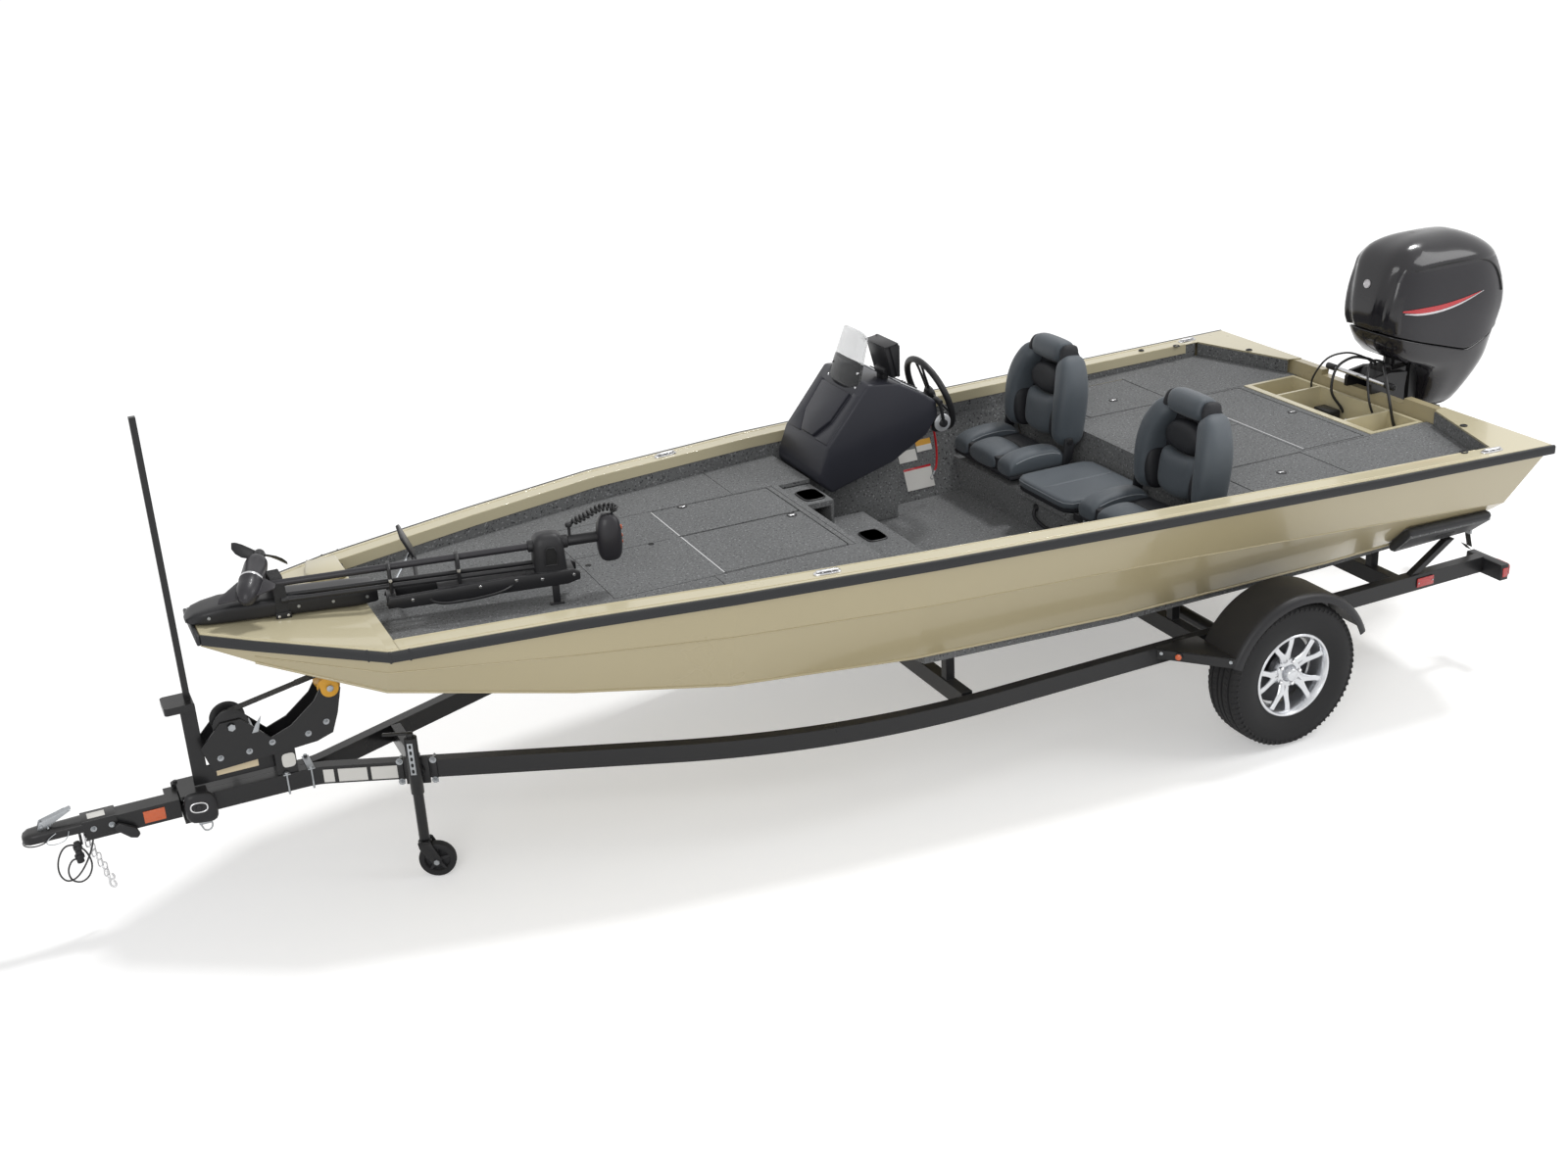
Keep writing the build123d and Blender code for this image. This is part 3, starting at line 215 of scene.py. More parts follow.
def makeRub():
    # Rounded normals along edges, and a mask of the paint rubbed off them
    group, given, out = newGroup(
        "edgeRub",
        [("Vector", "Vector", None), ("Radius", "Float", 0.003), ("Break", "Float", 30.0)],
        [("Normal", "Vector"), ("Mask", "Float")],
    )
    bevel = group.nodes.new("ShaderNodeBevel")
    bevel.samples = 4
    plain = group.nodes.new("ShaderNodeNewGeometry")
    dot = group.nodes.new("ShaderNodeVectorMath")
    dot.operation = "DOT_PRODUCT"
    patches = group.nodes.new("ShaderNodeTexNoise")
    patches.inputs["Detail"].default_value = 6.0
    group.links.new(given.outputs["Vector"], patches.inputs["Vector"])
    group.links.new(given.outputs["Break"], patches.inputs["Scale"])
    group.links.new(given.outputs["Radius"], bevel.inputs["Radius"])
    group.links.new(bevel.outputs["Normal"], dot.inputs[0])
    group.links.new(plain.outputs["Normal"], dot.inputs[1])
    bent = mathNode(group, "SUBTRACT", 1.0, dot.outputs["Value"])
    strong = mathNode(group, "MULTIPLY", bent, 9.0)
    broken = mathNode(group, "MULTIPLY", strong, patches.outputs["Fac"])
    sharp = group.nodes.new("ShaderNodeMapRange")
    sharp.inputs["From Min"].default_value = 0.28
    sharp.inputs["From Max"].default_value = 0.75
    group.links.new(broken, sharp.inputs["Value"])
    group.links.new(sharp.outputs["Result"], out.inputs["Mask"])
    group.links.new(bevel.outputs["Normal"], out.inputs["Normal"])
    return group


def makeDust():
    # Fine dust that lies on what faces up, thicker in patches
    group, given, out = newGroup(
        "settledDust", [("Vector", "Vector", None), ("Amount", "Float", 0.3)], [("Mask", "Float")]
    )
    geometry = group.nodes.new("ShaderNodeNewGeometry")
    parts = group.nodes.new("ShaderNodeSeparateXYZ")
    cloud = group.nodes.new("ShaderNodeTexNoise")
    cloud.inputs["Scale"].default_value = 9.0
    cloud.inputs["Detail"].default_value = 8.0
    group.links.new(given.outputs["Vector"], cloud.inputs["Vector"])
    group.links.new(geometry.outputs["Normal"], parts.inputs[0])
    facing = mathNode(group, "MAXIMUM", parts.outputs["Z"], 0.0)
    patchy = mathNode(group, "MULTIPLY", facing, cloud.outputs["Fac"])
    scaled = mathNode(group, "MULTIPLY", patchy, given.outputs["Amount"])
    group.links.new(scaled, out.inputs["Mask"])
    return group


def makeGrain(kind):
    # Small relief of a surface, as a height
    group, given, out = newGroup("relief" + kind, [("Vector", "Vector", None), ("Scale", "Float", 200.0)],
                                 [("Height", "Float")])
    if kind == "Leather":
        cells = group.nodes.new("ShaderNodeTexVoronoi")
        cells.feature = "DISTANCE_TO_EDGE"
        group.links.new(given.outputs["Vector"], cells.inputs["Vector"])
        group.links.new(given.outputs["Scale"], cells.inputs["Scale"])
        height = mathNode(group, "MINIMUM", mathNode(group, "MULTIPLY", cells.outputs["Distance"], 4.0), 1.0)
    elif kind == "Weave":
        parts = group.nodes.new("ShaderNodeSeparateXYZ")
        group.links.new(given.outputs["Vector"], parts.inputs[0])
        along = mathNode(group, "ADD", parts.outputs["X"], parts.outputs["Z"])
        warp = mathNode(group, "SINE", mathNode(group, "MULTIPLY", along, given.outputs["Scale"]))
        weft = mathNode(group, "SINE", mathNode(group, "MULTIPLY", parts.outputs["Y"],
                given.outputs["Scale"]))
        height = mathNode(group, "MULTIPLY", warp, weft)
    elif kind == "Brushed":
        stretch = group.nodes.new("ShaderNodeMapping")
        stretch.inputs["Scale"].default_value = (0.06, 1.0, 1.0)
        lines = group.nodes.new("ShaderNodeTexNoise")
        lines.inputs["Detail"].default_value = 3.0
        group.links.new(given.outputs["Vector"], stretch.inputs["Vector"])
        group.links.new(stretch.outputs[0], lines.inputs["Vector"])
        group.links.new(given.outputs["Scale"], lines.inputs["Scale"])
        height = lines.outputs["Fac"]
    else:
        grains = group.nodes.new("ShaderNodeTexNoise")
        grains.inputs["Detail"].default_value = 6.0
        grains.inputs["Roughness"].default_value = 0.75 if kind == "Tuft" else 0.5
        group.links.new(given.outputs["Vector"], grains.inputs["Vector"])
        group.links.new(given.outputs["Scale"], grains.inputs["Scale"])
        height = grains.outputs["Fac"]
    group.links.new(height, out.inputs["Height"])
    return group


def makeFlecks():
    # Light and dark fibres scattered in a carpet
    group, given, out = newGroup("fibreFlecks", [("Vector", "Vector", None), ("Scale", "Float", 350.0)],
                                 [("Light", "Float"), ("Dark", "Float")])
    for label, shift, low in (("Light", 0.0, 0.60), ("Dark", 7.3, 0.58)):
        move = group.nodes.new("ShaderNodeVectorMath")
        move.inputs[1].default_value = (shift, shift, shift)
        spots = group.nodes.new("ShaderNodeTexNoise")
        spots.inputs["Detail"].default_value = 2.0
        ramp = group.nodes.new("ShaderNodeMapRange")
        ramp.inputs["From Min"].default_value = low
        ramp.inputs["From Max"].default_value = low + 0.1
        group.links.new(given.outputs["Vector"], move.inputs[0])
        group.links.new(move.outputs[0], spots.inputs["Vector"])
        group.links.new(given.outputs["Scale"], spots.inputs["Scale"])
        group.links.new(spots.outputs["Fac"], ramp.inputs["Value"])
        group.links.new(ramp.outputs["Result"], out.inputs[label])
    return group


effects = {
    "drift": makeDrift(),
    "rub": makeRub(),
    "dust": makeDust(),
    "flecks": makeFlecks(),
    "Leather": makeGrain("Leather"),
    "Weave": makeGrain("Weave"),
    "Brushed": makeGrain("Brushed"),
    "Tuft": makeGrain("Tuft"),
    "Fine": makeGrain("Fine"),
}


def placeGroup(tree, key, vector, **values):
    node = tree.nodes.new("ShaderNodeGroup")
    node.node_tree = effects[key]
    tree.links.new(vector, node.inputs["Vector"])
    for label, value in values.items():
        node.inputs[label].default_value = value
    return node


def mixColour(tree, amount, first, second):
    node = tree.nodes.new("ShaderNodeMix")
    node.data_type = "RGBA"
    for index, value in ((0, amount), (6, first), (7, second)):
        if isinstance(value, (int, float)):
            node.inputs[index].default_value = value
        elif isinstance(value, tuple):
            node.inputs[index].default_value = (*value, 1.0)
        else:
            tree.links.new(value, node.inputs[index])
    return node.outputs[2]


def makeFinish(name, look):
    material = bpy.data.materials.new(name)
    material.use_nodes = True
    tree = material.node_tree
    shader = tree.nodes["Principled BSDF"]
    where = tree.nodes.new("ShaderNodeTexCoord").outputs["Object"]
    colour = look["colour"]
    drift = placeGroup(tree, "drift", where, Scale=look.get("driftScale", 2.5))
    spread = look.get("drift", 0.12)
    pale = tuple(min(1.0, c * (1 + spread)) for c in colour)
    deep = tuple(c * (1 - spread) for c in colour)
    tone = mixColour(tree, drift.outputs["Drift"], deep, pale)
    if "flecks" in look:
        flecks = placeGroup(tree, "flecks", where, Scale=look["flecks"]["scale"])
        tone = mixColour(tree, flecks.outputs["Light"], tone, look["flecks"]["light"])
        tone = mixColour(tree, flecks.outputs["Dark"], tone, look["flecks"]["dark"])
    normal = None
    if "edge" in look:
        rub = placeGroup(tree, "rub", where, Radius=look["edge"], Break=look.get("rubBreak", 25.0))
        normal = rub.outputs["Normal"]
        if "rubColour" in look:
            worn = mathNode(tree, "MULTIPLY", rub.outputs["Mask"], look.get("rub", 0.4))
            tone = mixColour(tree, worn, tone, look["rubColour"])
    if look.get("dust"):
        dust = placeGroup(tree, "dust", where, Amount=look["dust"])
        tone = mixColour(tree, dust.outputs["Mask"], tone, (0.32, 0.30, 0.27))
    tree.links.new(tone, shader.inputs["Base Color"])
    shader.inputs["Metallic"].default_value = look.get("metallic", 0.0)
    low, high = look["roughness"]
    rough = tree.nodes.new("ShaderNodeMapRange")
    rough.inputs["From Min"].default_value = 0.3
    rough.inputs["From Max"].default_value = 0.7
    rough.inputs["To Min"].default_value = low
    rough.inputs["To Max"].default_value = high
    tree.links.new(drift.outputs["Drift"], rough.inputs["Value"])
    tree.links.new(rough.outputs["Result"], shader.inputs["Roughness"])
    shader.inputs["Coat Weight"].default_value = look.get("coat", 0.0)
    shader.inputs["Coat Roughness"].default_value = look.get("coatRoughness", 0.05)
    shader.inputs["Sheen Weight"].default_value = look.get("sheen", 0.0)
    shader.inputs["Specular IOR Level"].default_value = look.get("specular", 0.5)
    if "relief" in look:
        kind, scale, depth = look["relief"]
        grain = placeGroup(tree, kind, where, Scale=scale)
        bump = tree.nodes.new("ShaderNodeBump")
        bump.inputs["Strength"].default_value = look.get("bump", 0.5)
        bump.inputs["Distance"].default_value = depth
        tree.links.new(grain.outputs["Height"], bump.inputs["Height"])
        if normal is not None:
            tree.links.new(normal, bump.inputs["Normal"])
        normal = bump.outputs["Normal"]
    if normal is not None:
        tree.links.new(normal, shader.inputs["Normal"])
    return material


def makeClear(name, colour, transmission, alpha, roughness):
    material = bpy.data.materials.new(name)
    material.use_nodes = True
    tree = material.node_tree
    shader = tree.nodes["Principled BSDF"]
    where = tree.nodes.new("ShaderNodeTexCoord").outputs["Object"]
    drift = placeGroup(tree, "drift", where, Scale=6.0)
    tone = mixColour(tree, drift.outputs["Drift"], colour, tuple(min(1.0, c * 1.1) for c in colour))
    tree.links.new(tone, shader.inputs["Base Color"])
    shader.inputs["Transmission Weight"].default_value = transmission
    shader.inputs["Alpha"].default_value = alpha
    shader.inputs["IOR"].default_value = 1.3
    shader.inputs["Roughness"].default_value = roughness
    return material


finishLooks = {
    "hullPaint": {"colour": (0.415, 0.355, 0.212), "drift": 0.03, "driftScale": 1.2,
                  "roughness": (0.27, 0.30), "coat": 0.4},
    # The hull's tan made lighter for the caps, bow plate, stern quarters and splash well: painted light on these
    # tops
    "capTanPaintedLight": {"colour": (0.56, 0.505, 0.34), "drift": 0.05, "driftScale": 2.0, "roughness": (0.26, 0.36),
                 "coat": 0.4, "edge": 0.003},
    "rubTrim": {"colour": (0.022, 0.023, 0.025), "drift": 0.15, "roughness": (0.42, 0.55), "edge": 0.004,
                "relief": ("Fine", 300.0, 0.0004), "bump": 0.25, "dust": 0.05, "specular": 0.3},
    "deckCarpet": {"colour": (0.150, 0.154, 0.156), "drift": 0.22, "driftScale": 3.0,
                   "roughness": (0.92, 1.0), "flecks": {"scale": 100.0, "light": (0.34, 0.345, 0.35),
            "dark": (0.038, 0.039, 0.041)}, "edge": 0.006, "relief": ("Tuft", 230.0, 0.004), "bump": 0.9,
                   "sheen": 0.15, "specular": 0.15},
    "framePaint": {"colour": (0.013, 0.013, 0.014), "drift": 0.2, "roughness": (0.26, 0.38), "coat": 0.08,
                   "edge": 0.004, "specular": 0.28, "relief": ("Fine", 120.0, 0.0006), "bump": 0.12,
                   "dust": 0.05, "rubColour": (0.10, 0.10, 0.10), "rub": 0.12},
    "blackPlastic": {"colour": (0.018, 0.018, 0.020), "drift": 0.15, "roughness": (0.34, 0.46), "edge": 0.003,
                     "specular": 0.3, "relief": ("Fine", 500.0, 0.0003), "bump": 0.3, "dust": 0.03},
    "cowlGloss": {"colour": (0.016, 0.015, 0.018), "drift": 0.1, "roughness": (0.16, 0.22), "coat": 0.35,
                  "coatRoughness": 0.03, "edge": 0.003, "dust": 0.02, "specular": 0.32},
    "cowlSatin": {"colour": (0.024, 0.023, 0.027), "drift": 0.1, "roughness": (0.30, 0.38), "coat": 0.05,
                  "edge": 0.003, "dust": 0.02, "specular": 0.3},
    "castMetal": {"colour": (0.30, 0.31, 0.32), "drift": 0.2, "roughness": (0.40, 0.55), "metallic": 0.8,
                  "relief": ("Fine", 200.0, 0.001), "bump": 0.4},
    "tyreRubber": {"colour": (0.018, 0.018, 0.019), "drift": 0.25, "roughness": (0.62, 0.78), "edge": 0.002,
                   "relief": ("Fine", 260.0, 0.0008), "bump": 0.35, "dust": 0.04, "specular": 0.25},
    "wheelAlloy": {"colour": (0.60, 0.61, 0.63), "drift": 0.08, "roughness": (0.20, 0.30), "metallic": 0.9,
                   "edge": 0.002, "relief": ("Fine", 90.0, 0.0005), "bump": 0.1},
    # Near-black metal for the disc behind the wheel's spokes: painted shade in the wheel's pocket
    "wheelPocketShade": {"colour": (0.05, 0.05, 0.055), "drift": 0.2, "roughness": (0.4, 0.5), "metallic": 0.6},
    "seatGrey": {"colour": (0.068, 0.082, 0.096), "drift": 0.12, "driftScale": 6.0,
                 "roughness": (0.42, 0.52), "sheen": 0.1, "relief": ("Leather", 330.0, 0.0009),
                 "bump": 0.35, "dust": 0.02, "specular": 0.4},
    "seatBlack": {"colour": (0.014, 0.015, 0.018), "drift": 0.15, "driftScale": 6.0, "roughness": (0.48, 0.6),
                  "relief": ("Weave", 1900.0, 0.0006), "bump": 0.4, "dust": 0.01, "specular": 0.3},
    "seatPiping": {"colour": (0.24, 0.26, 0.28), "drift": 0.1, "roughness": (0.4, 0.5),
                   "relief": ("Leather", 600.0, 0.0004)},
    "consolePlastic": {"colour": (0.026, 0.027, 0.036), "drift": 0.12, "roughness": (0.34, 0.44),
                       "edge": 0.005, "relief": ("Fine", 420.0, 0.0004), "bump": 0.3, "dust": 0.02,
                       "specular": 0.3},
    "dashSilver": {"colour": (0.62, 0.63, 0.65), "drift": 0.06, "roughness": (0.30, 0.38), "metallic": 0.6,
                   "edge": 0.002, "relief": ("Brushed", 400.0, 0.0003), "bump": 0.2},
    "lampRed": {"colour": (0.46, 0.012, 0.014), "drift": 0.1, "roughness": (0.16, 0.24), "coat": 0.6,
                "relief": ("Weave", 900.0, 0.0015), "bump": 0.5},
    "lampAmber": {"colour": (0.62, 0.10, 0.012), "drift": 0.1, "roughness": (0.18, 0.26), "coat": 0.5,
                  "relief": ("Weave", 900.0, 0.0012), "bump": 0.4},
    "brightSteel": {"colour": (0.62, 0.62, 0.63), "drift": 0.08, "roughness": (0.14, 0.26), "metallic": 1.0,
                    "relief": ("Fine", 60.0, 0.0005), "bump": 0.15},
    "zincSteel": {"colour": (0.34, 0.355, 0.37), "drift": 0.3, "driftScale": 30.0, "roughness": (0.32, 0.5),
                  "metallic": 0.9, "relief": ("Fine", 220.0, 0.0008), "bump": 0.4},
    "rollerYellow": {"colour": (0.66, 0.33, 0.02), "drift": 0.12, "driftScale": 12.0,
                     "roughness": (0.38, 0.5), "edge": 0.003, "dust": 0.15},
    "webbing": {"colour": (0.016, 0.016, 0.017), "drift": 0.15, "roughness": (0.75, 0.9),
                "relief": ("Weave", 2600.0, 0.0010), "bump": 0.7, "sheen": 0.1},
    "cableBlack": {"colour": (0.014, 0.014, 0.015), "drift": 0.1, "roughness": (0.40, 0.5),
                   "relief": ("Fine", 600.0, 0.0003)},
    "blankLabel": {"colour": (0.66, 0.65, 0.62), "drift": 0.05, "roughness": (0.40, 0.5), "edge": 0.001},
    "paleCream": {"colour": (0.72, 0.60, 0.40), "drift": 0.08, "roughness": (0.40, 0.5)},
    "stripeRed": {"colour": (0.50, 0.012, 0.020), "drift": 0.08, "roughness": (0.22, 0.3), "coat": 0.6},
    "stripeSilver": {"colour": (0.62, 0.60, 0.62), "drift": 0.06, "roughness": (0.24, 0.32), "coat": 0.4,
                     "metallic": 0.3},
    "lanyardRed": {"colour": (0.62, 0.016, 0.022), "drift": 0.1, "roughness": (0.40, 0.5)},
    "shadowBlack": {"colour": (0.004, 0.004, 0.004), "drift": 0.1, "roughness": (0.7, 0.9)},
}
finishes = {name: makeFinish(name, look) for name, look in finishLooks.items()}
finishes["screenSmoke"] = makeClear("screenSmoke", (0.42, 0.43, 0.44), 0.6, 0.42, 0.06)
finishes["screenTint"] = makeClear("screenTint", (0.05, 0.052, 0.055), 0.35, 0.86, 0.10)
print("finishes ready:", len(finishes))

slotFinish = {
    "hull_tan": "hullPaint",
    "rubber_black": "rubTrim",
    "carpet_grey": "deckCarpet",
    "frame_black": "framePaint",
    "plastic_black": "blackPlastic",
    "cowl_black": "cowlGloss",
    "cast_metal": "castMetal",
    "tyre": "tyreRubber",
    "alloy": "wheelAlloy",
    "vinyl_grey": "seatGrey",
    "console_charcoal": "consolePlastic",
    "screen_smoke": "screenSmoke",
    "lamp_red": "lampRed",
    "bright_steel": "brightSteel",
    "roller_yellow": "rollerYellow",
    "webbing_black": "webbing",
}
# These parts take the hull's tan made lighter, as painted light on their tops
nodeFinish = {"gunwale_caps": "capTanPaintedLight", "bow_plate": "capTanPaintedLight", "stern_quarters": "capTanPaintedLight",
              "splash_well": "capTanPaintedLight"}
for part in frame["record"]["subparts"]:
    node = frame["nodes"][part["node"]]
    finish = nodeFinish.get(part["node"], slotFinish[part["material_slot"]])
    node.data.materials.clear()
    node.data.materials.append(finishes[finish])
print("finishes on the nodes")


# Shaping helpers
def newPiece(name, bm, finishNames, body, smooth=35, recalc=True, replaces=(), levels=0, bevel=0):
    if recalc:
        bmesh.ops.recalc_face_normals(bm, faces=bm.faces)
    mesh = bpy.data.meshes.new(name)
    bm.to_mesh(mesh)
    bm.free()
    for finishName in finishNames:
        mesh.materials.append(finishes[finishName])
    mesh.polygons.foreach_set("use_smooth", [True] * len(mesh.polygons))
    if not levels:
        mesh.set_sharp_from_angle(angle=radians(smooth))
    piece = bpy.data.objects.new(name, mesh)
    scene.collection.objects.link(piece)
    if bevel:
        rounding = piece.modifiers.new("rounding", "BEVEL")
        rounding.width = bevel
        rounding.segments = 2
        rounding.limit_method = "ANGLE"
        rounding.angle_limit = radians(40)
    if levels:
        rounder = piece.modifiers.new("rounder", "SUBSURF")
        rounder.levels = levels
        rounder.render_levels = levels
    if body:
        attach(piece, body)
    if replaces:
        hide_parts(*replaces)
    return piece


def paint(bm, before, finishIndex):
    for face in bm.faces:
        if face not in before:
            face.material_index = finishIndex


def roundEdges(bm, edges, rounding, segments=2):
    # Taken in the order of the mesh
    bm.edges.index_update()
    edges = sorted(edges, key=lambda edge: edge.index)
    bmesh.ops.bevel(bm, geom=edges, offset=rounding, segments=segments, profile=0.5, affect="EDGES", material=-1)


def raiseFace(bm, points, lift):
    # A flat face pulled up to a block: gives its top and all of its faces
    before = set(bm.faces)
    face = bm.faces.new([bm.verts.new(Vector(point)) for point in points])
    grown = bmesh.ops.extrude_face_region(bm, geom=[face])["geom"]
    moved = [item for item in grown if isinstance(item, bmesh.types.BMVert)]
    bmesh.ops.translate(bm, verts=moved, vec=Vector(lift))
    fresh = [f for f in bm.faces if f not in before]
    bmesh.ops.recalc_face_normals(bm, faces=fresh)
    return [item for item in grown if isinstance(item, bmesh.types.BMFace)], fresh


def addBox(bm, low, high, rounding=0.0, finish=0, segments=2, turn=None):
    before = set(bm.faces)
    size = [b - a for a, b in zip(low, high)]
    middle = Vector([(a + b) / 2 for a, b in zip(low, high)])
    place = Matrix.Translation(middle) @ (turn or Matrix()) @ Matrix.Diagonal((*size, 1))
    made = bmesh.ops.create_cube(bm, size=1.0, matrix=place)
    if rounding:
        roundEdges(bm, {edge for vert in made["verts"] for edge in vert.link_edges}, rounding, segments)
    paint(bm, before, finish)


def addSideBox(bm, side, stations, breadths, heights, rounding, finish=0):
    low, high = sorted(side * breadth for breadth in breadths)
    addBox(bm, spot(stations[0], low, heights[0]), spot(stations[1], high, heights[1]), rounding,
           finish=finish)


def addRod(bm, start, end, radius, finish=0, segments=20, endRadius=None, rounding=0.0):
    before = set(bm.faces)
    start, end = Vector(start), Vector(end)
    along = end - start
    turn = along.to_track_quat("Z", "Y").to_matrix().to_4x4()
    made = bmesh.ops.create_cone(
        bm, cap_ends=True, segments=segments, radius1=radius,
        radius2=radius if endRadius is None else endRadius,
        depth=along.length, matrix=Matrix.Translation((start + end) / 2) @ turn,
    )
    if rounding:
        roundEdges(bm, {edge for vert in made["verts"] for edge in vert.link_edges
                        if any(len(f.verts) > 4 for f in edge.link_faces)}, rounding)
    paint(bm, before, finish)


def addLathe(bm, profile, centre, axis, finish=0, steps=32):
    # profile holds (distance along the axis, radius)
    before = set(bm.faces)
    axis = Vector(axis).normalized()
    side = axis.orthogonal().normalized()
    verts = [bm.verts.new(Vector(centre) + axis * along + side * radius) for along, radius in profile]
    edges = [bm.edges.new(pair) for pair in zip(verts, verts[1:])]
    bmesh.ops.spin(bm, geom=verts + edges, cent=Vector(centre), axis=axis, angle=2 * pi, steps=steps,
                   use_merge=True, use_duplicate=False)
    bmesh.ops.remove_doubles(bm, verts=[v for v in bm.verts if v.is_valid], dist=1e-6)
    paint(bm, before, finish)


def addPlate(bm, outline, thickness, finish=0, rounding=0.0):
    # outline holds points of one flat face, thickness is a vector
    before = set(bm.faces)
    fresh = raiseFace(bm, outline, thickness)[1]
    if rounding:
        roundEdges(bm, {edge for f in fresh for edge in f.edges}, rounding)
    paint(bm, before, finish)


def addPipe(bm, points, radius, finish=0, curved=True, ring=6, around=8):
    before = set(bm.faces)
    curve = bpy.data.curves.new("pipeRoute", "CURVE")
    curve.dimensions = "3D"
    curve.bevel_depth = radius
    curve.bevel_resolution = max(0, around // 2 - 2)
    curve.resolution_u = ring
    curve.use_fill_caps = True
    line = curve.splines.new("NURBS" if curved else "POLY")
    line.points.add(len(points) - 1)
    for knot, point in zip(line.points, points):
        knot.co = (*point, 1.0)
    if curved:
        line.order_u = 3
        line.use_endpoint_u = True
    holder = bpy.data.objects.new("pipeRoute", curve)
    mesh = bpy.data.meshes.new_from_object(holder)
    bm.from_mesh(mesh)
    bpy.data.objects.remove(holder)
    bpy.data.meshes.remove(mesh)
    bpy.data.curves.remove(curve)
    paint(bm, before, finish)


def addLoft(bm, rings, finish=0, closed=True):
    # Each ring is a list of points, all of one count, bridged in turn and capped at both ends
    before = set(bm.faces)
    loops = []
    for ring in rings:
        made = bmesh.ops.create_circle(bm, cap_ends=False, radius=1.0, segments=len(ring))["verts"]
        made = sorted(made, key=lambda vert: atan2(vert.co.y, vert.co.x))
        for vert, point in zip(made, ring):
            vert.co = Vector(point)
        loops.append([bm.edges.get((a, b)) for a, b in zip(made, made[1:] + made[:1])])
    for first, second in zip(loops, loops[1:]):
        bmesh.ops.bridge_loops(bm, edges=first + second)
    if closed:
        for loop in (loops[0], loops[-1]):
            bmesh.ops.contextual_create(bm, geom=loop)
    paint(bm, before, finish)


def roundRect(centre, acrossVector, upVector, halfAcross, halfUp, power=4.0, count=24):
    # Points of a superellipse, which is a rectangle with soft corners
    points = []
    centre, acrossVector, upVector = Vector(centre), Vector(acrossVector), Vector(upVector)
    for step in range(count):
        angle = 2 * pi * (step + 0.5) / count
        c, s = cos(angle), sin(angle)
        reach = (abs(c) ** power + abs(s) ** power) ** (-1 / power)
        points.append(centre + acrossVector * (halfAcross * c * reach) + upVector * (halfUp * s * reach))
    return points


def curveThrough(points, steps):
    # Smooth line through a few points, with the same number of steps between each two
    knots = [Vector(point) for point in points]
    ends = [2 * knots[0] - knots[1]] + knots + [2 * knots[-1] - knots[-2]]
    line = []
    for index in range(len(knots) - 1):
        a, b, c, d = ends[index : index + 4]
        for step in range(steps):
            t = step / steps
            square, cube = 2 * a - 5 * b + 4 * c - d, 3 * b - a - 3 * c + d
            line.append(0.5 * (2 * b + (c - a) * t + square * t**2 + cube * t**3))
    return line + [knots[-1]]


def upright(y, outline):
    # Outline of station and height, standing at one place across the boat
    return [spot(station, y, z) for station, z in outline]


def between(table, value):
    # Straight steps through a short table of (place, size)
    if value <= table[0][0]:
        return table[0][1]
    for (a, low), (b, high) in zip(table, table[1:]):
        if value <= b:
            return low + (high - low) * (value - a) / (b - a)
    return table[-1][1]


# Outboard motor: lower cowl, upper cowl with its side panels, badge seat and stripe
outboard = {
    "seam": [(-0.72, 1.350), (-0.42, 1.2585), (-0.10, 1.348), (0.09, 1.408)],
    # height, front station, aft station, half width; None stands for the slanting seam
    "upper": [(None, 0.068, -0.706, 0.206), (1.43, 0.080, -0.734, 0.215), (1.50, 0.082, -0.736, 0.217),
              (1.58, 0.070, -0.716, 0.214), (1.655, 0.052, -0.684, 0.208), (1.70, 0.038, -0.656, 0.201),
              (1.712, 0.034, -0.648, 0.204), (1.748, 0.014, -0.612, 0.188), (1.780, -0.014, -0.560, 0.158),
              (1.806, -0.066, -0.500, 0.124), (1.825, -0.140, -0.440, 0.082),
              (1.834, -0.220, -0.390, 0.034)],
    "lower": [(None, 0.048, -0.690, 0.200), (1.235, -0.020, -0.660, 0.198), (1.20, -0.225, -0.636, 0.190),
              (1.12, -0.266, -0.588, 0.166), (1.02, -0.268, -0.518, 0.128), (0.942, -0.268, -0.464, 0.090)],
    "panelTop": 1.69,
    "panelFront": 0.012,
    "panelAft": -0.655,
    "panelSink": 0.006,
    "channelY": [(1.40, 0.095), (1.78, 0.150)],
    "channelDepth": 0.026,
}


def seamHeight(station):
    return between(outboard["seam"], station)


def cowlRing(level, lift, count=72, panel=False):
    height, front, aft, half = level
    middle, reach = (front + aft) / 2, (front - aft) / 2
    ring = []
    for step in range(count):
        angle = 2 * pi * (step + 0.5) / count
        c, s = cos(angle), sin(angle)
        power = 4.2 if c > 0 else 2.9
        scale = (abs(c) ** power + abs(s) ** power) ** (-1 / power)
        station, y = middle + reach * c * scale, half * s * scale
        z = seamHeight(station) + lift if height is None else max(height, seamHeight(station) + 0.02 + lift)
        along = outboard["panelAft"] < station < outboard["panelFront"]
        if panel and along and z < outboard["panelTop"] and abs(y) > half * 0.6:
            y -= outboard["panelSink"] * (1 if y > 0 else -1)
        if panel and station > middle + reach * 0.7 and z < 1.79:
            gap = (abs(y) - between(outboard["channelY"], z)) / 0.018
            station -= outboard["channelDepth"] * max(0.0, 1 - gap * gap) * min(1.0, (z - 1.36) / 0.06)
        ring.append(spot(station, y, z))
    return ring


def sidePlace(station, height, side, out=0.0):
    # Point on the sunk side panel of the upper cowl
    levels = [level for level in outboard["upper"] if level[0]]
    front, aft, half = (between([(level[0], level[index]) for level in levels], height)
                        for index in (1, 2, 3))
    middle, reach = (front + aft) / 2, (front - aft) / 2
    share = min(0.999, abs(station - middle) / reach)
    power = 4.2 if station > middle else 2.9
    return spot(station, side * (half * (1 - share**power) ** (1 / power) - outboard["panelSink"] + out),
                height)


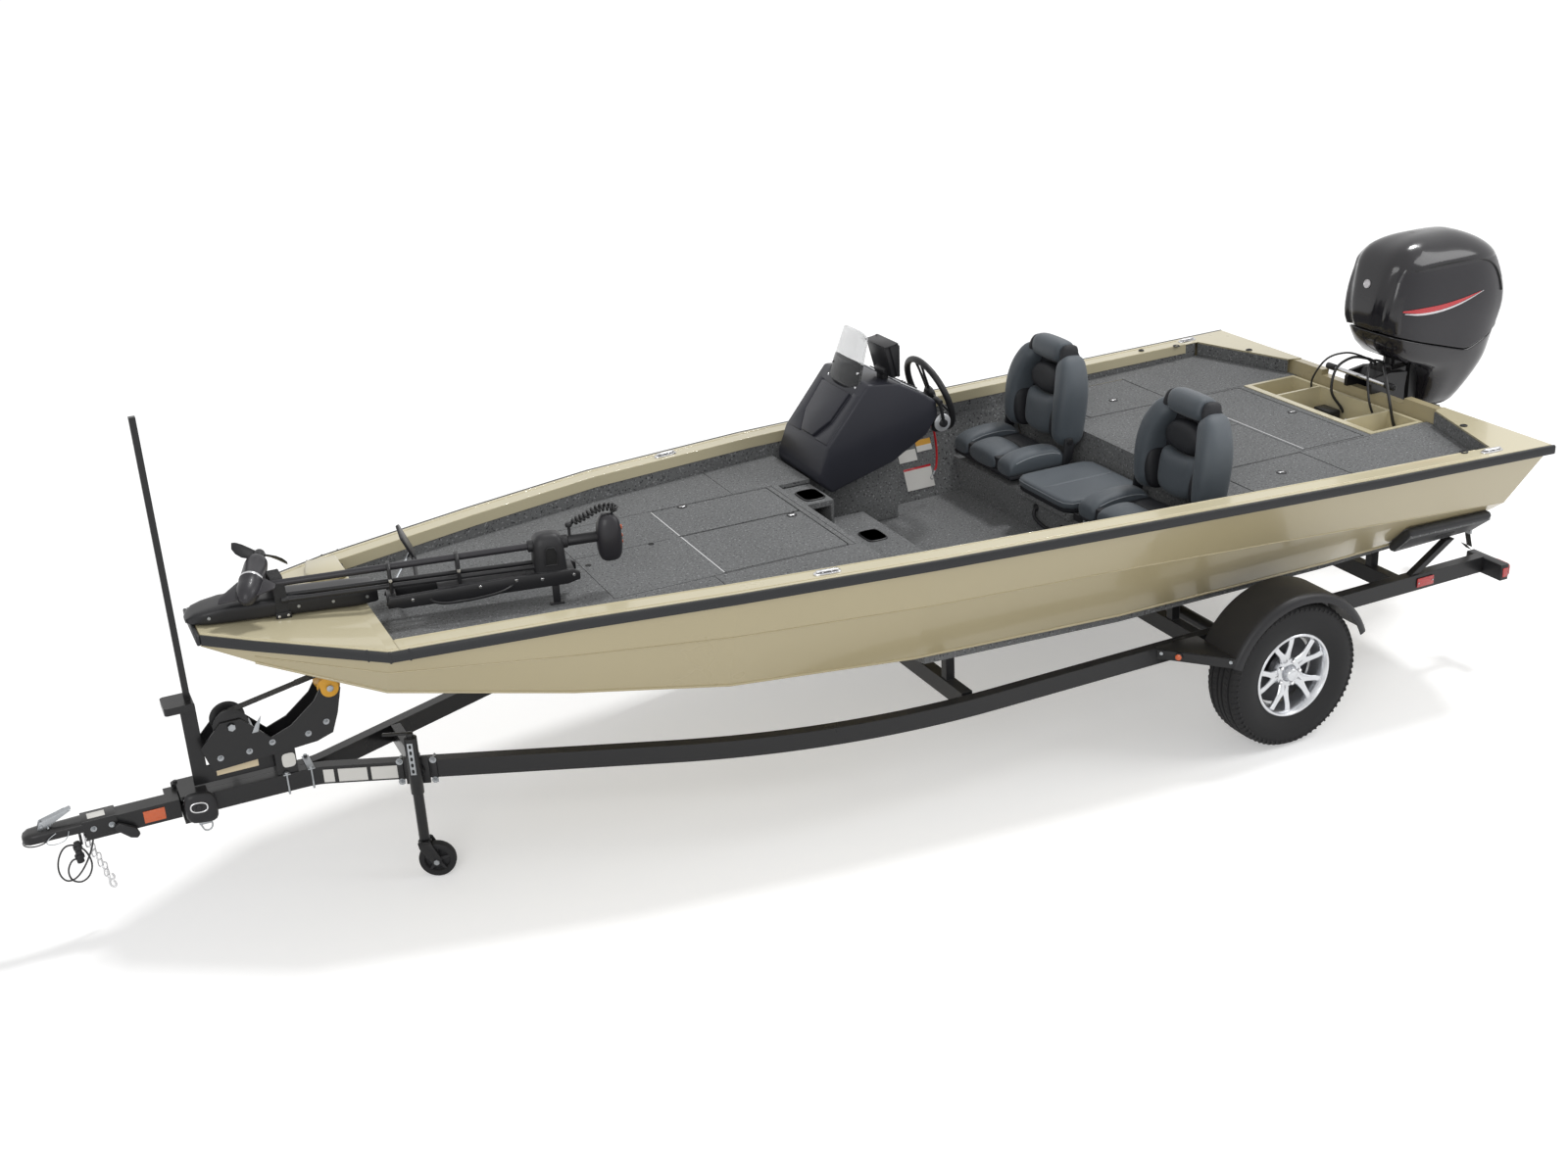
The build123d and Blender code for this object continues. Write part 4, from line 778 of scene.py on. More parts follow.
def buildOutboard():
    bm = bmesh.new()
    levels = outboard["upper"]
    rings = [cowlRing(levels[0], lift, panel=True) for lift in (0.0015, 0.004, 0.014)]
    addLoft(bm, rings + [cowlRing(level, 0.004, panel=True) for level in levels[1:]])
    for face in bm.faces:
        middle = face.calc_center_median()
        station = middle.x - sternX
        inside = outboard["panelAft"] < station < outboard["panelFront"] and middle.z < outboard["panelTop"]
        face.material_index = 1 if inside and abs(middle.y) > 0.12 and abs(face.normal.z) < 0.8 else 0
    newPiece("upperCowl", bm, ["cowlGloss", "cowlSatin"], "motor", levels=1,
             replaces=["upper_cowl"])
    bm = bmesh.new()
    levels = outboard["lower"]
    rings = [cowlRing(levels[0], lift) for lift in (-0.0015, -0.004, -0.014)]
    for level in levels[1:]:
        rings.append(cowlRing(level, -9.0))
    for point in rings[3]:
        point.z = min(point.z, seamHeight(point.x - sternX) - 0.03)
    addLoft(bm, rings)
    newPiece("lowerCowl", bm, ["cowlGloss"], "motor", levels=1, replaces=["lower_cowl"])
    bm = bmesh.new()
    # Near-black strips along the side panels: painted shade of the vent slots
    for side in (1, -1):
        slot = [sidePlace(station, height, side, 0.002) for station, height in ((-0.06, 1.700),
                (-0.15, 1.712), (-0.30, 1.716), (-0.46, 1.706), (-0.56, 1.672), (-0.625, 1.60),
                (-0.645, 1.52))]
        addPipe(bm, slot, 0.006)
    newPiece("cowlVents", bm, ["shadowBlack"], "motor")
    bm = bmesh.new()
    addLathe(bm, [(-0.010, 0.0), (-0.010, 0.021), (0.002, 0.021), (0.003, 0.019), (0.001, 0.017),
                  (0.001, 0.0)], spot(0.063, 0.0, 1.622), (0.98, 0, 0.2), steps=28)
    newPiece("cowlBadge", bm, ["stripeSilver"], "motor")
    bm = bmesh.new()
    stripes = (
        (0, [(0.0, 1.512, 0.004), (-0.10, 1.506, 0.012), (-0.22, 1.508, 0.012), (-0.34, 1.522, 0.008),
             (-0.47, 1.548, 0.001)]),
        (1, [(-0.01, 1.500, 0.002), (-0.10, 1.489, 0.005), (-0.22, 1.490, 0.005), (-0.34, 1.508, 0.004),
             (-0.49, 1.549, 0.001)]),
    )
    for side in (1, -1):
        for finish, line in stripes:
            rows = curveThrough([(station, height, wide) for station, height, wide in line], 5)
            before = set(bm.faces)
            low = [bm.verts.new(sidePlace(row.x, row.y - row.z, side, 0.0022)) for row in rows]
            high = [bm.verts.new(sidePlace(row.x, row.y + row.z, side, 0.0022)) for row in rows]
            edges = [bm.edges.new(pair) for run in (low, high) for pair in zip(run, run[1:])]
            bmesh.ops.bridge_loops(bm, edges=edges)
            paint(bm, before, finish)
    newPiece("cowlStripes", bm, ["stripeRed", "stripeSilver"], "motor", recalc=False)


buildOutboard()
print("outboard cowls made")


# Road wheels: tyre with tread, alloy wheel with five split spokes, nuts and hub
wheelSizes = {
    "station": 1.368,
    "z": 0.333,
    "y": 1.060,
    "tyre": [(-0.0765, 0.181), (-0.0800, 0.186), (-0.0815, 0.196), (-0.0900, 0.212), (-0.0990, 0.238),
             (-0.1020, 0.262), (-0.0985, 0.290), (-0.0930, 0.304), (-0.0940, 0.308), (-0.0900, 0.318),
             (-0.0800, 0.3255), (-0.0600, 0.3285), (-0.0580, 0.3215), (-0.0500, 0.3215), (-0.0480, 0.3300),
             (-0.0200, 0.3320), (-0.0180, 0.3230), (-0.0100, 0.3230), (-0.0080, 0.3325), (0.0, 0.3325)],
    "lugs": 72,
}


def wheelProfile(half):
    return half + [(-along, radius) for along, radius in reversed(half[:-1])]


def buildWheel(side, word):
    sizes = wheelSizes
    centre = spot(sizes["station"], side * sizes["y"], sizes["z"])
    axis = Vector((0, side, 0))
    body = "wheel_" + word
    bm = bmesh.new()
    addLathe(bm, wheelProfile(sizes["tyre"]) + [(0.0765, 0.181), (-0.0765, 0.181)], centre, axis, steps=96)
    for turn in range(sizes["lugs"]):
        spin = Matrix.Rotation(2 * pi * turn / sizes["lugs"], 4, axis)
        for edge in (1, -1):
            before = set(bm.verts)
            tilt = Matrix.Rotation(edge * radians(14), 4, "Z")
            addBox(bm, (-0.0045, -0.0165, -0.0085), (0.0045, 0.0165, 0.0085), turn=tilt)
            fresh = [vert for vert in bm.verts if vert not in before]
            lean = Matrix.Rotation(edge * radians(32), 4, "X")
            place = Matrix.Translation(centre) @ spin @ Matrix.Translation((0, edge * 0.083,
                    0.3140)) @ lean.inverted()
            bmesh.ops.transform(bm, matrix=place, verts=fresh)
            middle = set(bm.verts)
            addBox(bm, (-0.0035, -0.012, -0.006), (0.0035, 0.012, 0.0045),
                   turn=Matrix.Rotation(edge * radians(-20), 4, "Z"))
            fresh = [vert for vert in bm.verts if vert not in middle]
            bmesh.ops.transform(bm, matrix=Matrix.Translation(centre) @ spin @ Matrix.Translation((0.006,
                    edge * 0.034, 0.3275)), verts=fresh)
    newPiece("tyre." + word, bm, ["tyreRubber"], body, smooth=30, replaces=["tyre_" + word])
    bm = bmesh.new()
    barrel = [(-0.083, 0.172), (-0.083, 0.191), (-0.077, 0.193), (-0.074, 0.181), (0.074, 0.181),
              (0.077, 0.1935), (0.083, 0.1925), (0.087, 0.187), (0.085, 0.181), (0.078, 0.177),
              (0.062, 0.169), (0.030, 0.163), (-0.05, 0.163), (-0.083, 0.172)]
    addLathe(bm, barrel, centre, axis, steps=72)
    # Dark disc behind the spokes: painted shade in the wheel's pocket
    addLathe(bm, [(-0.02, 0.0), (-0.02, 0.150), (-0.012, 0.158), (-0.012, 0.0)], centre, axis, finish=1,
             steps=40)
    addLathe(bm, [(0.0, 0.0), (0.0, 0.074), (0.040, 0.070), (0.052, 0.062), (0.054, 0.040), (0.046, 0.034),
                  (0.046, 0.0)], centre, axis, steps=40)
    for spoke in range(5):
        heading = 2 * pi * spoke / 5 + radians(90)
        for arm in (1, -1):
            rings = []
            for reach, spread, wide, out, deep in ((0.046, 0.000, 0.030, 0.050, 0.022),
                    (0.080, 0.005, 0.024, 0.058, 0.022), (0.110, 0.021, 0.0155, 0.064, 0.018),
                    (0.140, 0.036, 0.0140, 0.068, 0.016), (0.174, 0.049, 0.0150, 0.070, 0.015)):
                turned = Matrix.Rotation(heading, 4, "Y")
                point = Vector((arm * spread, side * (out - deep / 2), reach))
                across, outward = Vector((1, 0, 0)), Vector((0, side, 0))
                ring = roundRect(point, across, outward, wide, deep / 2, power=3.0, count=12)
                rings.append([centre + turned @ vert for vert in ring])
            addLoft(bm, rings)
        turned = Matrix.Rotation(heading + pi / 5, 4, "Y")
        bolt = centre + turned @ Vector((0, side * 0.047, 0.054))
        addRod(bm, bolt - axis * 0.01, bolt + axis * 0.012, 0.0105, finish=2, segments=6)
        addRod(bm, bolt + axis * 0.012, bolt + axis * 0.017, 0.0085, finish=2, segments=12, endRadius=0.004)
    addLathe(bm, [(0.044, 0.034), (0.056, 0.033), (0.074, 0.031), (0.080, 0.026), (0.078, 0.020),
                  (0.080, 0.016), (0.081, 0.0)], centre, axis, steps=32)
    finishList = ["wheelAlloy", "wheelPocketShade", "brightSteel", "blackPlastic"]
    newPiece("alloyWheel." + word, bm, finishList, body, smooth=40, replaces=["rim_" + word],
             bevel=0.0012)


buildWheel(1, "left")
buildWheel(-1, "right")
print("wheels made")


# Fenders: arched guard with a rolled outer lip, the step plate ahead of it and its round amber marker
fenderSizes = {
    "middle": 1.352,
    "radius": 0.380,
    "ends": (19.0, 159.0),
    "inner": 0.940,
    "outer": 1.170,
    "wall": 0.005,
    "lip": 0.040,
    "stepTop": 0.500,
    "stepLip": 0.046,
    "stepFore": (1.915, 0.905),
    "stepAft": (1.698, 1.158),
    "markerShare": 0.28,
}


def buildFender(side):
    sizes = fenderSizes
    word = "left" if side > 0 else "right"
    low, high, wall, lip = sizes["inner"], sizes["outer"], sizes["wall"], sizes["lip"]
    section = [(low, 0), (high - 0.030, 0), (high - 0.012, 0.003), (high - 0.003, 0.012), (high, 0.024),
               (high, lip), (high - wall, lip), (high - wall, 0.026), (high - 0.012, 0.014),
               (high - 0.030, wall), (low, wall)]
    bm = bmesh.new()
    rings = []
    first, last = sizes["ends"]
    for step in range(41):
        angle = radians(first + (last - first) * step / 40)
        heading = Vector((cos(angle), 0, sin(angle)))
        middle = spot(sizes["middle"], 0, wheelSizes["z"])
        rings.append([middle + heading * (sizes["radius"] - depth) + Vector((0, side * y, 0))
                      for y, depth in section])
    addLoft(bm, rings)
    (foreX, foreY), (aftX, aftY) = sizes["stepFore"], sizes["stepAft"]
    top, deep = sizes["stepTop"], sizes["stepLip"]
    run = Vector((aftX - foreX, side * (aftY - foreY), 0)).normalized()
    out = Vector((run.y * side, -run.x * side, 0))
    tread = [(1.690, 0.884), (foreX, 0.884), (foreX, foreY), (aftX, aftY), (1.690, aftY)]
    addPlate(bm, [spot(x, side * y, top) for x, y in tread], (0, 0, -0.006), finish=1, rounding=0.001)
    edge = [spot(foreX, side * foreY, top), spot(aftX, side * aftY, top)]
    addPlate(bm, [edge[0], edge[1], edge[1] - Vector((0, 0, deep)), edge[0] - Vector((0, 0, deep))],
             -out * 0.005, finish=1, rounding=0.001)
    addSideBox(bm, side, (1.742, 1.798), (0.858, 0.888), (0.455, 0.497), 0.003, finish=1)
    addSideBox(bm, side, (0.986, 1.014), (0.874, 0.944), (0.463, 0.479), 0.003, finish=1)
    for along in (0.06, 0.94):
        bolt = edge[0].lerp(edge[1], along) - Vector((0, 0, 0.016)) + out * 0.001
        addRod(bm, bolt - out * 0.004, bolt + out * 0.006, 0.008, finish=2, segments=6)
    newPiece("fender." + word, bm, ["blackPlastic", "framePaint", "zincSteel"], "frame",
             smooth=50, replaces=["fenders"] if side > 0 else ())
    bm = bmesh.new()
    face = edge[0].lerp(edge[1], sizes["markerShare"]) - Vector((0, 0, deep / 2)) + out * 0.0003
    addLathe(bm, [(0.0, 0.0), (0.0, 0.0175), (0.006, 0.0175), (0.007, 0.014), (0.007, 0.0)], face, out,
             finish=1, steps=28)
    addLathe(bm, [(0.005, 0.0), (0.005, 0.0142), (0.010, 0.0130), (0.0128, 0.008), (0.0132, 0.0)], face,
             out, steps=28)
    newPiece("sideMarker." + word, bm, ["lampAmber", "blackPlastic"], "frame")


buildFender(1)
buildFender(-1)
print("fenders made")


# Seats: backs of separate padded forms on a black shell, cushions with side bolsters
seatSizes = {
    "middle": 0.540,
    "pivot": (1.574, 1.030),
    "lean": radians(8),
    "wing": [(-0.040, 0.205, 0.044, 0.040), (0.04, 0.207, 0.050, 0.052), (0.12, 0.210, 0.054, 0.060),
             (0.20, 0.206, 0.057, 0.060), (0.27, 0.190, 0.058, 0.052), (0.335, 0.158, 0.054, 0.036),
             (0.385, 0.122, 0.040, 0.012)],
}


def backSpot(side, across, up, out):
    lean = seatSizes["lean"]
    station = seatSizes["pivot"][0] - up * sin(lean) + out * cos(lean)
    return spot(station, side * seatSizes["middle"] + across,
                seatSizes["pivot"][1] + up * cos(lean) + out * sin(lean))


def addBackPad(bm, side, outline, base, height, rounding, finish=0):
    # Padded panel on the front of the seat back
    before = set(bm.faces)
    lift = backSpot(side, 0, 0, height * 0.55) - backSpot(side, 0, 0, 0)
    top = raiseFace(bm, [backSpot(side, across, up, base) for across, up in outline], lift)[0]
    for share, rise in ((0.45, 0.30), (0.9, 0.12), (1.2, 0.03)):
        bmesh.ops.inset_region(bm, faces=top, thickness=rounding * share, depth=height * rise,
                               use_even_offset=True)
    paint(bm, before, finish)


def buildSeatBack(side, word):
    bm = bmesh.new()
    sizes = seatSizes
    rear = -0.098
    origin = backSpot(side, 0, 0, 0)
    sideways, upward, outward = (backSpot(side, *step) - origin for step in ((1, 0, 0), (0, 1, 0), (0, 0, 1)))
    for edge in (1, -1):
        rings = []
        wing = curveThrough([(row[1], row[0], row[2]) for row in sizes["wing"]], 2)
        fronts = [(row[0], row[3] + 0.010) for row in sizes["wing"]]
        for index, point in enumerate(wing):
            along = wing[min(index + 1, len(wing) - 1)] - wing[max(index - 1, 0)]
            along = Vector((along.x, along.y, 0)).normalized()
            front = between(fronts, point.y)
            shrink = 0.55 if index in (0, len(wing) - 1) else 1.0
            across = backSpot(side, edge * along.y, -along.x, 0) - origin
            middle = backSpot(side, edge * point.x, point.y, (front + rear) / 2)
            rings.append(roundRect(middle, across, outward, point.z * shrink, (front - rear) / 2 * shrink,
                                   power=3.2, count=20))
        addLoft(bm, rings)
    addBackPad(bm, side, [(-0.122, -0.03), (0.122, -0.03), (0.132, 0.06), (0.134, 0.20), (0.07, 0.178),
                          (0.0, 0.170), (-0.07, 0.178), (-0.134, 0.20), (-0.132, 0.06)], -0.06, 0.088,
               0.024)
    rings = []
    for across, shrink in ((-0.116, 0.62), (-0.108, 0.90), (-0.085, 1.0), (0.0, 1.03), (0.085, 1.0),
                           (0.108, 0.90), (0.116, 0.62)):
        place = backSpot(side, across, 0.395, -0.022)
        rings.append(roundRect(place, outward, upward, 0.058 * shrink, 0.056 * shrink, power=2.6, count=20))
    addLoft(bm, rings)
    newPiece("seatBackPads." + word, bm, ["seatGrey"], "seat_back_" + word, levels=2,
             replaces=["seat_back_" + word])
    bm = bmesh.new()
    addBackPad(bm, side, [(-0.118, 0.330), (-0.134, 0.204), (-0.07, 0.182), (0.0, 0.174), (0.07, 0.182),
                          (0.134, 0.204), (0.118, 0.330)], -0.06, 0.080, 0.022)
    shell = [(-0.215, -0.045), (0.215, -0.045), (0.236, 0.20), (0.196, 0.32), (0.135, 0.40), (0.09, 0.430),
             (-0.09, 0.430), (-0.135, 0.40), (-0.196, 0.32), (-0.236, 0.20)]
    addBackPad(bm, side, shell, -0.103, 0.066, 0.02)
    # Side bolsters and head corners: height, across, half width and front, then how far back and how deep
    bolsters = (
        (((-0.030, 0.150, 0.022, 0.022), (0.03, 0.156, 0.028, 0.050), (0.10, 0.160, 0.026, 0.056),
          (0.165, 0.160, 0.014, 0.040)), 0.03, 0.03),
        (((0.310, 0.146, 0.016, 0.012), (0.345, 0.138, 0.024, 0.026), (0.395, 0.132, 0.024, 0.026),
          (0.440, 0.124, 0.016, 0.010)), 0.038, 0.036),
    )
    for edge in (1, -1):
        for rows, back, deep in bolsters:
            addLoft(bm, [roundRect(backSpot(side, edge * across, up, front / 2 - back), sideways, outward,
                                   wide, front / 2 + deep, power=3, count=16)
                         for up, across, wide, front in rows])
    newPiece("seatBackShell." + word, bm, ["seatBlack"], "seat_back_" + word, levels=2)


buildSeatBack(1, "left")
buildSeatBack(-1, "right")
print("seat backs made")


# Seat cushions: two long side rolls, a grey front pad and a black rear pad on a black base
cushionSizes = {
    "rollY": 0.199,
    "roll": [(1.594, 0.50, 0.960), (1.604, 0.82, 0.990), (1.64, 1.0, 1.014), (1.72, 1.0, 1.019),
             (1.80, 1.0, 1.016), (1.86, 1.0, 1.004), (1.893, 0.90, 0.984), (1.908, 0.60, 0.960)],
    "rollHalf": 0.063,
    "front": [(1.738, 0.80, 0.985), (1.746, 0.96, 1.000), (1.79, 1.0, 1.008), (1.85, 1.0, 1.004),
              (1.895, 0.96, 0.988), (1.909, 0.70, 0.960)],
    "rear": [(1.600, 0.80, 0.960), (1.612, 0.97, 0.984), (1.66, 1.0, 0.992), (1.715, 0.97, 0.990),
             (1.731, 0.80, 0.975)],
    "padHalf": 0.119,
    "base": 0.902,
}


def addPadRun(bm, table, middleY, half, finish=0):
    # Padded form that runs fore and aft: station, share of its width, top height
    rings = []
    for station, share, top in table:
        base = cushionSizes["base"] + (1 - share) * 0.02
        centre = spot(station, middleY, (top + base) / 2)
        rings.append(roundRect(centre, (0, 1, 0), (0, 0, 1), half * (0.86 + 0.14 * share), (top - base) / 2,
                               power=3.4, count=20))
    addLoft(bm, rings, finish)


def buildCushion(side, word):
    sizes = cushionSizes
    middle = side * seatSizes["middle"]
    bm = bmesh.new()
    for edge in (1, -1):
        addPadRun(bm, sizes["roll"], middle + edge * sizes["rollY"], sizes["rollHalf"])
    addPadRun(bm, sizes["front"], middle, sizes["padHalf"])
    newPiece("cushionPads." + word, bm, ["seatGrey"], "frame", levels=2,
             replaces=["seat_bottoms"] if side > 0 else ())
    bm = bmesh.new()
    addPadRun(bm, sizes["rear"], middle, sizes["padHalf"])
    newPiece("cushionRear." + word, bm, ["seatBlack"], "frame", levels=2)
    bm = bmesh.new()
    addBox(bm, spot(1.600, middle - 0.258, 0.893), spot(1.904, middle + 0.258, 0.914), 0.008)
    addBox(bm, spot(1.605, middle - 0.139, 0.905), spot(1.896, middle + 0.139, 0.975), 0.010)
    addBox(bm, spot(1.602, middle - 0.178, 0.856), spot(1.848, middle + 0.178, 0.893), 0.006)
    for edge in (1, -1):
        low, high = sorted((middle + edge * 0.257, middle + edge * 0.2668))
        addPlate(bm, upright(low, ((1.548, 1.010), (1.560, 0.940), (1.600, 0.902), (1.612, 0.902),
                                   (1.612, 0.940), (1.600, 1.048), (1.560, 1.048))), (0, high - low, 0),
                 rounding=0.003)
        pivot = spot(seatSizes["pivot"][0], middle + edge * 0.2668, seatSizes["pivot"][1])
        addRod(bm, pivot - Vector((0, edge * 0.004, 0)), pivot + Vector((0, edge * 0.004, 0)), 0.016,
               finish=1, segments=24, rounding=0.0015)
    newPiece("cushionBase." + word, bm, ["seatBlack", "blackPlastic"], "frame", smooth=40)
    bm = bmesh.new()
    tops = [(row[0], row[2]) for row in sizes["roll"]]
    for edge in (1, -1):
        for offset, drop in ((-0.0595, 0.022), (0.0595, 0.026)):
            y = middle + edge * (sizes["rollY"] + offset)
            seam = [spot(x, y, between(tops, x) - drop) for x in (1.625, 1.66, 1.72, 1.78, 1.83, 1.868)]
            addPipe(bm, seam, 0.0024, around=6)
    newPiece("cushionPiping." + word, bm, ["seatPiping"], "frame")


buildCushion(1, "left")
buildCushion(-1, "right")


# Cushioned lid of the box between the seats
lidSizes = {
    "middle": (1.708, 0.0),
    "half": (0.211, 0.221),
    "layers": [(0.908, 0.985), (0.914, 1.0), (0.934, 1.0), (0.945, 0.972), (0.9485, 0.90), (0.9495, 0.60)],
    "band": [(0.8865, 0.97), (0.890, 0.985), (0.9065, 0.985), (0.908, 0.97)],
}


def buildLid():
    sizes = lidSizes
    (station, y), (long, wide) = sizes["middle"], sizes["half"]
    for name, key, finish, piping in (("lidPad", "layers", "seatGrey", True),
                                      ("lidBand", "band", "seatBlack", False)):
        bm = bmesh.new()
        addLoft(bm, [roundRect(spot(station, y, z), (1, 0, 0), (0, 1, 0), long * share, wide * share,
                               power=9.0, count=40) for z, share in sizes[key]])
        newPiece(name, bm, [finish], "centre_lid", smooth=60, replaces=["centre_cushion"]
                 if piping else ())
    bm = bmesh.new()
    for offset in (-0.004, 0.004):
        addPipe(bm, [spot(station + x, y + offset, 0.9500) for x in (-0.19, -0.1, 0.0, 0.1, 0.19)], 0.0009,
                around=6)
    ring = roundRect(spot(station, y, 0.9335), (1, 0, 0), (0, 1, 0), long * 0.995, wide * 0.995, power=9.0,
                     count=40)
    addPipe(bm, ring + ring[:1], 0.0024, around=6, curved=False)
    newPiece("lidStitching", bm, ["seatPiping"], "centre_lid")


buildLid()
print("cushions made")


# Helm console: folded body, raised shield, silver dash, control box, display, windscreen and wheel
consoleSizes = {
    "gauge": 0.026,
    "screenWall": 0.005,
    "line": [(2.862, 1.053), (2.800, 0.991), (2.480, 1.080), (2.300, 1.180), (2.240, 1.260), (2.245, 1.330),
             (2.300, 1.370), (2.440, 1.450), (2.600, 1.470), (2.815, 1.210), (2.862, 1.090)],
    "port": -0.362,
    "far": -0.800,
    "middle": -0.575,
    "shieldFoot": (2.790, 1.2402),
    "shieldHead": (2.622, 1.4434),
    "shield": [(-0.058, -0.024), (0.058, -0.024), (0.120, 0.070), (0.133, 0.226), (-0.133, 0.226),
               (-0.120, 0.070)],
    "shieldThick": 0.016,
    "screenFoot": (2.637, 1.424),
    "screenHead": (2.560, 1.682),
    "screenHalf": (0.152, 0.118),
    "helm": (2.160, -0.580, 1.300),
    "helmTilt": radians(20),
    "helmRing": (0.180, 0.0155),
}


def buildConsole():
    sizes = consoleSizes
    bm = bmesh.new()
    addPlate(bm, [spot(x, sizes["port"], z) for x, z in sizes["line"]],
             (0, sizes["far"] - sizes["port"], 0), rounding=0.013)
    lean = atan2(sizes["shieldFoot"][0] - sizes["shieldHead"][0],
                 sizes["shieldHead"][1] - sizes["shieldFoot"][1])
    upSlope, outward = Vector((-sin(lean), 0, cos(lean))), Vector((cos(lean), 0, sin(lean)))
    foot = spot(sizes["shieldFoot"][0], sizes["middle"], sizes["shieldFoot"][1])
    addPlate(bm, [foot + Vector((0, y, 0)) + upSlope * up - outward * 0.004 for y, up in sizes["shield"]],
             outward * (sizes["shieldThick"] + 0.004), rounding=0.006)
    for edge in (1, -1):
        panel = [(edge * 0.074, -0.030), (edge * 0.196, -0.030), (edge * 0.196, 0.236),
                 (edge * 0.150, 0.236), (edge * 0.138, 0.066)]
        addPlate(bm, [foot + Vector((0, y, 0)) + upSlope * up - outward * 0.004 for y, up in panel],
                 outward * 0.009, rounding=0.004)
    slope = Vector((0.140, 0, 0.080)).normalized()
    upward = Vector((-slope.z, 0, slope.x))
    start = spot(2.312, 0, 1.3775)
    addPlate(bm, [start + slope * along + Vector((0, y, 0)) + upward * 0.001
                  for along, y in ((0, -0.385), (0.128, -0.380), (0.128, -0.785), (0, -0.785))],
             upward * 0.005, finish=1, rounding=0.0015)
    radius = sizes["gauge"]
    for y in (-0.43, -0.50, -0.66, -0.73):
        centre = start + slope * 0.070 + Vector((0, y, 0)) + upward * 0.005
        addLathe(bm, [(0.0, 0.0), (0.0, radius), (0.005, radius), (0.006, radius - 0.003),
                      (0.003, radius - 0.005), (0.003, 0.0)], centre, upward, finish=2, steps=32)
        addRod(bm, centre + upward * 0.003, centre + upward * 0.0045, radius * 0.78, finish=3, segments=28)
    for index in range(6):
        centre = start + slope * 0.020 + Vector((0, -0.42 - index * 0.026, 0)) + upward * 0.006
        addBox(bm, centre - Vector((0.008, 0.005, 0.003)), centre + Vector((0.008, 0.005, 0.005)), 0.0015,
               finish=2)
    newPiece("consoleBody", bm, ["consolePlastic", "dashSilver", "blackPlastic", "blankLabel"], "frame",
             smooth=42, replaces=["console"])
    bm = bmesh.new()
    addBox(bm, spot(2.332, -0.719, 0.701), spot(2.848, -0.601, 1.01), 0.006)
    newPiece("consolePedestal", bm, ["deckCarpet"], "frame")
    bm = bmesh.new()
    addBox(bm, spot(2.176, -0.412, 1.176), spot(2.256, -0.372, 1.264), 0.012)
    addLathe(bm, [(0.0, 0.0), (0.0, 0.042), (0.004, 0.042), (0.006, 0.038), (0.006, 0.0)],
             spot(2.214, -0.372, 1.220), (0, 1, 0), finish=1, steps=36)
    addLathe(bm, [(0.004, 0.0), (0.004, 0.020), (0.020, 0.018), (0.022, 0.012), (0.022, 0.0)],
             spot(2.214, -0.372, 1.220), (0, 1, 0), steps=28)
    addRod(bm, spot(2.214, -0.356, 1.222), spot(2.236, -0.352, 1.330), 0.008, segments=16, rounding=0.002)
    addRod(bm, spot(2.236, -0.344, 1.326), spot(2.236, -0.398, 1.334), 0.013, segments=20, rounding=0.005)
    newPiece("throttleControl", bm, ["blackPlastic", "dashSilver"], "frame", smooth=40)


def screenHalfAt(share):
    foot, head = consoleSizes["screenHalf"]
    return foot + (head - foot) * share


def buildScreen():
    sizes = consoleSizes
    (footX, footZ), (headX, headZ) = sizes["screenFoot"], sizes["screenHead"]
    panes = (("screenClear", 0.50, 1.0, "screenSmoke"), ("screenTint", 0.0, 0.50, "screenTint"))
    for name, first, last, finish in panes:
        bm = bmesh.new()
        rows = []
        for up in range(9):
            share = first + (last - first) * up / 8
            half = screenHalfAt(share)
            row = []
            for across in range(17):
                v = across / 8 - 1
                sag = 0.018 * v * v
                drop = 0.030 * v**4 * share
                x, z = footX + (headX - footX) * share - sag, footZ + (headZ - footZ) * share - drop
                row.append(bm.verts.new(spot(x, sizes["middle"] + v * half, z)))
            rows.append(row)
        for low, high in zip(rows, rows[1:]):
            edges = [bm.edges.get(pair) or bm.edges.new(pair) for run in (low, high)
                     for pair in zip(run, run[1:])]
            bmesh.ops.bridge_loops(bm, edges=edges)
        stood = ["windscreen"] if first else ()
        piece = newPiece(name, bm, [finish], "frame", replaces=stood, smooth=60)
        wall = piece.modifiers.new("wall", "SOLIDIFY")
        wall.thickness = sizes["screenWall"]
        wall.offset = 0
    bm = bmesh.new()
    for side in (1, -1):
        for share in (0.06, 0.30):
            half = screenHalfAt(share) - 0.018
            point = spot(footX + (headX - footX) * share - 0.013, sizes["middle"] + side * half,
                         footZ + (headZ - footZ) * share)
            addRod(bm, point - Vector((0.004, 0, 0)), point + Vector((0.007, 0, 0.002)), 0.006, segments=12,
                   rounding=0.001)
    newPiece("screenScrews", bm, ["brightSteel"], "frame")


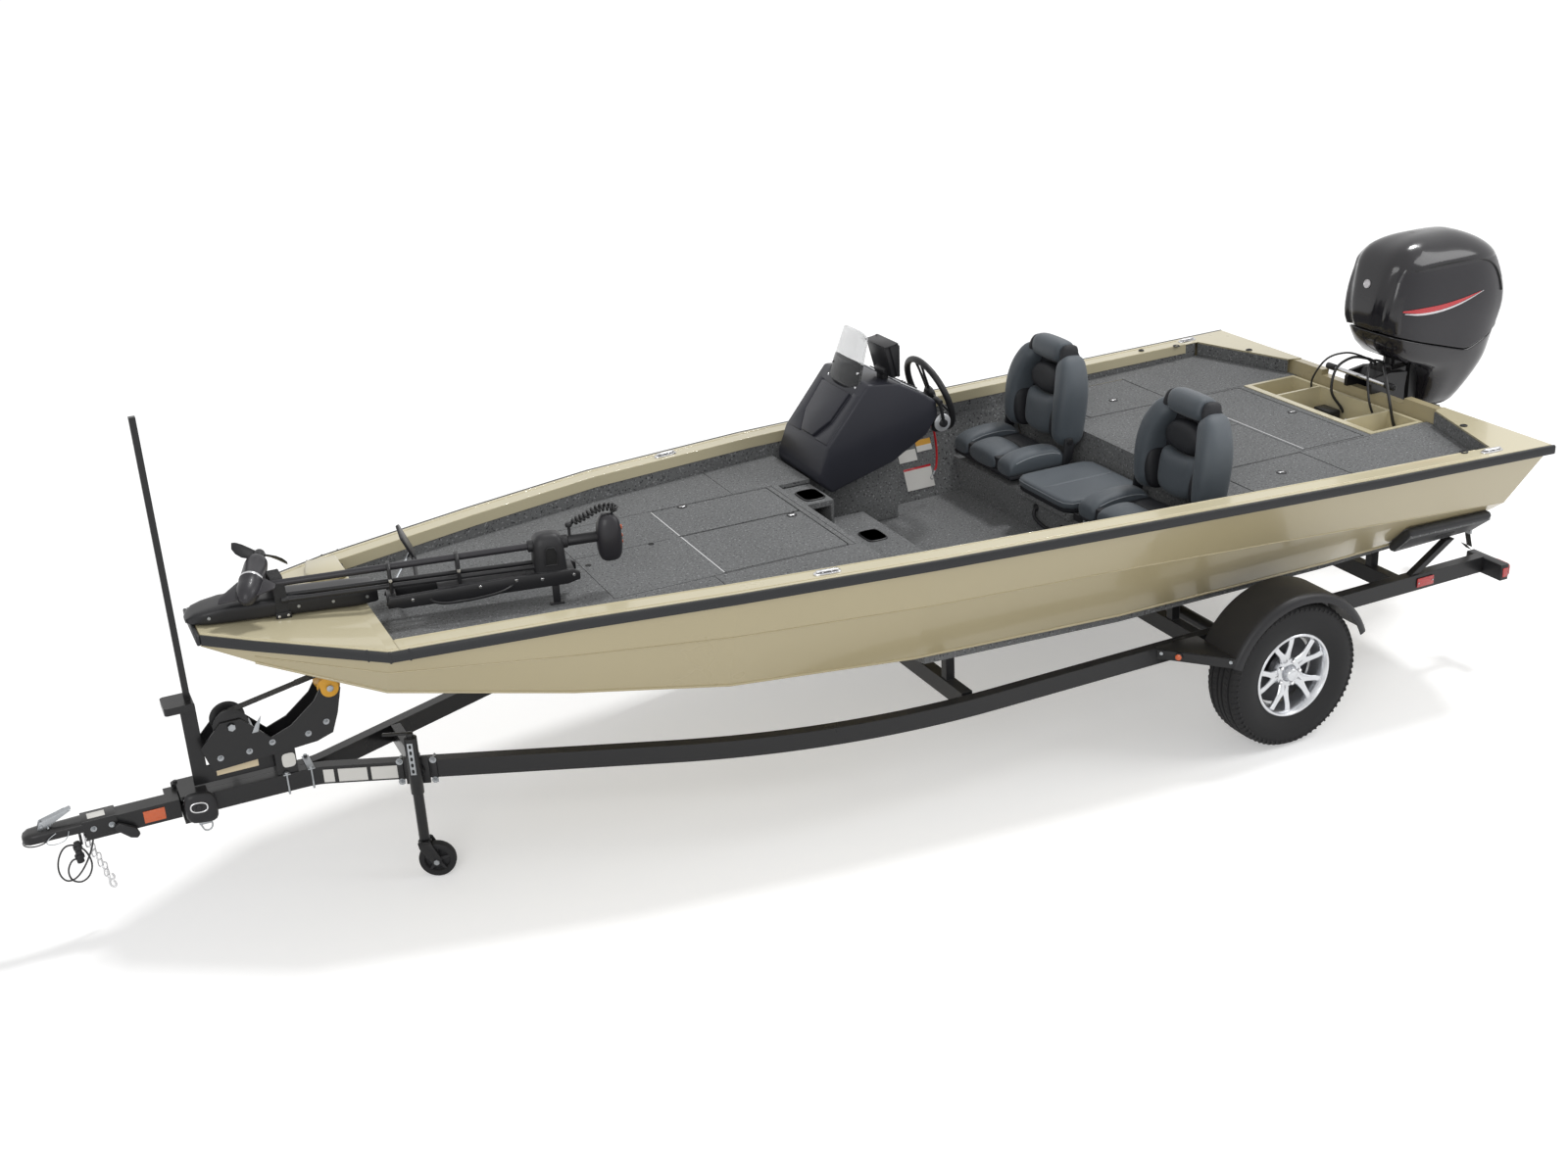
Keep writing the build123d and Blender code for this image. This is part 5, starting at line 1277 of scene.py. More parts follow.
def buildDisplay():
    bm = bmesh.new()
    outline = [(2.436, 1.476), (2.462, 1.470), (2.500, 1.618), (2.470, 1.622)]
    addPlate(bm, upright(-0.382, outline), (0, -0.176, 0), rounding=0.006)
    hood = [(2.428, 1.478), (2.440, 1.476), (2.476, 1.619), (2.500, 1.616), (2.502, 1.626), (2.440, 1.636),
            (2.426, 1.620)]
    for y in (-0.374, -0.560):
        addPlate(bm, upright(y, hood[:3] + hood[5:]), (0, -0.008, 0), rounding=0.002)
    addPlate(bm, upright(-0.374, ((2.432, 1.634), (2.436, 1.627), (2.500, 1.616), (2.502, 1.624))),
             (0, -0.194, 0), rounding=0.002)
    addPlate(bm, upright(-0.395, ((2.4352, 1.490), (2.4354, 1.488), (2.4685, 1.610), (2.4672, 1.611))),
             (0, -0.150, 0), finish=1)
    addBox(bm, spot(2.452, -0.500, 1.452), spot(2.484, -0.440, 1.500), 0.006)
    addLathe(bm, [(-0.046, 0.0), (-0.046, 0.014), (-0.036, 0.017), (0.036, 0.017), (0.046, 0.014),
                  (0.046, 0.0)], spot(2.472, -0.470, 1.494), (0, 1, 0), steps=20)
    newPiece("chartDisplay", bm, ["blackPlastic", "shadowBlack"], "frame", smooth=40,
             replaces=["dashboard"])


def buildHelm():
    sizes = consoleSizes
    tilt = sizes["helmTilt"]
    centre = spot(*sizes["helm"])
    axis = Vector((-cos(tilt), 0, sin(tilt)))
    upward, across = Vector((sin(tilt), 0, cos(tilt))), Vector((0, 1, 0))
    radius, grip = sizes["helmRing"]
    bm = bmesh.new()
    ringProfile = [(grip * sin(2 * pi * step / 14), radius + grip * cos(2 * pi * step / 14))
                   for step in range(15)]
    addLathe(bm, ringProfile, centre, axis, steps=72)
    addLathe(bm, [(-0.016, 0.0), (-0.016, 0.026), (-0.004, 0.036), (0.006, 0.037), (0.014, 0.031),
                  (0.018, 0.020), (0.019, 0.0)], centre, axis, steps=36)
    addRod(bm, centre - axis * 0.012, centre - axis * 0.112, 0.0148, segments=20)
    for heading in (90, 210, 330):
        outward = across * cos(radians(heading)) + upward * sin(radians(heading))
        beside = across * -sin(radians(heading)) + upward * cos(radians(heading))
        for edge in (1, -1):
            rings = []
            for reach, spread, wide, thick in ((0.024, 0.008, 0.010, 0.007), (0.06, 0.012, 0.008, 0.006),
                    (0.12, 0.018, 0.0065, 0.005), (0.178, 0.026, 0.009, 0.006)):
                rings.append(roundRect(centre + outward * reach + beside * edge * spread, beside, axis,
                                       wide, thick, power=3, count=12))
            addLoft(bm, rings)
    newPiece("helmWheel", bm, ["blackPlastic"], "helm", smooth=50, replaces=["helm_wheel"])


buildConsole()
buildScreen()
buildDisplay()
buildHelm()
print("console and helm made")


# Bow trolling motor, strapped down for the road
trollSizes = {
    "origin": 5.660,
    "turn": radians(-9.9),
    "shaftZ": 1.285,
    "hand": Vector((-0.4056, -0.8619, 0.3042)),
    "podForward": -0.230,
    "podZ": 1.325,
    "base": [(4.986, 0.070, 1.130, 1.188), (4.996, 0.077, 1.129, 1.192), (5.068, 0.079, 1.1285, 1.200),
             (5.300, 0.079, 1.150, 1.223), (5.500, 0.079, 1.1672, 1.241), (5.560, 0.078, 1.1725, 1.246),
             (5.625, 0.074, 1.180, 1.238), (5.664, 0.062, 1.1850, 1.230), (5.688, 0.042, 1.1875, 1.214),
             (5.699, 0.022, 1.190, 1.204)],
    "tower": [(1.184, 0.066, 0.056), (1.235, 0.063, 0.054), (1.290, 0.060, 0.052), (1.315, 0.054, 0.048),
              (1.330, 0.040, 0.036), (1.335, 0.018, 0.016)],
    "head": [(1.181, 0.020, 0.018), (1.186, 0.040, 0.034), (1.230, 0.052, 0.046), (1.320, 0.051, 0.045),
             (1.362, 0.038, 0.034), (1.378, 0.020, 0.018)],
    "pod": [(-0.150, 0.0), (-0.149, 0.008), (-0.142, 0.020), (-0.125, 0.033), (-0.100, 0.0415),
            (-0.075, 0.0445), (-0.032, 0.0448), (-0.030, 0.0462), (-0.020, 0.0462), (-0.018, 0.0445),
            (0.060, 0.0440), (0.085, 0.0400), (0.102, 0.030), (0.108, 0.018), (0.108, 0.0)],
    "blade": [(0.016, 0.015, 0.0045, 52, 0.000), (0.040, 0.022, 0.0040, 40, 0.004),
              (0.065, 0.026, 0.0032, 32, 0.012), (0.088, 0.023, 0.0026, 27, 0.024),
              (0.102, 0.013, 0.0020, 24, 0.034)],
}


def trollSpot(forward, port, z):
    turn = trollSizes["turn"]
    return spot(trollSizes["origin"] + forward * cos(turn) - port * sin(turn),
                forward * sin(turn) + port * cos(turn), z)


def buildTrolling():
    sizes = trollSizes
    ahead = (trollSpot(1, 0, 0) - trollSpot(0, 0, 0)).normalized()
    beside = (trollSpot(0, 1, 0) - trollSpot(0, 0, 0)).normalized()
    upward = Vector((0, 0, 1))
    bm = bmesh.new()
    addLoft(bm, [roundRect(spot(x, 0, (low + high) / 2), (0, 1, 0), (0, 0, 1), half, (high - low) / 2,
                           power=6, count=32) for x, half, low, high in sizes["base"]])
    for x in (5.03, 5.16, 5.29, 5.62):
        addRod(bm, spot(x, 0.074, 1.165 + (x - 5.03) * 0.08), spot(x, 0.0815, 1.165 + (x - 5.03) * 0.08),
               0.0065, finish=1, segments=6)
    newPiece("trollingBase", bm, ["blackPlastic", "zincSteel"], "frame", smooth=50,
             replaces=["trolling_mount"])
    bm = bmesh.new()
    beam = [(-0.698, 1.150), (-0.712, 1.180), (-1.20, 1.190), (-1.425, 1.186), (-1.450, 1.172),
            (-1.450, 1.142), (-1.40, 1.129), (-0.76, 1.129)]
    for port in (-0.062, 0.044):
        addPlate(bm, [trollSpot(f, port, z) for f, z in beam], beside * 0.018, rounding=0.004)
    deck = [(-0.705, -0.046), (-0.705, 0.046), (-0.742, 0.046), (-0.742, -0.046)]
    addPlate(bm, [trollSpot(f, p, 1.130) for f, p in deck], upward * 0.046, rounding=0.003)
    addPlate(bm, [trollSpot(f, p, 1.176) for f, p in ((-0.90, -0.046), (-0.90, 0.046), (-1.24, 0.046),
            (-1.24, -0.046))], upward * 0.012, rounding=0.003)
    addPlate(bm, [trollSpot(f, p, 1.132) for f, p in ((-1.230, -0.050), (-1.230, 0.050), (-1.430, 0.050),
            (-1.430, -0.050))], upward * 0.054, rounding=0.003)
    addLoft(bm, [roundRect(trollSpot(-1.340, 0, z), ahead, beside, long, wide, power=5, count=28)
                 for z, long, wide in sizes["tower"]])
    addPlate(bm, [trollSpot(f, p, 1.0505) for f, p in ((-1.336, 0.041), (-1.336, 0.059), (-1.364, 0.059),
            (-1.364, 0.041))], upward * 0.082, rounding=0.003)
    addPlate(bm, [trollSpot(f, p, 1.0505) for f, p in ((-1.322, 0.034), (-1.322, 0.066), (-1.378, 0.066),
            (-1.378, 0.034))], upward * 0.006, rounding=0.002)
    addPipe(bm, [trollSpot(f, p, z) for f, p, z in ((-0.86, 0.050, 1.150), (-0.88, 0.082, 1.140),
            (-0.95, 0.094, 1.136), (-1.06, 0.094, 1.140), (-1.16, 0.084, 1.150), (-1.19, 0.052, 1.158))],
            0.0055)
    # Near-black plate in the tower's window: painted shade of its recess
    window = [(-1.318, 1.215), (-1.322, 1.275), (-1.334, 1.288), (-1.358, 1.286), (-1.368, 1.262),
              (-1.366, 1.215)]
    addPlate(bm, [trollSpot(f, 0.0535, z) for f, z in window], beside * 0.0036, finish=1, rounding=0.0008)
    addPipe(bm, [trollSpot(f, 0.057, z) for f, z in window + window[:1]], 0.0028, curved=False)
    for forward, port, z in ((-0.80, 0.062, 1.160), (-1.20, 0.062, 1.176), (-1.30, 0.062, 1.165),
                             (-1.425, 0.062, 1.165), (-1.06, 0.062, 1.172)):
        addRod(bm, trollSpot(forward, port - 0.003, z), trollSpot(forward, port + 0.004, z), 0.0065,
               finish=2, segments=12, rounding=0.001)
    for port in (-0.026, 0.026):
        addRod(bm, trollSpot(-0.330, port, 1.224), trollSpot(-1.290, port, 1.206), 0.0095, segments=20)
        addRod(bm, trollSpot(-0.318, port, 1.2242), trollSpot(-0.345, port, 1.2238), 0.0115, segments=20,
               rounding=0.002)
    addRod(bm, trollSpot(-0.250, 0, sizes["shaftZ"]), trollSpot(-1.590, 0, sizes["shaftZ"]), 0.0138,
           finish=3, segments=24)
    addRod(bm, trollSpot(-1.262, 0, sizes["shaftZ"]), trollSpot(-1.300, 0, sizes["shaftZ"]), 0.024,
           segments=24, rounding=0.004)
    addRod(bm, trollSpot(-1.392, 0, sizes["shaftZ"]), trollSpot(-1.420, 0, sizes["shaftZ"]), 0.027,
           segments=24, rounding=0.004)
    addRod(bm, trollSpot(-1.420, 0, sizes["shaftZ"]), trollSpot(-1.560, 0, sizes["shaftZ"]), 0.0215,
           segments=24, rounding=0.003)
    for forward in (-0.72, -0.98):
        addPlate(bm, [trollSpot(forward, p, z) for p, z in ((-0.042, 1.190), (-0.042, 1.290),
                (-0.016, 1.305), (0.016, 1.305), (0.042, 1.290), (0.042, 1.190))], -ahead * 0.014,
                 rounding=0.003)
        addRod(bm, trollSpot(forward - 0.007, 0.040, 1.245), trollSpot(forward - 0.007, 0.049, 1.245),
               0.0075, finish=2, segments=6)
    addRod(bm, trollSpot(-1.432, -0.010, 1.300), trollSpot(-1.432, -0.010, 1.345), 0.006, segments=16)
    addRod(bm, trollSpot(-1.432, -0.010, 1.338), trollSpot(-1.432, -0.010, 1.356), 0.014, segments=20,
           rounding=0.004)
    newPiece("trollingMount", bm, ["blackPlastic", "shadowBlack", "brightSteel", "cowlSatin"], "frame",
             smooth=45, replaces=["trolling_unit"])
    bm = bmesh.new()
    addLoft(bm, [roundRect(trollSpot(-1.585, 0, z), ahead, beside, long, wide, power=2.8, count=32)
                 for z, long, wide in sizes["head"]])
    newPiece("trollingHead", bm, ["cowlSatin"], "frame", levels=1)
    bm = bmesh.new()
    for z, tall in ((1.312, 0.010), (1.278, 0.007), (1.252, 0.006)):
        addLoft(bm, [roundRect(trollSpot(-1.6368 + out, 0.004, z), beside, upward, 0.007 * shrink,
                               tall * shrink, power=3, count=14) for out, shrink in ((0.006, 1.0),
                (-0.0008, 1.0), (-0.0018, 0.7))])
    newPiece("trollingLights", bm, ["lampAmber"], "frame")
    hand = sizes["hand"].normalized()
    pod = trollSpot(sizes["podForward"], 0, sizes["podZ"])
    wing = Vector((-hand.y, hand.x, 0)).normalized() * -1
    bm = bmesh.new()
    addLathe(bm, sizes["pod"], pod, hand, steps=40)
    for face in bm.faces:
        along = (face.calc_center_median() - pod).dot(hand)
        face.material_index = 1 if -0.031 < along < -0.019 else 0
    crown = hand.cross(wing).normalized()
    for edge, line in ((-1, [(-0.128, 0.020), (-0.150, 0.100), (-0.120, 0.104), (-0.030, 0.052),
                             (-0.030, 0.030)]), (1,
            [(-0.120, 0.024), (-0.075, 0.098), (-0.050, 0.096), (-0.012, 0.046), (-0.012, 0.030)])):
        addPlate(bm, [pod + hand * along + wing * (edge * out) - crown * 0.003 for along, out in line],
                 crown * 0.006, rounding=0.0022)
    neck = trollSpot(-0.262, 0, sizes["shaftZ"])
    addLoft(bm, [roundRect(neck.lerp(pod - hand * 0.050, share), beside, upward, 0.020 + 0.016 * share,
                           0.020 + 0.010 * share, power=2, count=20) for share in (0.0, 0.35, 0.7, 1.0)])
    newPiece("trollingPod", bm, ["cowlSatin", "brightSteel"], "frame", smooth=45)
    bm = bmesh.new()
    addLathe(bm, [(0.1110, 0.0), (0.1110, 0.0235), (0.132, 0.0235), (0.143, 0.018), (0.1505, 0.008),
                  (0.151, 0.0)], pod, hand, steps=28)
    reach = Vector((1, 0, 0)) - hand * hand.x
    reach.normalize()
    cross = hand.cross(reach)
    for edge in (1, -1):
        rings = []
        for out, chord, thick, pitch, sweep in sizes["blade"]:
            lean = cross * cos(radians(pitch)) + hand * sin(radians(pitch)) * edge
            face = hand * cos(radians(pitch)) - cross * sin(radians(pitch)) * edge
            centre = pod + hand * 0.130 + reach * (edge * out) + cross * (edge * sweep)
            rings.append(roundRect(centre, lean, face, chord, thick, power=2, count=16))
        addLoft(bm, rings)
    newPiece("trollingPropeller", bm, ["blackPlastic"], "trolling_propeller", smooth=60,
             replaces=["trolling_propeller"])
    bm = bmesh.new()
    loop = [(0.0800, 1.152), (0.0830, 1.236), (0.0700, 1.282), (0.0400, 1.306), (-0.0400, 1.306),
            (-0.0700, 1.282), (-0.0830, 1.236), (-0.0800, 1.152)]
    inner = [(y * (1 - 0.0026 / abs(y)) if abs(y) > 0.05 else y * 0.95, z - (0.0026 if z > 1.24 else 0))
             for y, z in loop]
    addPlate(bm, [spot(5.328, y, z) for y, z in loop + inner[::-1]], (0.046, 0, 0))
    addPlate(bm, [spot(5.322, 0.0825, z) for z in (1.150, 1.176)] + [spot(5.380, 0.0825, z)
            for z in (1.176, 1.150)], (0, 0.005, 0), finish=1, rounding=0.0015)
    for x in (5.334, 5.368):
        addRod(bm, spot(x, 0.086, 1.163), spot(x, 0.0905, 1.163), 0.0055, finish=2, segments=14,
               rounding=0.001)
    newPiece("trollingStrap", bm, ["webbing", "blackPlastic", "brightSteel"], "frame",
             smooth=40)
    bm = bmesh.new()
    addPlate(bm, [spot(x, y, z) for x, y, z in ((4.775, -0.150, 1.232), (4.795, -0.030, 1.222),
            (4.842, -0.034, 1.330), (4.838, -0.100, 1.362), (4.822, -0.150, 1.345))], (0.010, 0, -0.004),
             rounding=0.003)
    addRod(bm, spot(4.80, -0.085, 1.255), trollSpot(-0.83, -0.050, 1.180), 0.008, segments=14)
    addRod(bm, spot(4.80, -0.085, 1.255), trollSpot(-0.74, -0.030, 1.200), 0.005, segments=12, finish=1)
    newPiece("trollingPullHandle", bm, ["blackPlastic", "zincSteel"], "frame", smooth=40)
    bm = bmesh.new()
    start, end = trollSpot(-1.605, 0, 1.378), trollSpot(-1.436, -0.010, 1.352)
    spine = curveThrough([start, start + Vector((-0.006, 0, 0.020)),
                          start.lerp(end, 0.30) + Vector((0, 0, 0.030)),
                          start.lerp(end, 0.65) + Vector((0, 0, 0.012)), end], 40)
    turns, coil, cable, path = 15, 0.0130, 0.0052, []
    for index, point in enumerate(spine):
        along = (spine[min(index + 1, len(spine) - 1)] - spine[max(index - 1, 0)]).normalized()
        one = along.cross(Vector((0, 1, 0.2))).normalized()
        two = along.cross(one)
        share = index / (len(spine) - 1)
        grow = coil * min(1.0, share / 0.15, (1 - share) / 0.10)
        path.append(point + (one * cos(2 * pi * turns * share) + two * sin(2 * pi * turns * share)) * grow)
    addPipe(bm, path, cable, curved=False)
    lead = newPiece("trollingCoilLead", bm, ["cableBlack"], "frame", smooth=80)


buildTrolling()

# Raised corner piece on the bow deck in the caps' tan with painted light, and painted shade in its recess
bm = bmesh.new()
addPlate(bm, [spot(x, y, 1.127) for x, y in ((5.035, -0.250), (5.150, -0.215), (5.190, -0.300),
        (5.160, -0.440), (5.035, -0.440))], (0, 0, 0.036), rounding=0.010)
addPlate(bm, [spot(5.0325, y, z) for y, z in ((-0.270, 1.133), (-0.330, 1.158), (-0.420, 1.133))],
         (0.004, 0, 0), finish=1)
newPiece("bowCorner", bm, ["capTanPaintedLight", "shadowBlack"], "frame", smooth=50)
print("trolling motor made")


# Trailer front: coupler with its latch, hinge cover, plates, winch, roller and jack
frontSizes = {
    "railTop": 0.487,
    "railLow": 0.411,
    "ball": 6.376,
    "winch": (5.610, 0.745),
    "roller": (5.2225, 0.814),
    "jackLean": atan2(0.8447, 1.920),
    "jackStation": 4.960,
    "jackFace": 0.2110,
    "jackOut": 0.055,
    "jackTrail": 0.042,
    "jackWheel": 0.075,
}


def jackSpot(aft, out, z):
    lean = frontSizes["jackLean"]
    return spot(frontSizes["jackStation"] - aft * cos(lean) + out * sin(lean),
                frontSizes["jackFace"] + aft * sin(lean) + out * cos(lean), z)


def jackLine(out, outline):
    return [jackSpot(aft, out, z) for aft, z in outline]


def railSpot(station, z, out=0.0):
    # Point on the outer face of the port rail where it runs in to the tongue
    return spot(station, 0.0253 + (5.320 - station) * 0.43995 + 0.0273 + out, z)


def addBolt(bm, place, out, radius=0.009, finish=1):
    out = Vector(out).normalized()
    addRod(bm, Vector(place) - out * 0.002, Vector(place) + out * 0.0015, radius * 1.45, finish=finish,
           segments=20)
    addRod(bm, Vector(place) + out * 0.0015, Vector(place) + out * 0.0085, radius, finish=finish, segments=6)
    addRod(bm, Vector(place) + out * 0.0085, Vector(place) + out * 0.014, radius * 0.55, finish=finish,
           segments=12, rounding=0.001)


def buildCoupler():
    sizes = frontSizes
    top, low = sizes["railTop"], sizes["railLow"]
    bm = bmesh.new()
    outline = [(6.080, low + 0.016), (6.080, top + 0.006), (6.205, top + 0.006), (6.300, top + 0.004),
               (6.376, top + 0.004), (6.376, top - 0.040), (6.20, top - 0.042), (6.19, low + 0.016)]
    for y in (-0.044, 0.038):
        addPlate(bm, upright(y, outline[:3] + outline[6:]), (0, 0.006, 0), rounding=0.001)
    addPlate(bm, upright(-0.0378, ((6.082, top + 0.0005), (6.082, top + 0.006), (6.205, top + 0.006),
                                   (6.205, top + 0.0005))), (0, 0.0756, 0), rounding=0.001)
    rings = []
    for x, half, floor, crown in ((6.195, 0.0435, top - 0.041, top + 0.005),
                                  (6.26, 0.041, top - 0.041, top + 0.004),
                                  (6.32, 0.040, top - 0.041, top + 0.003),
                                  (6.36, 0.043, top - 0.041, top + 0.005),
                                  (6.395, 0.040, top - 0.041, top + 0.003),
                                  (6.413, 0.028, top - 0.040, top - 0.004),
                                  (6.4195, 0.012, top - 0.036, top - 0.012)):
        rings.append(roundRect(spot(x, 0, (floor + crown) / 2), (0, 1, 0), (0, 0, 1), half,
                               (crown - floor) / 2, power=4.5, count=28))
    addLoft(bm, rings)
    addLathe(bm, [(0.0, 0.045), (0.0, 0.048), (0.004, 0.048), (0.004, 0.045)],
             spot(sizes["ball"] - 0.002, 0, top - 0.043), (0, 0, 1), steps=32)
    addBox(bm, spot(6.118, -0.022, top + 0.006), spot(6.182, 0.022, top + 0.0075), 0.0005, finish=2)
    for x in (6.102, 6.168):
        for side in (1, -1):
            addBolt(bm, spot(x, side * 0.0445, 0.458), (0, side, 0), 0.008)
    newPiece("couplerBody", bm, ["framePaint", "zincSteel", "blankLabel"], "tongue",
             smooth=45, replaces=["coupler"])
    bm = bmesh.new()
    for side in (1, -1):
        addPlate(bm, upright(side * 0.014 - 0.0015, ((6.362, top + 0.004), (6.350, top + 0.034),
                (6.255, top + 0.060), (6.232, top + 0.056), (6.300, top + 0.022), (6.318, top + 0.004))),
                 (0, 0.003, 0), rounding=0.0006)
    addPlate(bm, upright(-0.014, ((6.340, top + 0.036), (6.236, top + 0.064), (6.230, top + 0.060),
                                  (6.338, top + 0.031))), (0, 0.028, 0), rounding=0.0008)
    addRod(bm, spot(6.345, -0.022, top + 0.018), spot(6.345, 0.022, top + 0.018), 0.005, segments=14,
           rounding=0.001)
    addRod(bm, spot(6.322, -0.030, top + 0.012), spot(6.322, 0.030, top + 0.012), 0.0035, segments=12,
           rounding=0.0008)
    newPiece("couplerLatch", bm, ["zincSteel"], "tongue", smooth=40)
    bm = bmesh.new()
    addPlate(bm, upright(0.0443, ((6.098, 0.452), (6.078, 0.462), (6.020, 0.428), (6.008, 0.398),
                                  (6.022, 0.384), (6.046, 0.392), (6.090, 0.434))), (0, 0.022, 0),
             rounding=0.005)
    newPiece("couplerSideHandle", bm, ["blackPlastic"], "tongue", smooth=50)
    bm = bmesh.new()
    addBox(bm, spot(5.905, 0.0382, 0.424), spot(5.985, 0.0412, 0.474), 0.001)
    newPiece("tongueReflector", bm, ["lampAmber"], "tongue")
    bm = bmesh.new()
    loop = ((-0.020, 0), (0.020, 0), (0.020, -0.034), (-0.020, -0.034))
    addPlate(bm, [spot(6.215, y, low + 0.014 + drop) for y, drop in loop], (0.010, 0, 0), rounding=0.002)
    addRod(bm, spot(6.20, -0.034, 0.428), spot(6.20, 0.034, 0.428), 0.006, segments=14)
    for side in (1, -1):
        for link in range(9):
            share = link / 8
            drop = spot(6.205 - 0.055 * share, side * 0.024 + side * 0.006 * share, 0.418 - 0.188 * share)
            turn = 0 if link % 2 else pi / 2
            wide = Vector((cos(turn) * 0.8, sin(turn), 0)).normalized()
            ring = roundRect(drop, wide, (0, 0, 1), 0.0085, 0.0155, power=3, count=16)
            addPipe(bm, ring + ring[:2], 0.0028, finish=1, curved=False, around=6)
        hook = spot(6.150, side * 0.030, 0.226)
        addPipe(bm, [hook + Vector(v) for v in ((0, 0, 0.012), (0.004, 0, -0.010), (0.002, 0, -0.034),
                (-0.014, 0, -0.042), (-0.020, 0, -0.026), (-0.012, 0, -0.014))], 0.0042, finish=1)
    newPiece("safetyChains", bm, ["framePaint", "brightSteel"], "tongue", smooth=60)
    bm = bmesh.new()
    for z, radius in ((0.402, 0.012), (0.386, 0.017), (0.366, 0.013), (0.348, 0.018), (0.330, 0.014)):
        addRod(bm, spot(6.238, 0.020, z + 0.009), spot(6.236, 0.022, z - 0.009), radius, segments=20,
               rounding=0.003)
    newPiece("harnessPlug", bm, ["blackPlastic"], "tongue", smooth=50)
    bm = bmesh.new()
    addPipe(bm, [spot(6.30, 0.043, 0.478), spot(6.335, 0.047, 0.462), spot(6.34, 0.047, 0.440),
                 spot(6.30, 0.048, 0.432), spot(6.262, 0.048, 0.446), spot(6.255, 0.043, 0.474)], 0.0018)
    newPiece("couplerPinWire", bm, ["zincSteel"], "tongue")


def buildHarness():
    # The trailer's lamp lead: out of the tongue, down in two loose loops and up to its plug
    curve = bpy.data.curves.new("harnessLead", "CURVE")
    curve.dimensions = "3D"
    curve.bevel_depth = 0.0035
    curve.bevel_resolution = 3
    curve.resolution_u = 12
    curve.use_fill_caps = True
    points = [(6.175, 0.030, 0.424), (6.178, 0.034, 0.408), (6.190, 0.050, 0.380), (6.222, 0.068, 0.330),
              (6.262, 0.062, 0.280), (6.300, 0.040, 0.262), (6.322, 0.022, 0.290), (6.318, 0.008, 0.340),
              (6.290, 0.000, 0.388), (6.255, 0.006, 0.398), (6.214, 0.014, 0.370), (6.196, 0.024, 0.310),
              (6.214, 0.034, 0.262), (6.250, 0.040, 0.244), (6.284, 0.044, 0.266), (6.290, 0.042, 0.310),
              (6.268, 0.034, 0.346), (6.246, 0.026, 0.342), (6.236, 0.022, 0.328)]
    line = curve.splines.new("NURBS")
    line.points.add(len(points) - 1)
    for knot, (x, y, z) in zip(line.points, points):
        knot.co = (*spot(x, y, z), 1.0)
    line.order_u = 3
    line.use_endpoint_u = True
    lead = bpy.data.objects.new("harnessLead", curve)
    scene.collection.objects.link(lead)
    curve.materials.append(finishes["cableBlack"])
    return lead


def buildHingeCover():
    bm = bmesh.new()
    rings = []
    for y, long, tall in ((0.0645, 0.046, 0.050), (0.067, 0.058, 0.064), (0.078, 0.060, 0.066),
                          (0.088, 0.054, 0.060), (0.092, 0.040, 0.046)):
        rings.append(roundRect(spot(5.776, y, 0.452), (1, 0, 0.12), (0, 0, 1), long, tall, power=4, count=28))
    addLoft(bm, rings)
    ring = roundRect(spot(5.785, 0.0935, 0.462), (1, 0, 0.1), (0, 0, 1), 0.031, 0.020, power=2.6, count=28)
    addPipe(bm, ring + ring[:1], 0.0036, finish=1, curved=False)
    addLathe(bm, [(0.0, 0.0), (0.0, 0.012), (0.006, 0.011), (0.008, 0.006), (0.008, 0.0)],
             spot(5.785, 0.091, 0.462), (0, 1, 0), steps=20)
    addPipe(bm, upright(0.075, ((5.750, 0.388), (5.744, 0.372), (5.752, 0.352), (5.768, 0.346),
                                (5.784, 0.356), (5.790, 0.388))), 0.0032, finish=2)
    addBox(bm, spot(5.745, 0.070, 0.378), spot(5.795, 0.080, 0.390), 0.002, finish=2)
    newPiece("hingeCover", bm, ["blackPlastic", "brightSteel", "zincSteel"], "frame",
             smooth=50)
    bm = bmesh.new()
    for x in (5.438, 5.342):
        for y in (-0.0545, 0.0545):
            addRod(bm, spot(x, y, 0.402), spot(x, y, 0.497), 0.0042, segments=14)
        addRod(bm, spot(x, -0.0545, 0.4065), spot(x, 0.0545, 0.4065), 0.0042, segments=14)
        addBox(bm, spot(x - 0.014, -0.062, 0.4875), spot(x + 0.014, 0.062, 0.4925), 0.001)
        for y in (-0.0545, 0.0545):
            addRod(bm, spot(x, y, 0.4925), spot(x, y, 0.500), 0.0085, segments=6)
    newPiece("postBolts", bm, ["zincSteel"], "frame", smooth=40)
    bm = bmesh.new()
    plates = ((5.303, 5.262), (5.247, 5.142), (5.128, 5.022))
    for fore, aft in plates:
        addPlate(bm, [railSpot(fore, 0.418, 0.0002), railSpot(fore, 0.474, 0.0002),
                      railSpot(aft, 0.474, 0.0002), railSpot(aft, 0.418, 0.0002)], (0.0003, 0.0007, 0))
    rounded = roundRect(spot(5.420, 0.0472, 0.545), (1, 0, 0), (0, 0, 1), 0.026, 0.030, power=4, count=24)
    addPlate(bm, rounded, (0, 0.0008, 0))
    newPiece("railPlates", bm, ["blankLabel"], "frame", smooth=30)
    bm = bmesh.new()
    addPlate(bm, upright(0.0062, ((5.690, 0.533), (5.690, 0.568), (5.530, 0.568), (5.530, 0.533))),
             (0, 0.0008, 0))
    newPiece("stepPlateLabel", bm, ["paleCream"], "frame")


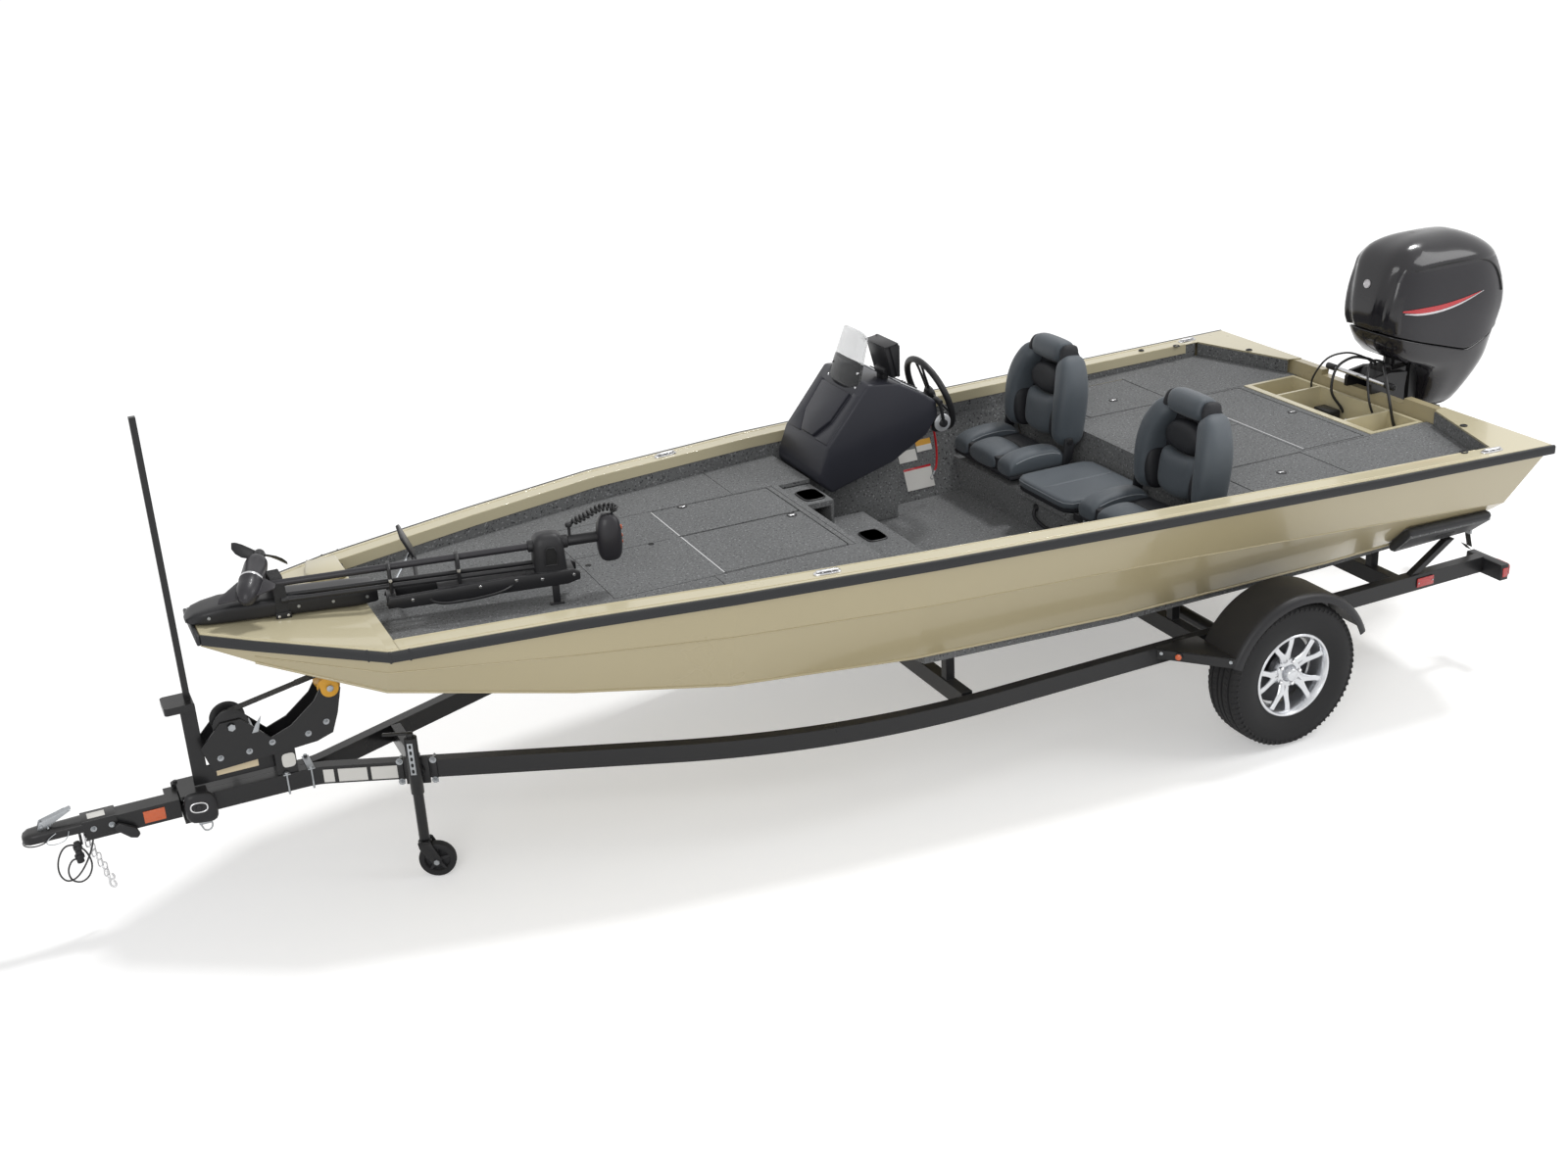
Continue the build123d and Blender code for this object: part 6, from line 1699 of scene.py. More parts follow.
def buildWinch():
    winchX, winchZ = frontSizes["winch"]
    centre = spot(winchX, 0, winchZ)
    side = Vector((0, 1, 0))
    bm = bmesh.new()
    for y, outer in ((-0.0415, -1), (0.0385, 1)):
        addLathe(bm, [(0.0, 0.012), (0.0, 0.0665), (0.0012, 0.068), (0.0022, 0.068), (0.0032, 0.0665),
                      (0.0032, 0.012), (0.0, 0.012)], spot(winchX, y, winchZ), side, steps=56)
    teeth = 34
    addLathe(bm, [(0.0, 0.012), (0.0, 0.056), (0.005, 0.056), (0.005, 0.012), (0.0, 0.012)],
             spot(winchX, -0.0495, winchZ), side, steps=48)
    for tooth in range(teeth):
        angle = 2 * pi * tooth / teeth
        outward = Vector((cos(angle), 0, sin(angle)))
        root = spot(winchX, -0.0495, winchZ) + outward * 0.0545
        addRod(bm, root, root + outward * 0.008, 0.0034, segments=6, endRadius=0.0018)
    addLathe(bm, [(-0.066, 0.0), (-0.066, 0.0095), (0.066, 0.0095), (0.066, 0.0)], centre, side, steps=20,
             finish=1)
    for y in (-0.060, 0.058):
        addRod(bm, spot(winchX, y, winchZ), spot(winchX, y + (0.007 if y > 0 else -0.007), winchZ), 0.015,
               finish=1, segments=6)
    arm = [(winchX - 0.011, winchZ + 0.013), (winchX + 0.011, winchZ + 0.013),
           (winchX + 0.010, winchZ - 0.188), (winchX - 0.010, winchZ - 0.188)]
    addPlate(bm, upright(-0.0755, arm), (0, 0.0075, 0), finish=1, rounding=0.002)
    addLathe(bm, [(-0.044, 0.0), (-0.044, 0.010), (-0.034, 0.0135), (0.0, 0.0145), (0.034, 0.0125),
                  (0.042, 0.009), (0.042, 0.0)], spot(winchX, -0.120, winchZ - 0.176), side, finish=2,
             steps=24)
    newPiece("winchDrum", bm, ["framePaint", "zincSteel", "blackPlastic"], "winch_drum",
             smooth=40, replaces=["winch_drum"])
    bm = bmesh.new()
    spiral = []
    for step in range(150):
        angle = radians(step * 12)
        radius = 0.026 + 0.0155 * step / 149
        spiral.append((cos(angle) * radius, sin(angle) * radius))
    for turn in range(5):
        addLathe(bm, [(-0.0225, 0.0255 + turn * 0.0036), (-0.0225, 0.0285 + turn * 0.0036),
                      (0.0225, 0.0285 + turn * 0.0036), (0.0225, 0.0255 + turn * 0.0036)], centre, side,
                 steps=40)
    newPiece("winchWinding", bm, ["webbing"], "winch_drum", smooth=40)
    bm = bmesh.new()
    addPlate(bm, upright(-0.022, ((5.604, 0.7878), (5.262, 0.8545), (5.262, 0.8570), (5.604, 0.7903))),
             (0, 0.044, 0))
    addPlate(bm, upright(-0.0235, ((5.340, 0.8385), (5.262, 0.8535), (5.262, 0.8580), (5.340, 0.8435))),
             (0, 0.047, 0), rounding=0.0005)
    newPiece("winchStrap", bm, ["webbing"], "frame", smooth=40, replaces=["winch_strap"])
    bm = bmesh.new()
    hook = [(5.272, 0.8560), (5.258, 0.8590), (5.240, 0.8630), (5.229, 0.8620), (5.226, 0.8545),
            (5.234, 0.8500)]
    addPipe(bm, upright(0.0, hook), 0.0048)
    addPipe(bm, [spot(5.270, y, z) for y, z in ((-0.022, 0.8555), (0.0, 0.8575), (0.022, 0.8555))], 0.0035)
    for x, z in ((5.470, 0.640), (5.560, 0.625), (5.670, 0.625), (5.330, 0.640), (5.255, 0.672)):
        for y in (0.052, -0.052):
            addBolt(bm, spot(x, y, z), (0, 1 if y > 0 else -1, 0), 0.0085, finish=1)
    addRod(bm, spot(winchX - 0.075, -0.050, winchZ - 0.030), spot(winchX - 0.075, 0.050, winchZ - 0.030),
           0.007, segments=16, finish=1)
    addPlate(bm, upright(0.0535, ((winchX - 0.095, winchZ - 0.045), (winchX - 0.115, winchZ + 0.020),
                                  (winchX - 0.088, winchZ - 0.012), (winchX - 0.070, winchZ - 0.045))),
             (0, 0.005, 0), finish=1, rounding=0.001)
    newPiece("winchFittings", bm, ["zincSteel", "zincSteel"], "frame", smooth=40)


def buildRoller():
    rollerX, rollerZ = frontSizes["roller"]
    centre = spot(rollerX, 0, rollerZ)
    bm = bmesh.new()
    addLathe(bm, [(-0.0395, 0.011), (-0.0395, 0.043), (-0.037, 0.0455), (-0.026, 0.042), (-0.008, 0.036),
                  (0.008, 0.036), (0.026, 0.042), (0.037, 0.0455), (0.0395, 0.043), (0.0395, 0.011),
                  (-0.0395, 0.011)], centre, (0, 1, 0), steps=40)
    addLathe(bm, [(-0.0645, 0.0), (-0.0645, 0.0098), (0.0645, 0.0098), (0.0645, 0.0)], centre, (0, 1, 0),
             steps=20, finish=1)
    newPiece("bowRoller", bm, ["rollerYellow", "zincSteel"], "bow_roller", smooth=50,
             replaces=["bow_roller"])
    bm = bmesh.new()
    cheek = [(rollerX + 0.036 * cos(radians(a)), rollerZ - 0.004 + 0.036 * sin(radians(a)))
             for a in range(170, 361, 19)]
    cheek += [(rollerX + 0.040, rollerZ + 0.032), (rollerX + 0.020, rollerZ + 0.044),
              (rollerX - 0.026, rollerZ + 0.036)]
    for y in (0.0528, -0.0598):
        addPlate(bm, upright(y, cheek), (0, 0.007, 0), rounding=0.002)
    for side in (1, -1):
        addLathe(bm, [(0.0, 0.0), (0.0, 0.013), (0.004, 0.013), (0.006, 0.008), (0.006, 0.0)],
                 spot(rollerX, side * 0.0648, rollerZ), (0, side, 0), finish=1, steps=20)
    newPiece("rollerCheeks", bm, ["rollerYellow", "zincSteel"], "frame", smooth=45)


def buildJack():
    sizes = frontSizes
    out = sizes["jackOut"]
    beside = (jackSpot(0, 1, 0) - jackSpot(0, 0, 0)).normalized()
    aft = (jackSpot(1, 0, 0) - jackSpot(0, 0, 0)).normalized()
    bm = bmesh.new()
    addLathe(bm, [(0.013, 0.0206), (0.013, 0.032), (0.033, 0.032), (0.033, 0.0206), (0.013, 0.0206)],
             jackSpot(0, 0, 0.450), beside, steps=36)
    addRod(bm, jackSpot(0, out, 0.376), jackSpot(0, out, 0.624), 0.026, segments=36, rounding=0.002)
    addRod(bm, jackSpot(0, out, 0.169), jackSpot(0, out, 0.380), 0.021, segments=36)
    addRod(bm, jackSpot(0, out, 0.622), jackSpot(0, out, 0.644), 0.0138, segments=24, rounding=0.003)
    addRod(bm, jackSpot(0, out, 0.1578), jackSpot(0, out, 0.1689), 0.0118, segments=24)
    arm = [(-0.106, 0.635), (0.006, 0.635), (0.006, 0.645), (-0.106, 0.645)]
    addPlate(bm, jackLine(out - 0.0075, arm), beside * 0.015, rounding=0.002)
    newPiece("jackLeg", bm, ["framePaint"], "jack", smooth=45, replaces=["jack_leg"])
    bm = bmesh.new()
    addPlate(bm, jackLine(out + 0.0262, ((-0.011, 0.470), (0.011, 0.470), (0.011, 0.608), (-0.011, 0.608))),
             beside * 0.0022, rounding=0.0006)
    # Near-black rounded plates along the strip: painted shade in its holes
    for step in range(5):
        z = 0.486 + step * 0.027
        ring = roundRect(jackSpot(0, out + 0.0285, z), aft, Vector((0, 0, 1)), 0.0052, 0.0085, power=3,
                         count=16)
        addPlate(bm, ring, beside * 0.0003, finish=1)
    addPlate(bm, jackLine(0.0336, ((-0.020, 0.421), (0.020, 0.421), (0.020, 0.437), (-0.020, 0.437))),
             beside * 0.004, rounding=0.001)
    newPiece("jackStrip", bm, ["zincSteel", "shadowBlack"], "jack")
    bm = bmesh.new()
    addPlate(bm, jackLine(0.0005, ((-0.048, 0.391), (0.048, 0.391), (0.048, 0.509), (-0.048, 0.509))),
             beside * 0.008, rounding=0.002)
    addLathe(bm, [(0.008, 0.0), (0.008, 0.0198), (0.022, 0.0198), (0.022, 0.0)], jackSpot(0, 0, 0.450),
             beside, steps=32)
    for a in (-0.066, 0.066):
        for z in (0.4045, 0.4935):
            addRod(bm, jackSpot(a, -0.040, z), jackSpot(a, 0.012, z), 0.0052, finish=1, segments=12)
            addBolt(bm, jackSpot(a, 0.0085, z), beside, 0.0095, finish=1)
        addBox(bm, jackSpot(a, 0.004, 0.449) - Vector((0.012, 0.004, 0.056)),
               jackSpot(a, 0.004, 0.449) + Vector((0.012, 0.004, 0.056)), 0.001,
               turn=Matrix.Rotation(-sizes["jackLean"], 4, "Z"))
    newPiece("jackBracket", bm, ["framePaint", "zincSteel"], "frame", smooth=40,
             replaces=["jack_mount"])
    bm = bmesh.new()
    addLathe(bm, [(-0.0155, 0.0125), (-0.0155, 0.026), (-0.013, 0.027), (0.002, 0.027), (0.004, 0.025),
                  (0.004, 0.0125), (-0.0155, 0.0125)], jackSpot(0, out, 0.157), (0, 0, 1), steps=32)
    side = [(-0.024, 0.164), (0.026, 0.164), (0.060, 0.092), (0.056, 0.064), (0.044, 0.058), (0.030, 0.062),
            (-0.020, 0.138)]
    for low in (-0.034, 0.0285):
        addPlate(bm, jackLine(out + low, side), beside * 0.0055, rounding=0.0015)
        addPlate(bm, jackLine(out + (low if low < 0 else 0.020), ((-0.022, 0.157), (0.022, 0.157),
                (0.022, 0.166), (-0.022, 0.166))), beside * 0.014, rounding=0.001)
    addRod(bm, jackSpot(sizes["jackTrail"], out - 0.038, sizes["jackWheel"]),
           jackSpot(sizes["jackTrail"], out + 0.038, sizes["jackWheel"]), 0.0078, finish=1, segments=16)
    for reach in (-0.036, 0.036):
        bolt = jackSpot(sizes["jackTrail"], out + reach, sizes["jackWheel"])
        addRod(bm, bolt - beside * 0.003, bolt + beside * 0.003, 0.012, finish=1, segments=6)
    newPiece("jackFork", bm, ["framePaint", "zincSteel"], "caster", smooth=40,
             replaces=["jack_fork"])
    bm = bmesh.new()
    wheel = jackSpot(sizes["jackTrail"], out, sizes["jackWheel"])
    addLathe(bm, [(-0.020, 0.052), (-0.0205, 0.066), (-0.017, 0.0725), (-0.008, 0.075), (0.008, 0.075),
                  (0.017, 0.0725), (0.0205, 0.066), (0.020, 0.052), (0.012, 0.048), (-0.012, 0.048),
                  (-0.020, 0.052)], wheel, beside, steps=48)
    addLathe(bm, [(-0.021, 0.009), (-0.021, 0.018), (-0.017, 0.021), (0.017, 0.021), (0.021, 0.018),
                  (0.021, 0.009), (-0.021, 0.009)], wheel, beside, steps=28, finish=1)
    addLathe(bm, [(-0.003, 0.018), (-0.003, 0.050), (0.003, 0.050), (0.003, 0.018), (-0.003, 0.018)], wheel,
             beside, steps=40, finish=1)
    for spoke in range(5):
        turned = Matrix.Rotation(2 * pi * spoke / 5, 4, beside)
        for face in (1, -1):
            ends = [wheel + turned @ (Vector((0, 0, 1)) * reach) + beside * (face * 0.009)
                    for reach in (0.018, 0.050)]
            addLoft(bm, [roundRect(end, turned @ aft, beside, wide, 0.0075, power=4, count=12)
                         for end, wide in zip(ends, (0.008, 0.006))], finish=1)
    newPiece("jackWheel", bm, ["tyreRubber", "blackPlastic"], "jack_wheel", smooth=45,
             replaces=["jack_wheel"])


buildCoupler()
harnessLead = buildHarness()
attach(harnessLead, "tongue")
buildHingeCover()
buildWinch()
buildRoller()
buildJack()
print("trailer front made")


# Hull trim: rounded rub rail, pressed creases, bead along the caps
hullSizes = {
    # station, keel height, chine, knuckle and sheer as half breadth and height
    "lines": [(0.0, 0.505, 0.780, 0.650, 0.968, 0.800, 1.154, 1.118),
              (0.9, 0.505, 0.765, 0.620, 0.948, 0.848, 1.098, 1.127),
              (2.0, 0.505, 0.750, 0.620, 0.912, 0.905, 1.020, 1.145),
              (3.0, 0.512, 0.735, 0.660, 0.860, 0.935, 0.932, 1.158),
              (3.8, 0.530, 0.690, 0.725, 0.770, 0.962, 0.822, 1.160),
              (4.4, 0.585, 0.580, 0.805, 0.648, 0.985, 0.690, 1.148),
              (5.07, 0.765, 0.405, 0.905, 0.478, 1.012, 0.544, 1.122),
              (5.5, 1.025, 0.225, 1.062, 0.236, 1.090, 0.255, 1.160),
              (5.67, 1.118, 0.118, 1.126, 0.126, 1.140, 0.136, 1.178)],
    "railThick": 0.0088,
    "railHalf": 0.0205,
    "bead": 0.0028,
    "crease": 0.0035,
}


def hullAt(station):
    rows = hullSizes["lines"]
    return [between([(row[0], row[index]) for row in rows], station) for index in range(8)]


def guideCorner(station, along, out):
    chineY, chineZ, knuckleY, knuckleZ = hullAt(station)[2:6]
    length = hypot(knuckleY - chineY, knuckleZ - chineZ)
    across, up = (knuckleY - chineY) / length, (knuckleZ - chineZ) / length
    return chineY + across * along + up * out, chineZ + up * along - across * out


def buildHullTrim():
    sizes = hullSizes
    bm = bmesh.new()
    for side in (1, -1):
        rings = []
        for row in sizes["lines"]:
            station, y, z = row[0], row[6], row[7]
            lean = -0.003 if station == 0 else 0.0
            rings.append(roundRect(spot(station + lean, side * (y + 0.0093), z - 0.016), (0, 1, 0),
                                   (0, 0, 1), sizes["railThick"], sizes["railHalf"], power=4, count=16))
        addLoft(bm, rings)
        for station in (5.0, 5.07, 5.14):
            row = hullAt(station)
            addBox(bm, spot(station - 0.004, side * (row[6] + 0.0092) - 0.0096, row[7] - 0.038),
                   spot(station + 0.004, side * (row[6] + 0.0092) + 0.0096, row[7] + 0.0055), 0.002)
    addBox(bm, spot(5.6705, -0.153, 1.1415), spot(5.686, 0.153, 1.1830), 0.006)
    newPiece("rubRail", bm, ["rubTrim"], "frame", smooth=50, replaces=["rub_rail"])
    bm = bmesh.new()
    for side in (1, -1):
        for inset in (0.020, 0.0965):
            line = [spot(row[0], side * (row[6] - inset), row[7] + 0.0045)
                    for row in (hullAt(x) for x in (0.335, 0.9, 2.0, 3.0, 3.8, 4.4, 5.025))]
            addPipe(bm, line, sizes["bead"], curved=False)
        line = [spot(row[0], side * (row[6] - 0.018), row[7] + 0.0045)
                for row in (hullAt(x) for x in (5.035, 5.07, 5.5, 5.66))]
        addPipe(bm, line, sizes["bead"], curved=False)
    # The beads take the caps' tan, with its painted light
    newPiece("capBeads", bm, ["capTanPaintedLight"], "frame", smooth=60)
    bm = bmesh.new()
    for side in (1, -1):
        for share, start in ((0.36, 0.08), (0.70, 0.08)):
            line = []
            for station in (start, 0.9, 2.0, 3.0, 3.8, 4.4, 5.0):
                row = hullAt(station)
                line.append(spot(station, side * row[2] * share, row[1] + (row[3] - row[1]) * share - 0.001))
            addPipe(bm, line, 0.007, curved=False)
        for index in (2, 4):
            line = [spot(row[0], side * row[index], row[index + 1])
                    for row in (hullAt(x) for x in (0.10, 0.9, 2.0, 3.0, 3.8, 4.4, 5.07, 5.5))]
            addPipe(bm, line, sizes["crease"] if index == 4 else 0.006, curved=False)
        seam = [spot(5.032, side * y, z) for y, z in ((hullAt(5.032)[6] - 0.004, 1.1275),
                (hullAt(5.032)[6] - 0.096, 1.1275))]
        addPipe(bm, seam, 0.0012, curved=False)
    newPiece("hullCreases", bm, ["hullPaint"], "frame", smooth=60)
    bm = bmesh.new()
    for side in (1, -1):
        rings = []
        for station, shrink in ((0.0880, 0.55), (0.092, 0.85), (0.104, 1.0), (0.22, 1.03), (0.42, 1.03),
                                (0.538, 1.0), (0.550, 0.85), (0.554, 0.55)):
            y, z = guideCorner(station, 0.097, 0.026)
            yUp, zUp = guideCorner(station, 0.197, 0.026)
            up = Vector((0, side * (yUp - y), zUp - z)).normalized()
            out = Vector((0, side * up.z, -up.y)).normalized()
            rings.append(roundRect(spot(station, side * y, z), up, out, 0.088 * (0.8 + 0.2 * shrink),
                                   0.0255 * shrink, power=3.4, count=24))
        addLoft(bm, rings)
        # Near-black plate on each pad: painted shade of its slot
        y, z = guideCorner(0.30, 0.100, 0.0515)
        up = Vector((0, side * (guideCorner(0.30, 0.2, 0)[0] - guideCorner(0.30, 0.1, 0)[0]),
                     guideCorner(0.30, 0.2, 0)[1] - guideCorner(0.30, 0.1, 0)[1])).normalized()
        out = Vector((0, side * abs(up.z), -abs(up.y)))
        slot = roundRect(spot(0.30, side * y, z) + out * 0.0002, (1, 0, 0), up, 0.060, 0.016, power=4,
                         count=24)
        addPlate(bm, slot, out * 0.0012, finish=1)
    newPiece("guidePads", bm, ["rubTrim", "shadowBlack"], "frame", smooth=55)


def buildLamps():
    bm = bmesh.new()
    for side in (1, -1):
        addSideBox(bm, side, (-0.0295, 0.018), (0.746, 0.964), (0.401, 0.479), 0.003, finish=1)
        addSideBox(bm, side, (-0.036, -0.0298), (0.851, 0.959), (0.4065, 0.4735), 0.003, finish=1)
        middle = spot(-0.044, side * 0.905, 0.440)
        addLoft(bm, [roundRect(middle + Vector((0.0085 - along, 0, 0)), (0, 1, 0), (0, 0, 1), 0.050 * share,
                               0.031 * share, power=6, count=32) for along, share in ((0.0, 1.0),
                (0.0105, 1.0), (0.0145, 0.94), (0.0158, 0.82))])
        for step in range(6):
            z = 0.418 + step * 0.0088
            addBox(bm, middle + Vector((-0.0088, -0.040, z - 0.4413)),
                   middle + Vector((-0.0076, 0.040, z - 0.4387)), 0.0004)
        addSideBox(bm, side, (-0.022, 0.008), (0.9645, 0.968), (0.418, 0.462), 0.0012)
        addSideBox(bm, side, (0.331, 0.429), (0.8606, 0.8665), (0.4255, 0.4695), 0.0025)
        for x in (0.339, 0.421):
            addRod(bm, spot(x, side * 0.866, 0.4475), spot(x, side * 0.8682, 0.4475), 0.0042, finish=2,
                   segments=16, rounding=0.0006)
        for z in (0.414, 0.466):
            addBolt(bm, spot(0.004, side * 0.800, z) + Vector((0.0145, 0, 0)), (1, 0, 0), 0.006, finish=2)
    newPiece("tailLamps", bm, ["lampRed", "blackPlastic", "zincSteel"], "frame", smooth=40,
             replaces=["lamps"])
    bm = bmesh.new()
    for side in (1, -1):
        for x0, z0, x1, z1 in ((0.012, 0.640, 0.006, 0.500), (0.006, 0.500, 0.010, 0.488)):
            addPlate(bm, [spot(x0 - 0.006, side * 0.690, z0), spot(x0 - 0.006, side * 0.722, z0),
                          spot(x1 - 0.006, side * 0.760, z1), spot(x1 - 0.006, side * 0.728, z1)],
                     (0.0028, 0, 0))
        addBox(bm, spot(-0.004, side * 0.725 - 0.024, 0.560), spot(0.010, side * 0.725 + 0.024, 0.592),
               0.003, finish=1)
        ring = roundRect(spot(0.006, side * 0.705, 0.648), (0, 1, 0), (0, 0, 1), 0.018, 0.013, power=2.2,
                         count=20)
        addPipe(bm, ring + ring[:1], 0.0035, finish=1, curved=False)
    newPiece("tieDownStraps", bm, ["webbing", "zincSteel"], "frame", smooth=40)


def addCleat(bm, station, side):
    row, ahead = hullAt(station), hullAt(station + 0.1)
    slope = Vector((0.1, side * (ahead[6] - row[6]), ahead[7] - row[7])).normalized()
    across = Vector((0, 0, 1)).cross(slope).normalized()
    centre = spot(station, side * (row[6] - 0.052), row[7] + 0.0052)
    up = slope.cross(across)
    addLoft(bm, [roundRect(centre + up * rise, slope, across, 0.056 * share, 0.019 * share, power=3,
                           count=28) for share, rise in ((1.0, -0.0005), (1.0, 0.003), (0.95, 0.0055),
            (0.80, 0.006))])
    addLoft(bm, [roundRect(centre + slope * along + up * 0.0112, up, across, 0.0045 * share, 0.0085 * share,
                           power=2.4, count=16) for along, share in ((-0.046, 0.5), (-0.042, 0.9),
            (-0.020, 1.0), (0.020, 1.0), (0.042, 0.9), (0.046, 0.5))])
    for along in (-0.018, 0.018):
        addRod(bm, centre + slope * along + up * 0.004, centre + slope * along + up * 0.011, 0.006,
               segments=14)


def buildDeckFittings():
    bm = bmesh.new()
    for side in (1, -1):
        for station in (3.420, 0.285):
            addCleat(bm, station, side)
    addPlate(bm, upright(-0.006, ((5.2252, 0.8585), (5.2745, 0.8585), (5.2745, 0.8695), (5.2450, 0.8695))),
             (0, 0.012, 0), rounding=0.001)
    newPiece("cleatSet", bm, ["brightSteel"], "frame", smooth=45, replaces=["cleats"])
    bm = bmesh.new()
    for x, y, z, radius in ((0.395, -1.030, 1.127, 0.019), (0.130, -0.760, 1.1245, 0.017),
                            (0.395, 1.030, 1.127, 0.019), (0.130, 0.760, 1.1245, 0.017),
                            (0.60, -1.060, 1.1305, 0.015)):
        addLathe(bm, [(0.0, 0.0), (0.0, radius), (0.003, radius), (0.0045, radius - 0.003),
                      (0.0045, radius * 0.72), (0.001, radius * 0.66), (0.001, 0.0)], spot(x, y, z),
                 (0, 0, 1), steps=28)
    # Near-black discs on the deck: painted shade in the finger holes
    for x, y in ((3.790, -0.100), (4.10, -0.02)):
        addLathe(bm, [(0.0, 0.0), (0.0, 0.013), (0.0012, 0.013), (0.0012, 0.0)], spot(x, y, 1.0502),
                 (0, 0, 1), finish=1, steps=24)
    newPiece("deckSockets", bm, ["blackPlastic", "shadowBlack"], "frame", smooth=40)
    for name, body, x, y in (("latchBowCentre", "hatch_bow_centre", 3.505, -0.440),
                             ("latchBowPort", "hatch_bow_port", 3.140, -0.080),
                             ("latchAftCentre", "hatch_aft_centre", 0.474, 0.0),
                             ("latchAftPort", "hatch_aft_port", 1.070, 0.640),
                             ("latchAftStarboard", "hatch_aft_starboard", 1.070, -0.640)):
        bm = bmesh.new()
        place = spot(x, y, 1.0500)
        addLathe(bm, [(0.0, 0.0), (0.0, 0.023), (0.0018, 0.023), (0.0032, 0.0205), (0.0022, 0.0175),
                      (0.0022, 0.0)], place, (0, 0, 1), steps=36)
        addLoft(bm, [roundRect(place + Vector((0, 0, rise)), (1, 0, 0), (0, 1, 0), 0.0155 * share,
                               0.0060 * share, power=4, count=20)
                     for rise, share in ((0.0015, 1.0), (0.0034, 1.0), (0.0040, 0.85))], finish=1)
        newPiece(name, bm, ["blackPlastic", "brightSteel"], body, smooth=40)
    bm = bmesh.new()
    # Near-black strips along the seams and hatch gaps: painted shade
    seams = [((3.055, -0.462), (4.130, -0.462)), ((3.055, 0.362), (4.130, 0.362)),
             ((4.130, -0.462), (4.130, 0.362)), ((3.700, -0.112), (4.130, -0.112)),
             ((3.060, -0.462), (3.060, 0.362)), ((4.130, -0.040), (4.980, -0.040)),
             ((3.250, -0.800), (3.250, -0.462)), ((3.700, 0.362), (3.700, 0.690)),
             ((0.800, -0.470), (0.800, 0.470)), ((0.410, 0.470), (1.440, 0.470)),
             ((0.410, -0.470), (1.440, -0.470)), ((0.800, 0.0), (1.440, 0.0))]
    for (x0, y0), (x1, y1) in seams:
        low, high = spot(min(x0, x1) - 0.0014, min(y0, y1) - 0.0014, 1.0498), spot(max(x0, x1) + 0.0014,
                max(y0, y1) + 0.0014, 1.0503)
        addBox(bm, low, high)
    newPiece("carpetSeams", bm, ["shadowBlack"], "frame")
    bm = bmesh.new()
    for (x0, x1), (y0, y1), z in (((2.735, 2.835), (-0.075, 0.060), 0.9),
                                  ((2.888, 2.995), (-0.372, -0.232), 1.03)):
        middleX, middleY = (x0 + x1) / 2, (y0 + y1) / 2
        long, wide = (x1 - x0) / 2, (y1 - y0) / 2
        addLoft(bm, [roundRect(spot(middleX, middleY, z + rise), (1, 0, 0), (0, 1, 0), long * share,
                               wide * share, power=5, count=32) for rise, share in ((0.0002, 1.0),
                (0.004, 1.0), (0.006, 0.96), (0.006, 0.90), (0.0012, 0.87), (0.0012, 0.70))])
        # Near-black rimmed discs: painted shade in the cup holders
        for offset in (-0.030, 0.030):
            addLathe(bm, [(0.0012, 0.0), (0.0012, 0.024), (0.0040, 0.0255), (0.0040, 0.0285),
                          (0.0012, 0.0300)], spot(middleX, middleY + offset, z), (0, 0, 1), finish=1,
                     steps=28)
    newPiece("cupTrays", bm, ["blackPlastic", "shadowBlack"], "frame", smooth=40)
    bm = bmesh.new()
    handle = ((1.880, -0.090, 0.820), (1.900, -0.086, 0.806), (1.907, -0.060, 0.776), (1.907, 0.020, 0.760),
              (1.907, 0.090, 0.766), (1.898, 0.122, 0.780), (1.880, 0.126, 0.786))
    addPipe(bm, [spot(x, y, z) for x, y, z in handle], 0.009)
    for y, z in ((-0.090, 0.820), (0.126, 0.786)):
        addRod(bm, spot(1.879, y, z), spot(1.888, y, z), 0.018, segments=20, rounding=0.003)
    addBox(bm, spot(1.8795, 0.225, 0.862), spot(1.889, 0.290, 0.896), 0.003)
    newPiece("boxHandles", bm, ["blackPlastic"], "frame", smooth=45)


def wallSpot(station, z, out=0.0):
    # Point on the inner face of the starboard cockpit side
    low, high = between([(1.464, 0.766), (2.0, 0.7625), (3.01, 0.729)],
                        station), between([(1.464, 0.9665), (2.0, 0.9243), (3.01, 0.8352)], station)
    share = (z - 0.680) / (1.032 - 0.680)
    slope = Vector((0, 1.032 - 0.680, (high - low))).normalized()
    return spot(station, -(low + (high - low) * share), z) + slope * out


def buildLabels():
    bm = bmesh.new()
    # fore and aft station, low and high edge, finish
    sheets = (
        (2.078, 1.990, 0.905, 0.932, 0), (2.078, 1.990, 0.932, 0.958, 1), (2.190, 2.086, 0.872, 0.925, 0),
        (2.178, 2.020, 0.742, 0.832, 0), (2.178, 2.020, 0.832, 0.842, 2),
    )
    for fore, aft, low, high, finish in sheets:
        corners = ((fore, low), (aft, low), (aft, high), (fore, high))
        addPlate(bm, [wallSpot(station, z, 0.0008) for station, z in corners], (0, 0.0004, 0), finish=finish)
    newPiece("cockpitLabels", bm, ["blankLabel", "rollerYellow", "stripeRed"], "frame")
    bm = bmesh.new()
    route = ((2.095, -0.690, 1.120), (2.092, -0.690, 1.098), (2.072, -0.698, 1.050), (2.058, -0.704, 0.960),
             (2.060, -0.704, 0.885), (2.072, -0.702, 0.855))
    points = [spot(*point) for point in route]
    path = curveThrough(points, 10)
    addPipe(bm, path, 0.0055, curved=False)
    lanyard = newPiece("stopLanyard", bm, ["lanyardRed"], "frame", smooth=80)
    bm = bmesh.new()
    addRod(bm, points[-1] + Vector((-0.002, 0, 0.002)), points[-1] + Vector((0.010, 0.002, -0.016)), 0.0065,
           segments=16, rounding=0.001)
    addPipe(bm, [points[-1] + Vector(v) for v in ((0.010, 0.002, -0.014), (0.022, 0.002, -0.020),
            (0.024, 0.002, -0.036), (0.012, 0.002, -0.042), (0.006, 0.002, -0.030))], 0.0022)
    newPiece("lanyardClip", bm, ["zincSteel"], "frame", smooth=45)


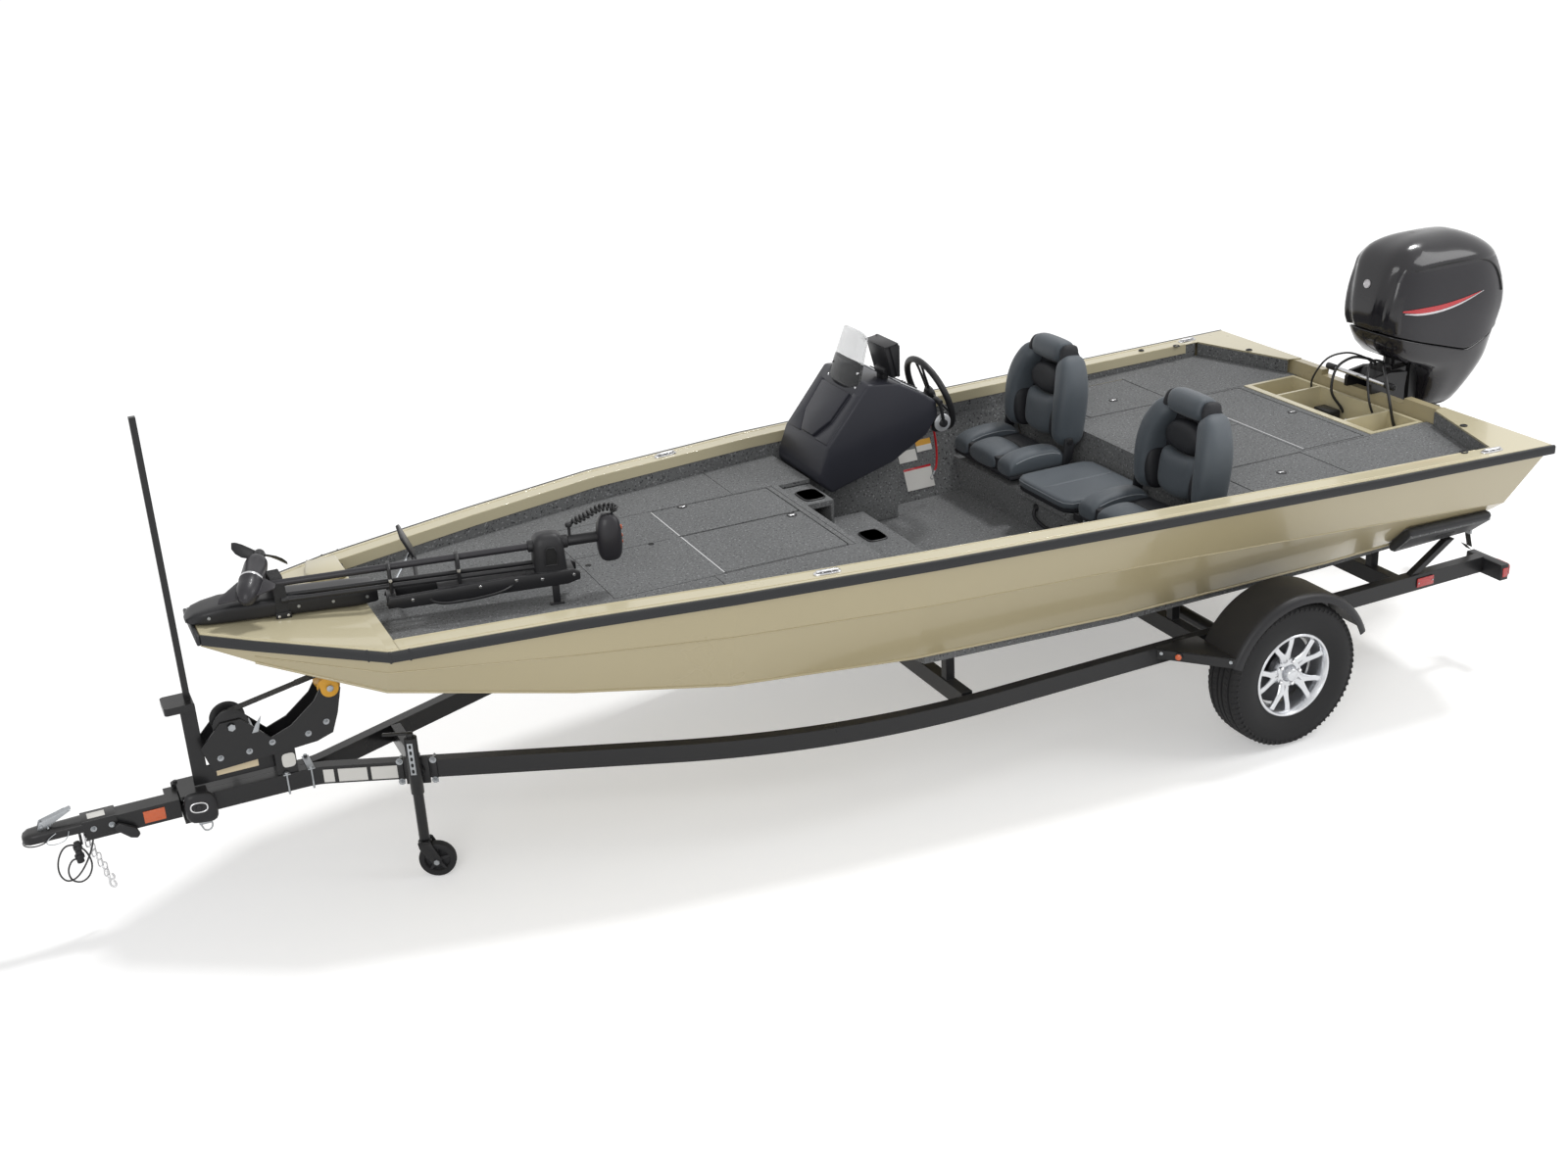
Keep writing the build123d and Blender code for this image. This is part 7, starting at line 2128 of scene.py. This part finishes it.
def buildStern():
    bm = bmesh.new()
    for side in (1, -1):
        addRod(bm, spot(0.020, side * 0.052, 0.760), spot(-0.052, side * 0.052, 0.930), 0.017, segments=24,
               rounding=0.002)
        addRod(bm, spot(-0.052, side * 0.052, 0.930), spot(-0.078, side * 0.052, 0.990), 0.009, finish=1,
               segments=20)
    addRod(bm, spot(0.060, -0.235, 1.158), spot(0.060, 0.235, 1.158), 0.011, finish=1, segments=24)
    for y in (-0.205, 0.205):
        addRod(bm, spot(0.060, y - 0.03, 1.158), spot(0.060, y + 0.03, 1.158), 0.0165, segments=24,
               rounding=0.003)
    newPiece("tiltRams", bm, ["blackPlastic", "brightSteel"], "frame", smooth=45)
    bm = bmesh.new()
    for x, y, long, wide, tall in ((0.150, -0.120, 0.035, 0.060, 0.050), (0.270, 0.160, 0.030, 0.030, 0.070)):
        addBox(bm, spot(x - long, y - wide, 0.9302), spot(x + long, y + wide, 0.9302 + tall), 0.008)
    addRod(bm, spot(0.270, 0.160, 0.998), spot(0.270, 0.160, 1.020), 0.014, finish=1, segments=24,
           rounding=0.003)
    for y in (-0.400, 0.400):
        addLathe(bm, [(0.0, 0.0), (0.0, 0.020), (0.003, 0.020), (0.004, 0.015), (0.001, 0.012),
                      (0.001, 0.0)], spot(0.3662, y, 0.990), (-1, 0, 0), finish=1, steps=24)
    newPiece("wellFittings", bm, ["blackPlastic", "brightSteel"], "frame", smooth=45)
    routes = {
        "steeringHose": (0.0075, [(0.100, 0.300, 0.985), (0.112, 0.298, 1.010), (0.130, 0.285, 1.110),
                                  (0.108, 0.225, 1.210), (0.045, 0.140, 1.236), (-0.025, 0.090, 1.220),
                                  (-0.060, 0.070, 1.200), (-0.066, 0.066, 1.184)]),
        "batteryLead": (0.0060, [(0.100, 0.180, 0.965), (0.114, 0.180, 0.990), (0.155, 0.175, 1.090),
                                 (0.130, 0.125, 1.205), (0.060, 0.070, 1.250), (-0.020, 0.045, 1.232),
                                 (-0.056, 0.036, 1.204), (-0.062, 0.034, 1.186)]),
        "fuelHose": (0.0070, [(0.100, -0.060, 0.965), (0.114, -0.062, 0.992), (0.165, -0.080, 1.080),
                              (0.140, -0.085, 1.190), (0.070, -0.060, 1.240), (-0.010, -0.040, 1.228),
                              (-0.055, -0.034, 1.204), (-0.062, -0.032, 1.186)]),
        "shiftCable": (0.0050, [(0.100, -0.280, 0.985), (0.112, -0.278, 1.008), (0.140, -0.250, 1.100),
                                (0.110, -0.190, 1.210), (0.040, -0.130, 1.244), (-0.030, -0.085, 1.222),
                                (-0.060, -0.066, 1.198), (-0.066, -0.062, 1.184)]),
    }
    for name, (radius, route) in routes.items():
        path = curveThrough([spot(*point) for point in route], 12)
        bm = bmesh.new()
        addPipe(bm, path, radius, curved=False, around=10)
        hose = newPiece(name, bm, ["cableBlack"], None, smooth=80)
        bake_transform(hose)


def buildQuarterCarpet():
    bm = bmesh.new()
    for side in (1, -1):
        start, end = (0.072, 0.5195), (0.2495, hullAt(0.25)[6] - 0.1005)
        inward = Vector((end[1] - start[1], -side * (end[0] - start[0]), 0)).normalized() * 0.0016
        corners = [spot(start[0], side * start[1], 1.0506), spot(end[0], side * end[1], 1.0506),
                   spot(end[0], side * end[1], 1.1165), spot(start[0], side * start[1], 1.1165)]
        addPlate(bm, [corner + inward * 0.4 for corner in corners], inward)
    newPiece("quarterCarpet", bm, ["deckCarpet"], "frame")


def settle(piece):
    # The mesh takes its own modifiers and is final
    view = bpy.context.evaluated_depsgraph_get()
    mesh = bpy.data.meshes.new_from_object(piece.evaluated_get(view))
    piece.modifiers.clear()
    piece.data = mesh


def finishPads():
    for word in ("left", "right"):
        cushion = bpy.data.objects["cushionPads." + word]
        settle(cushion)
        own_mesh(cushion)


buildHullTrim()
buildQuarterCarpet()
finishPads()
buildLamps()
buildDeckFittings()
buildLabels()
buildStern()
print("hull, deck and stern fittings made")
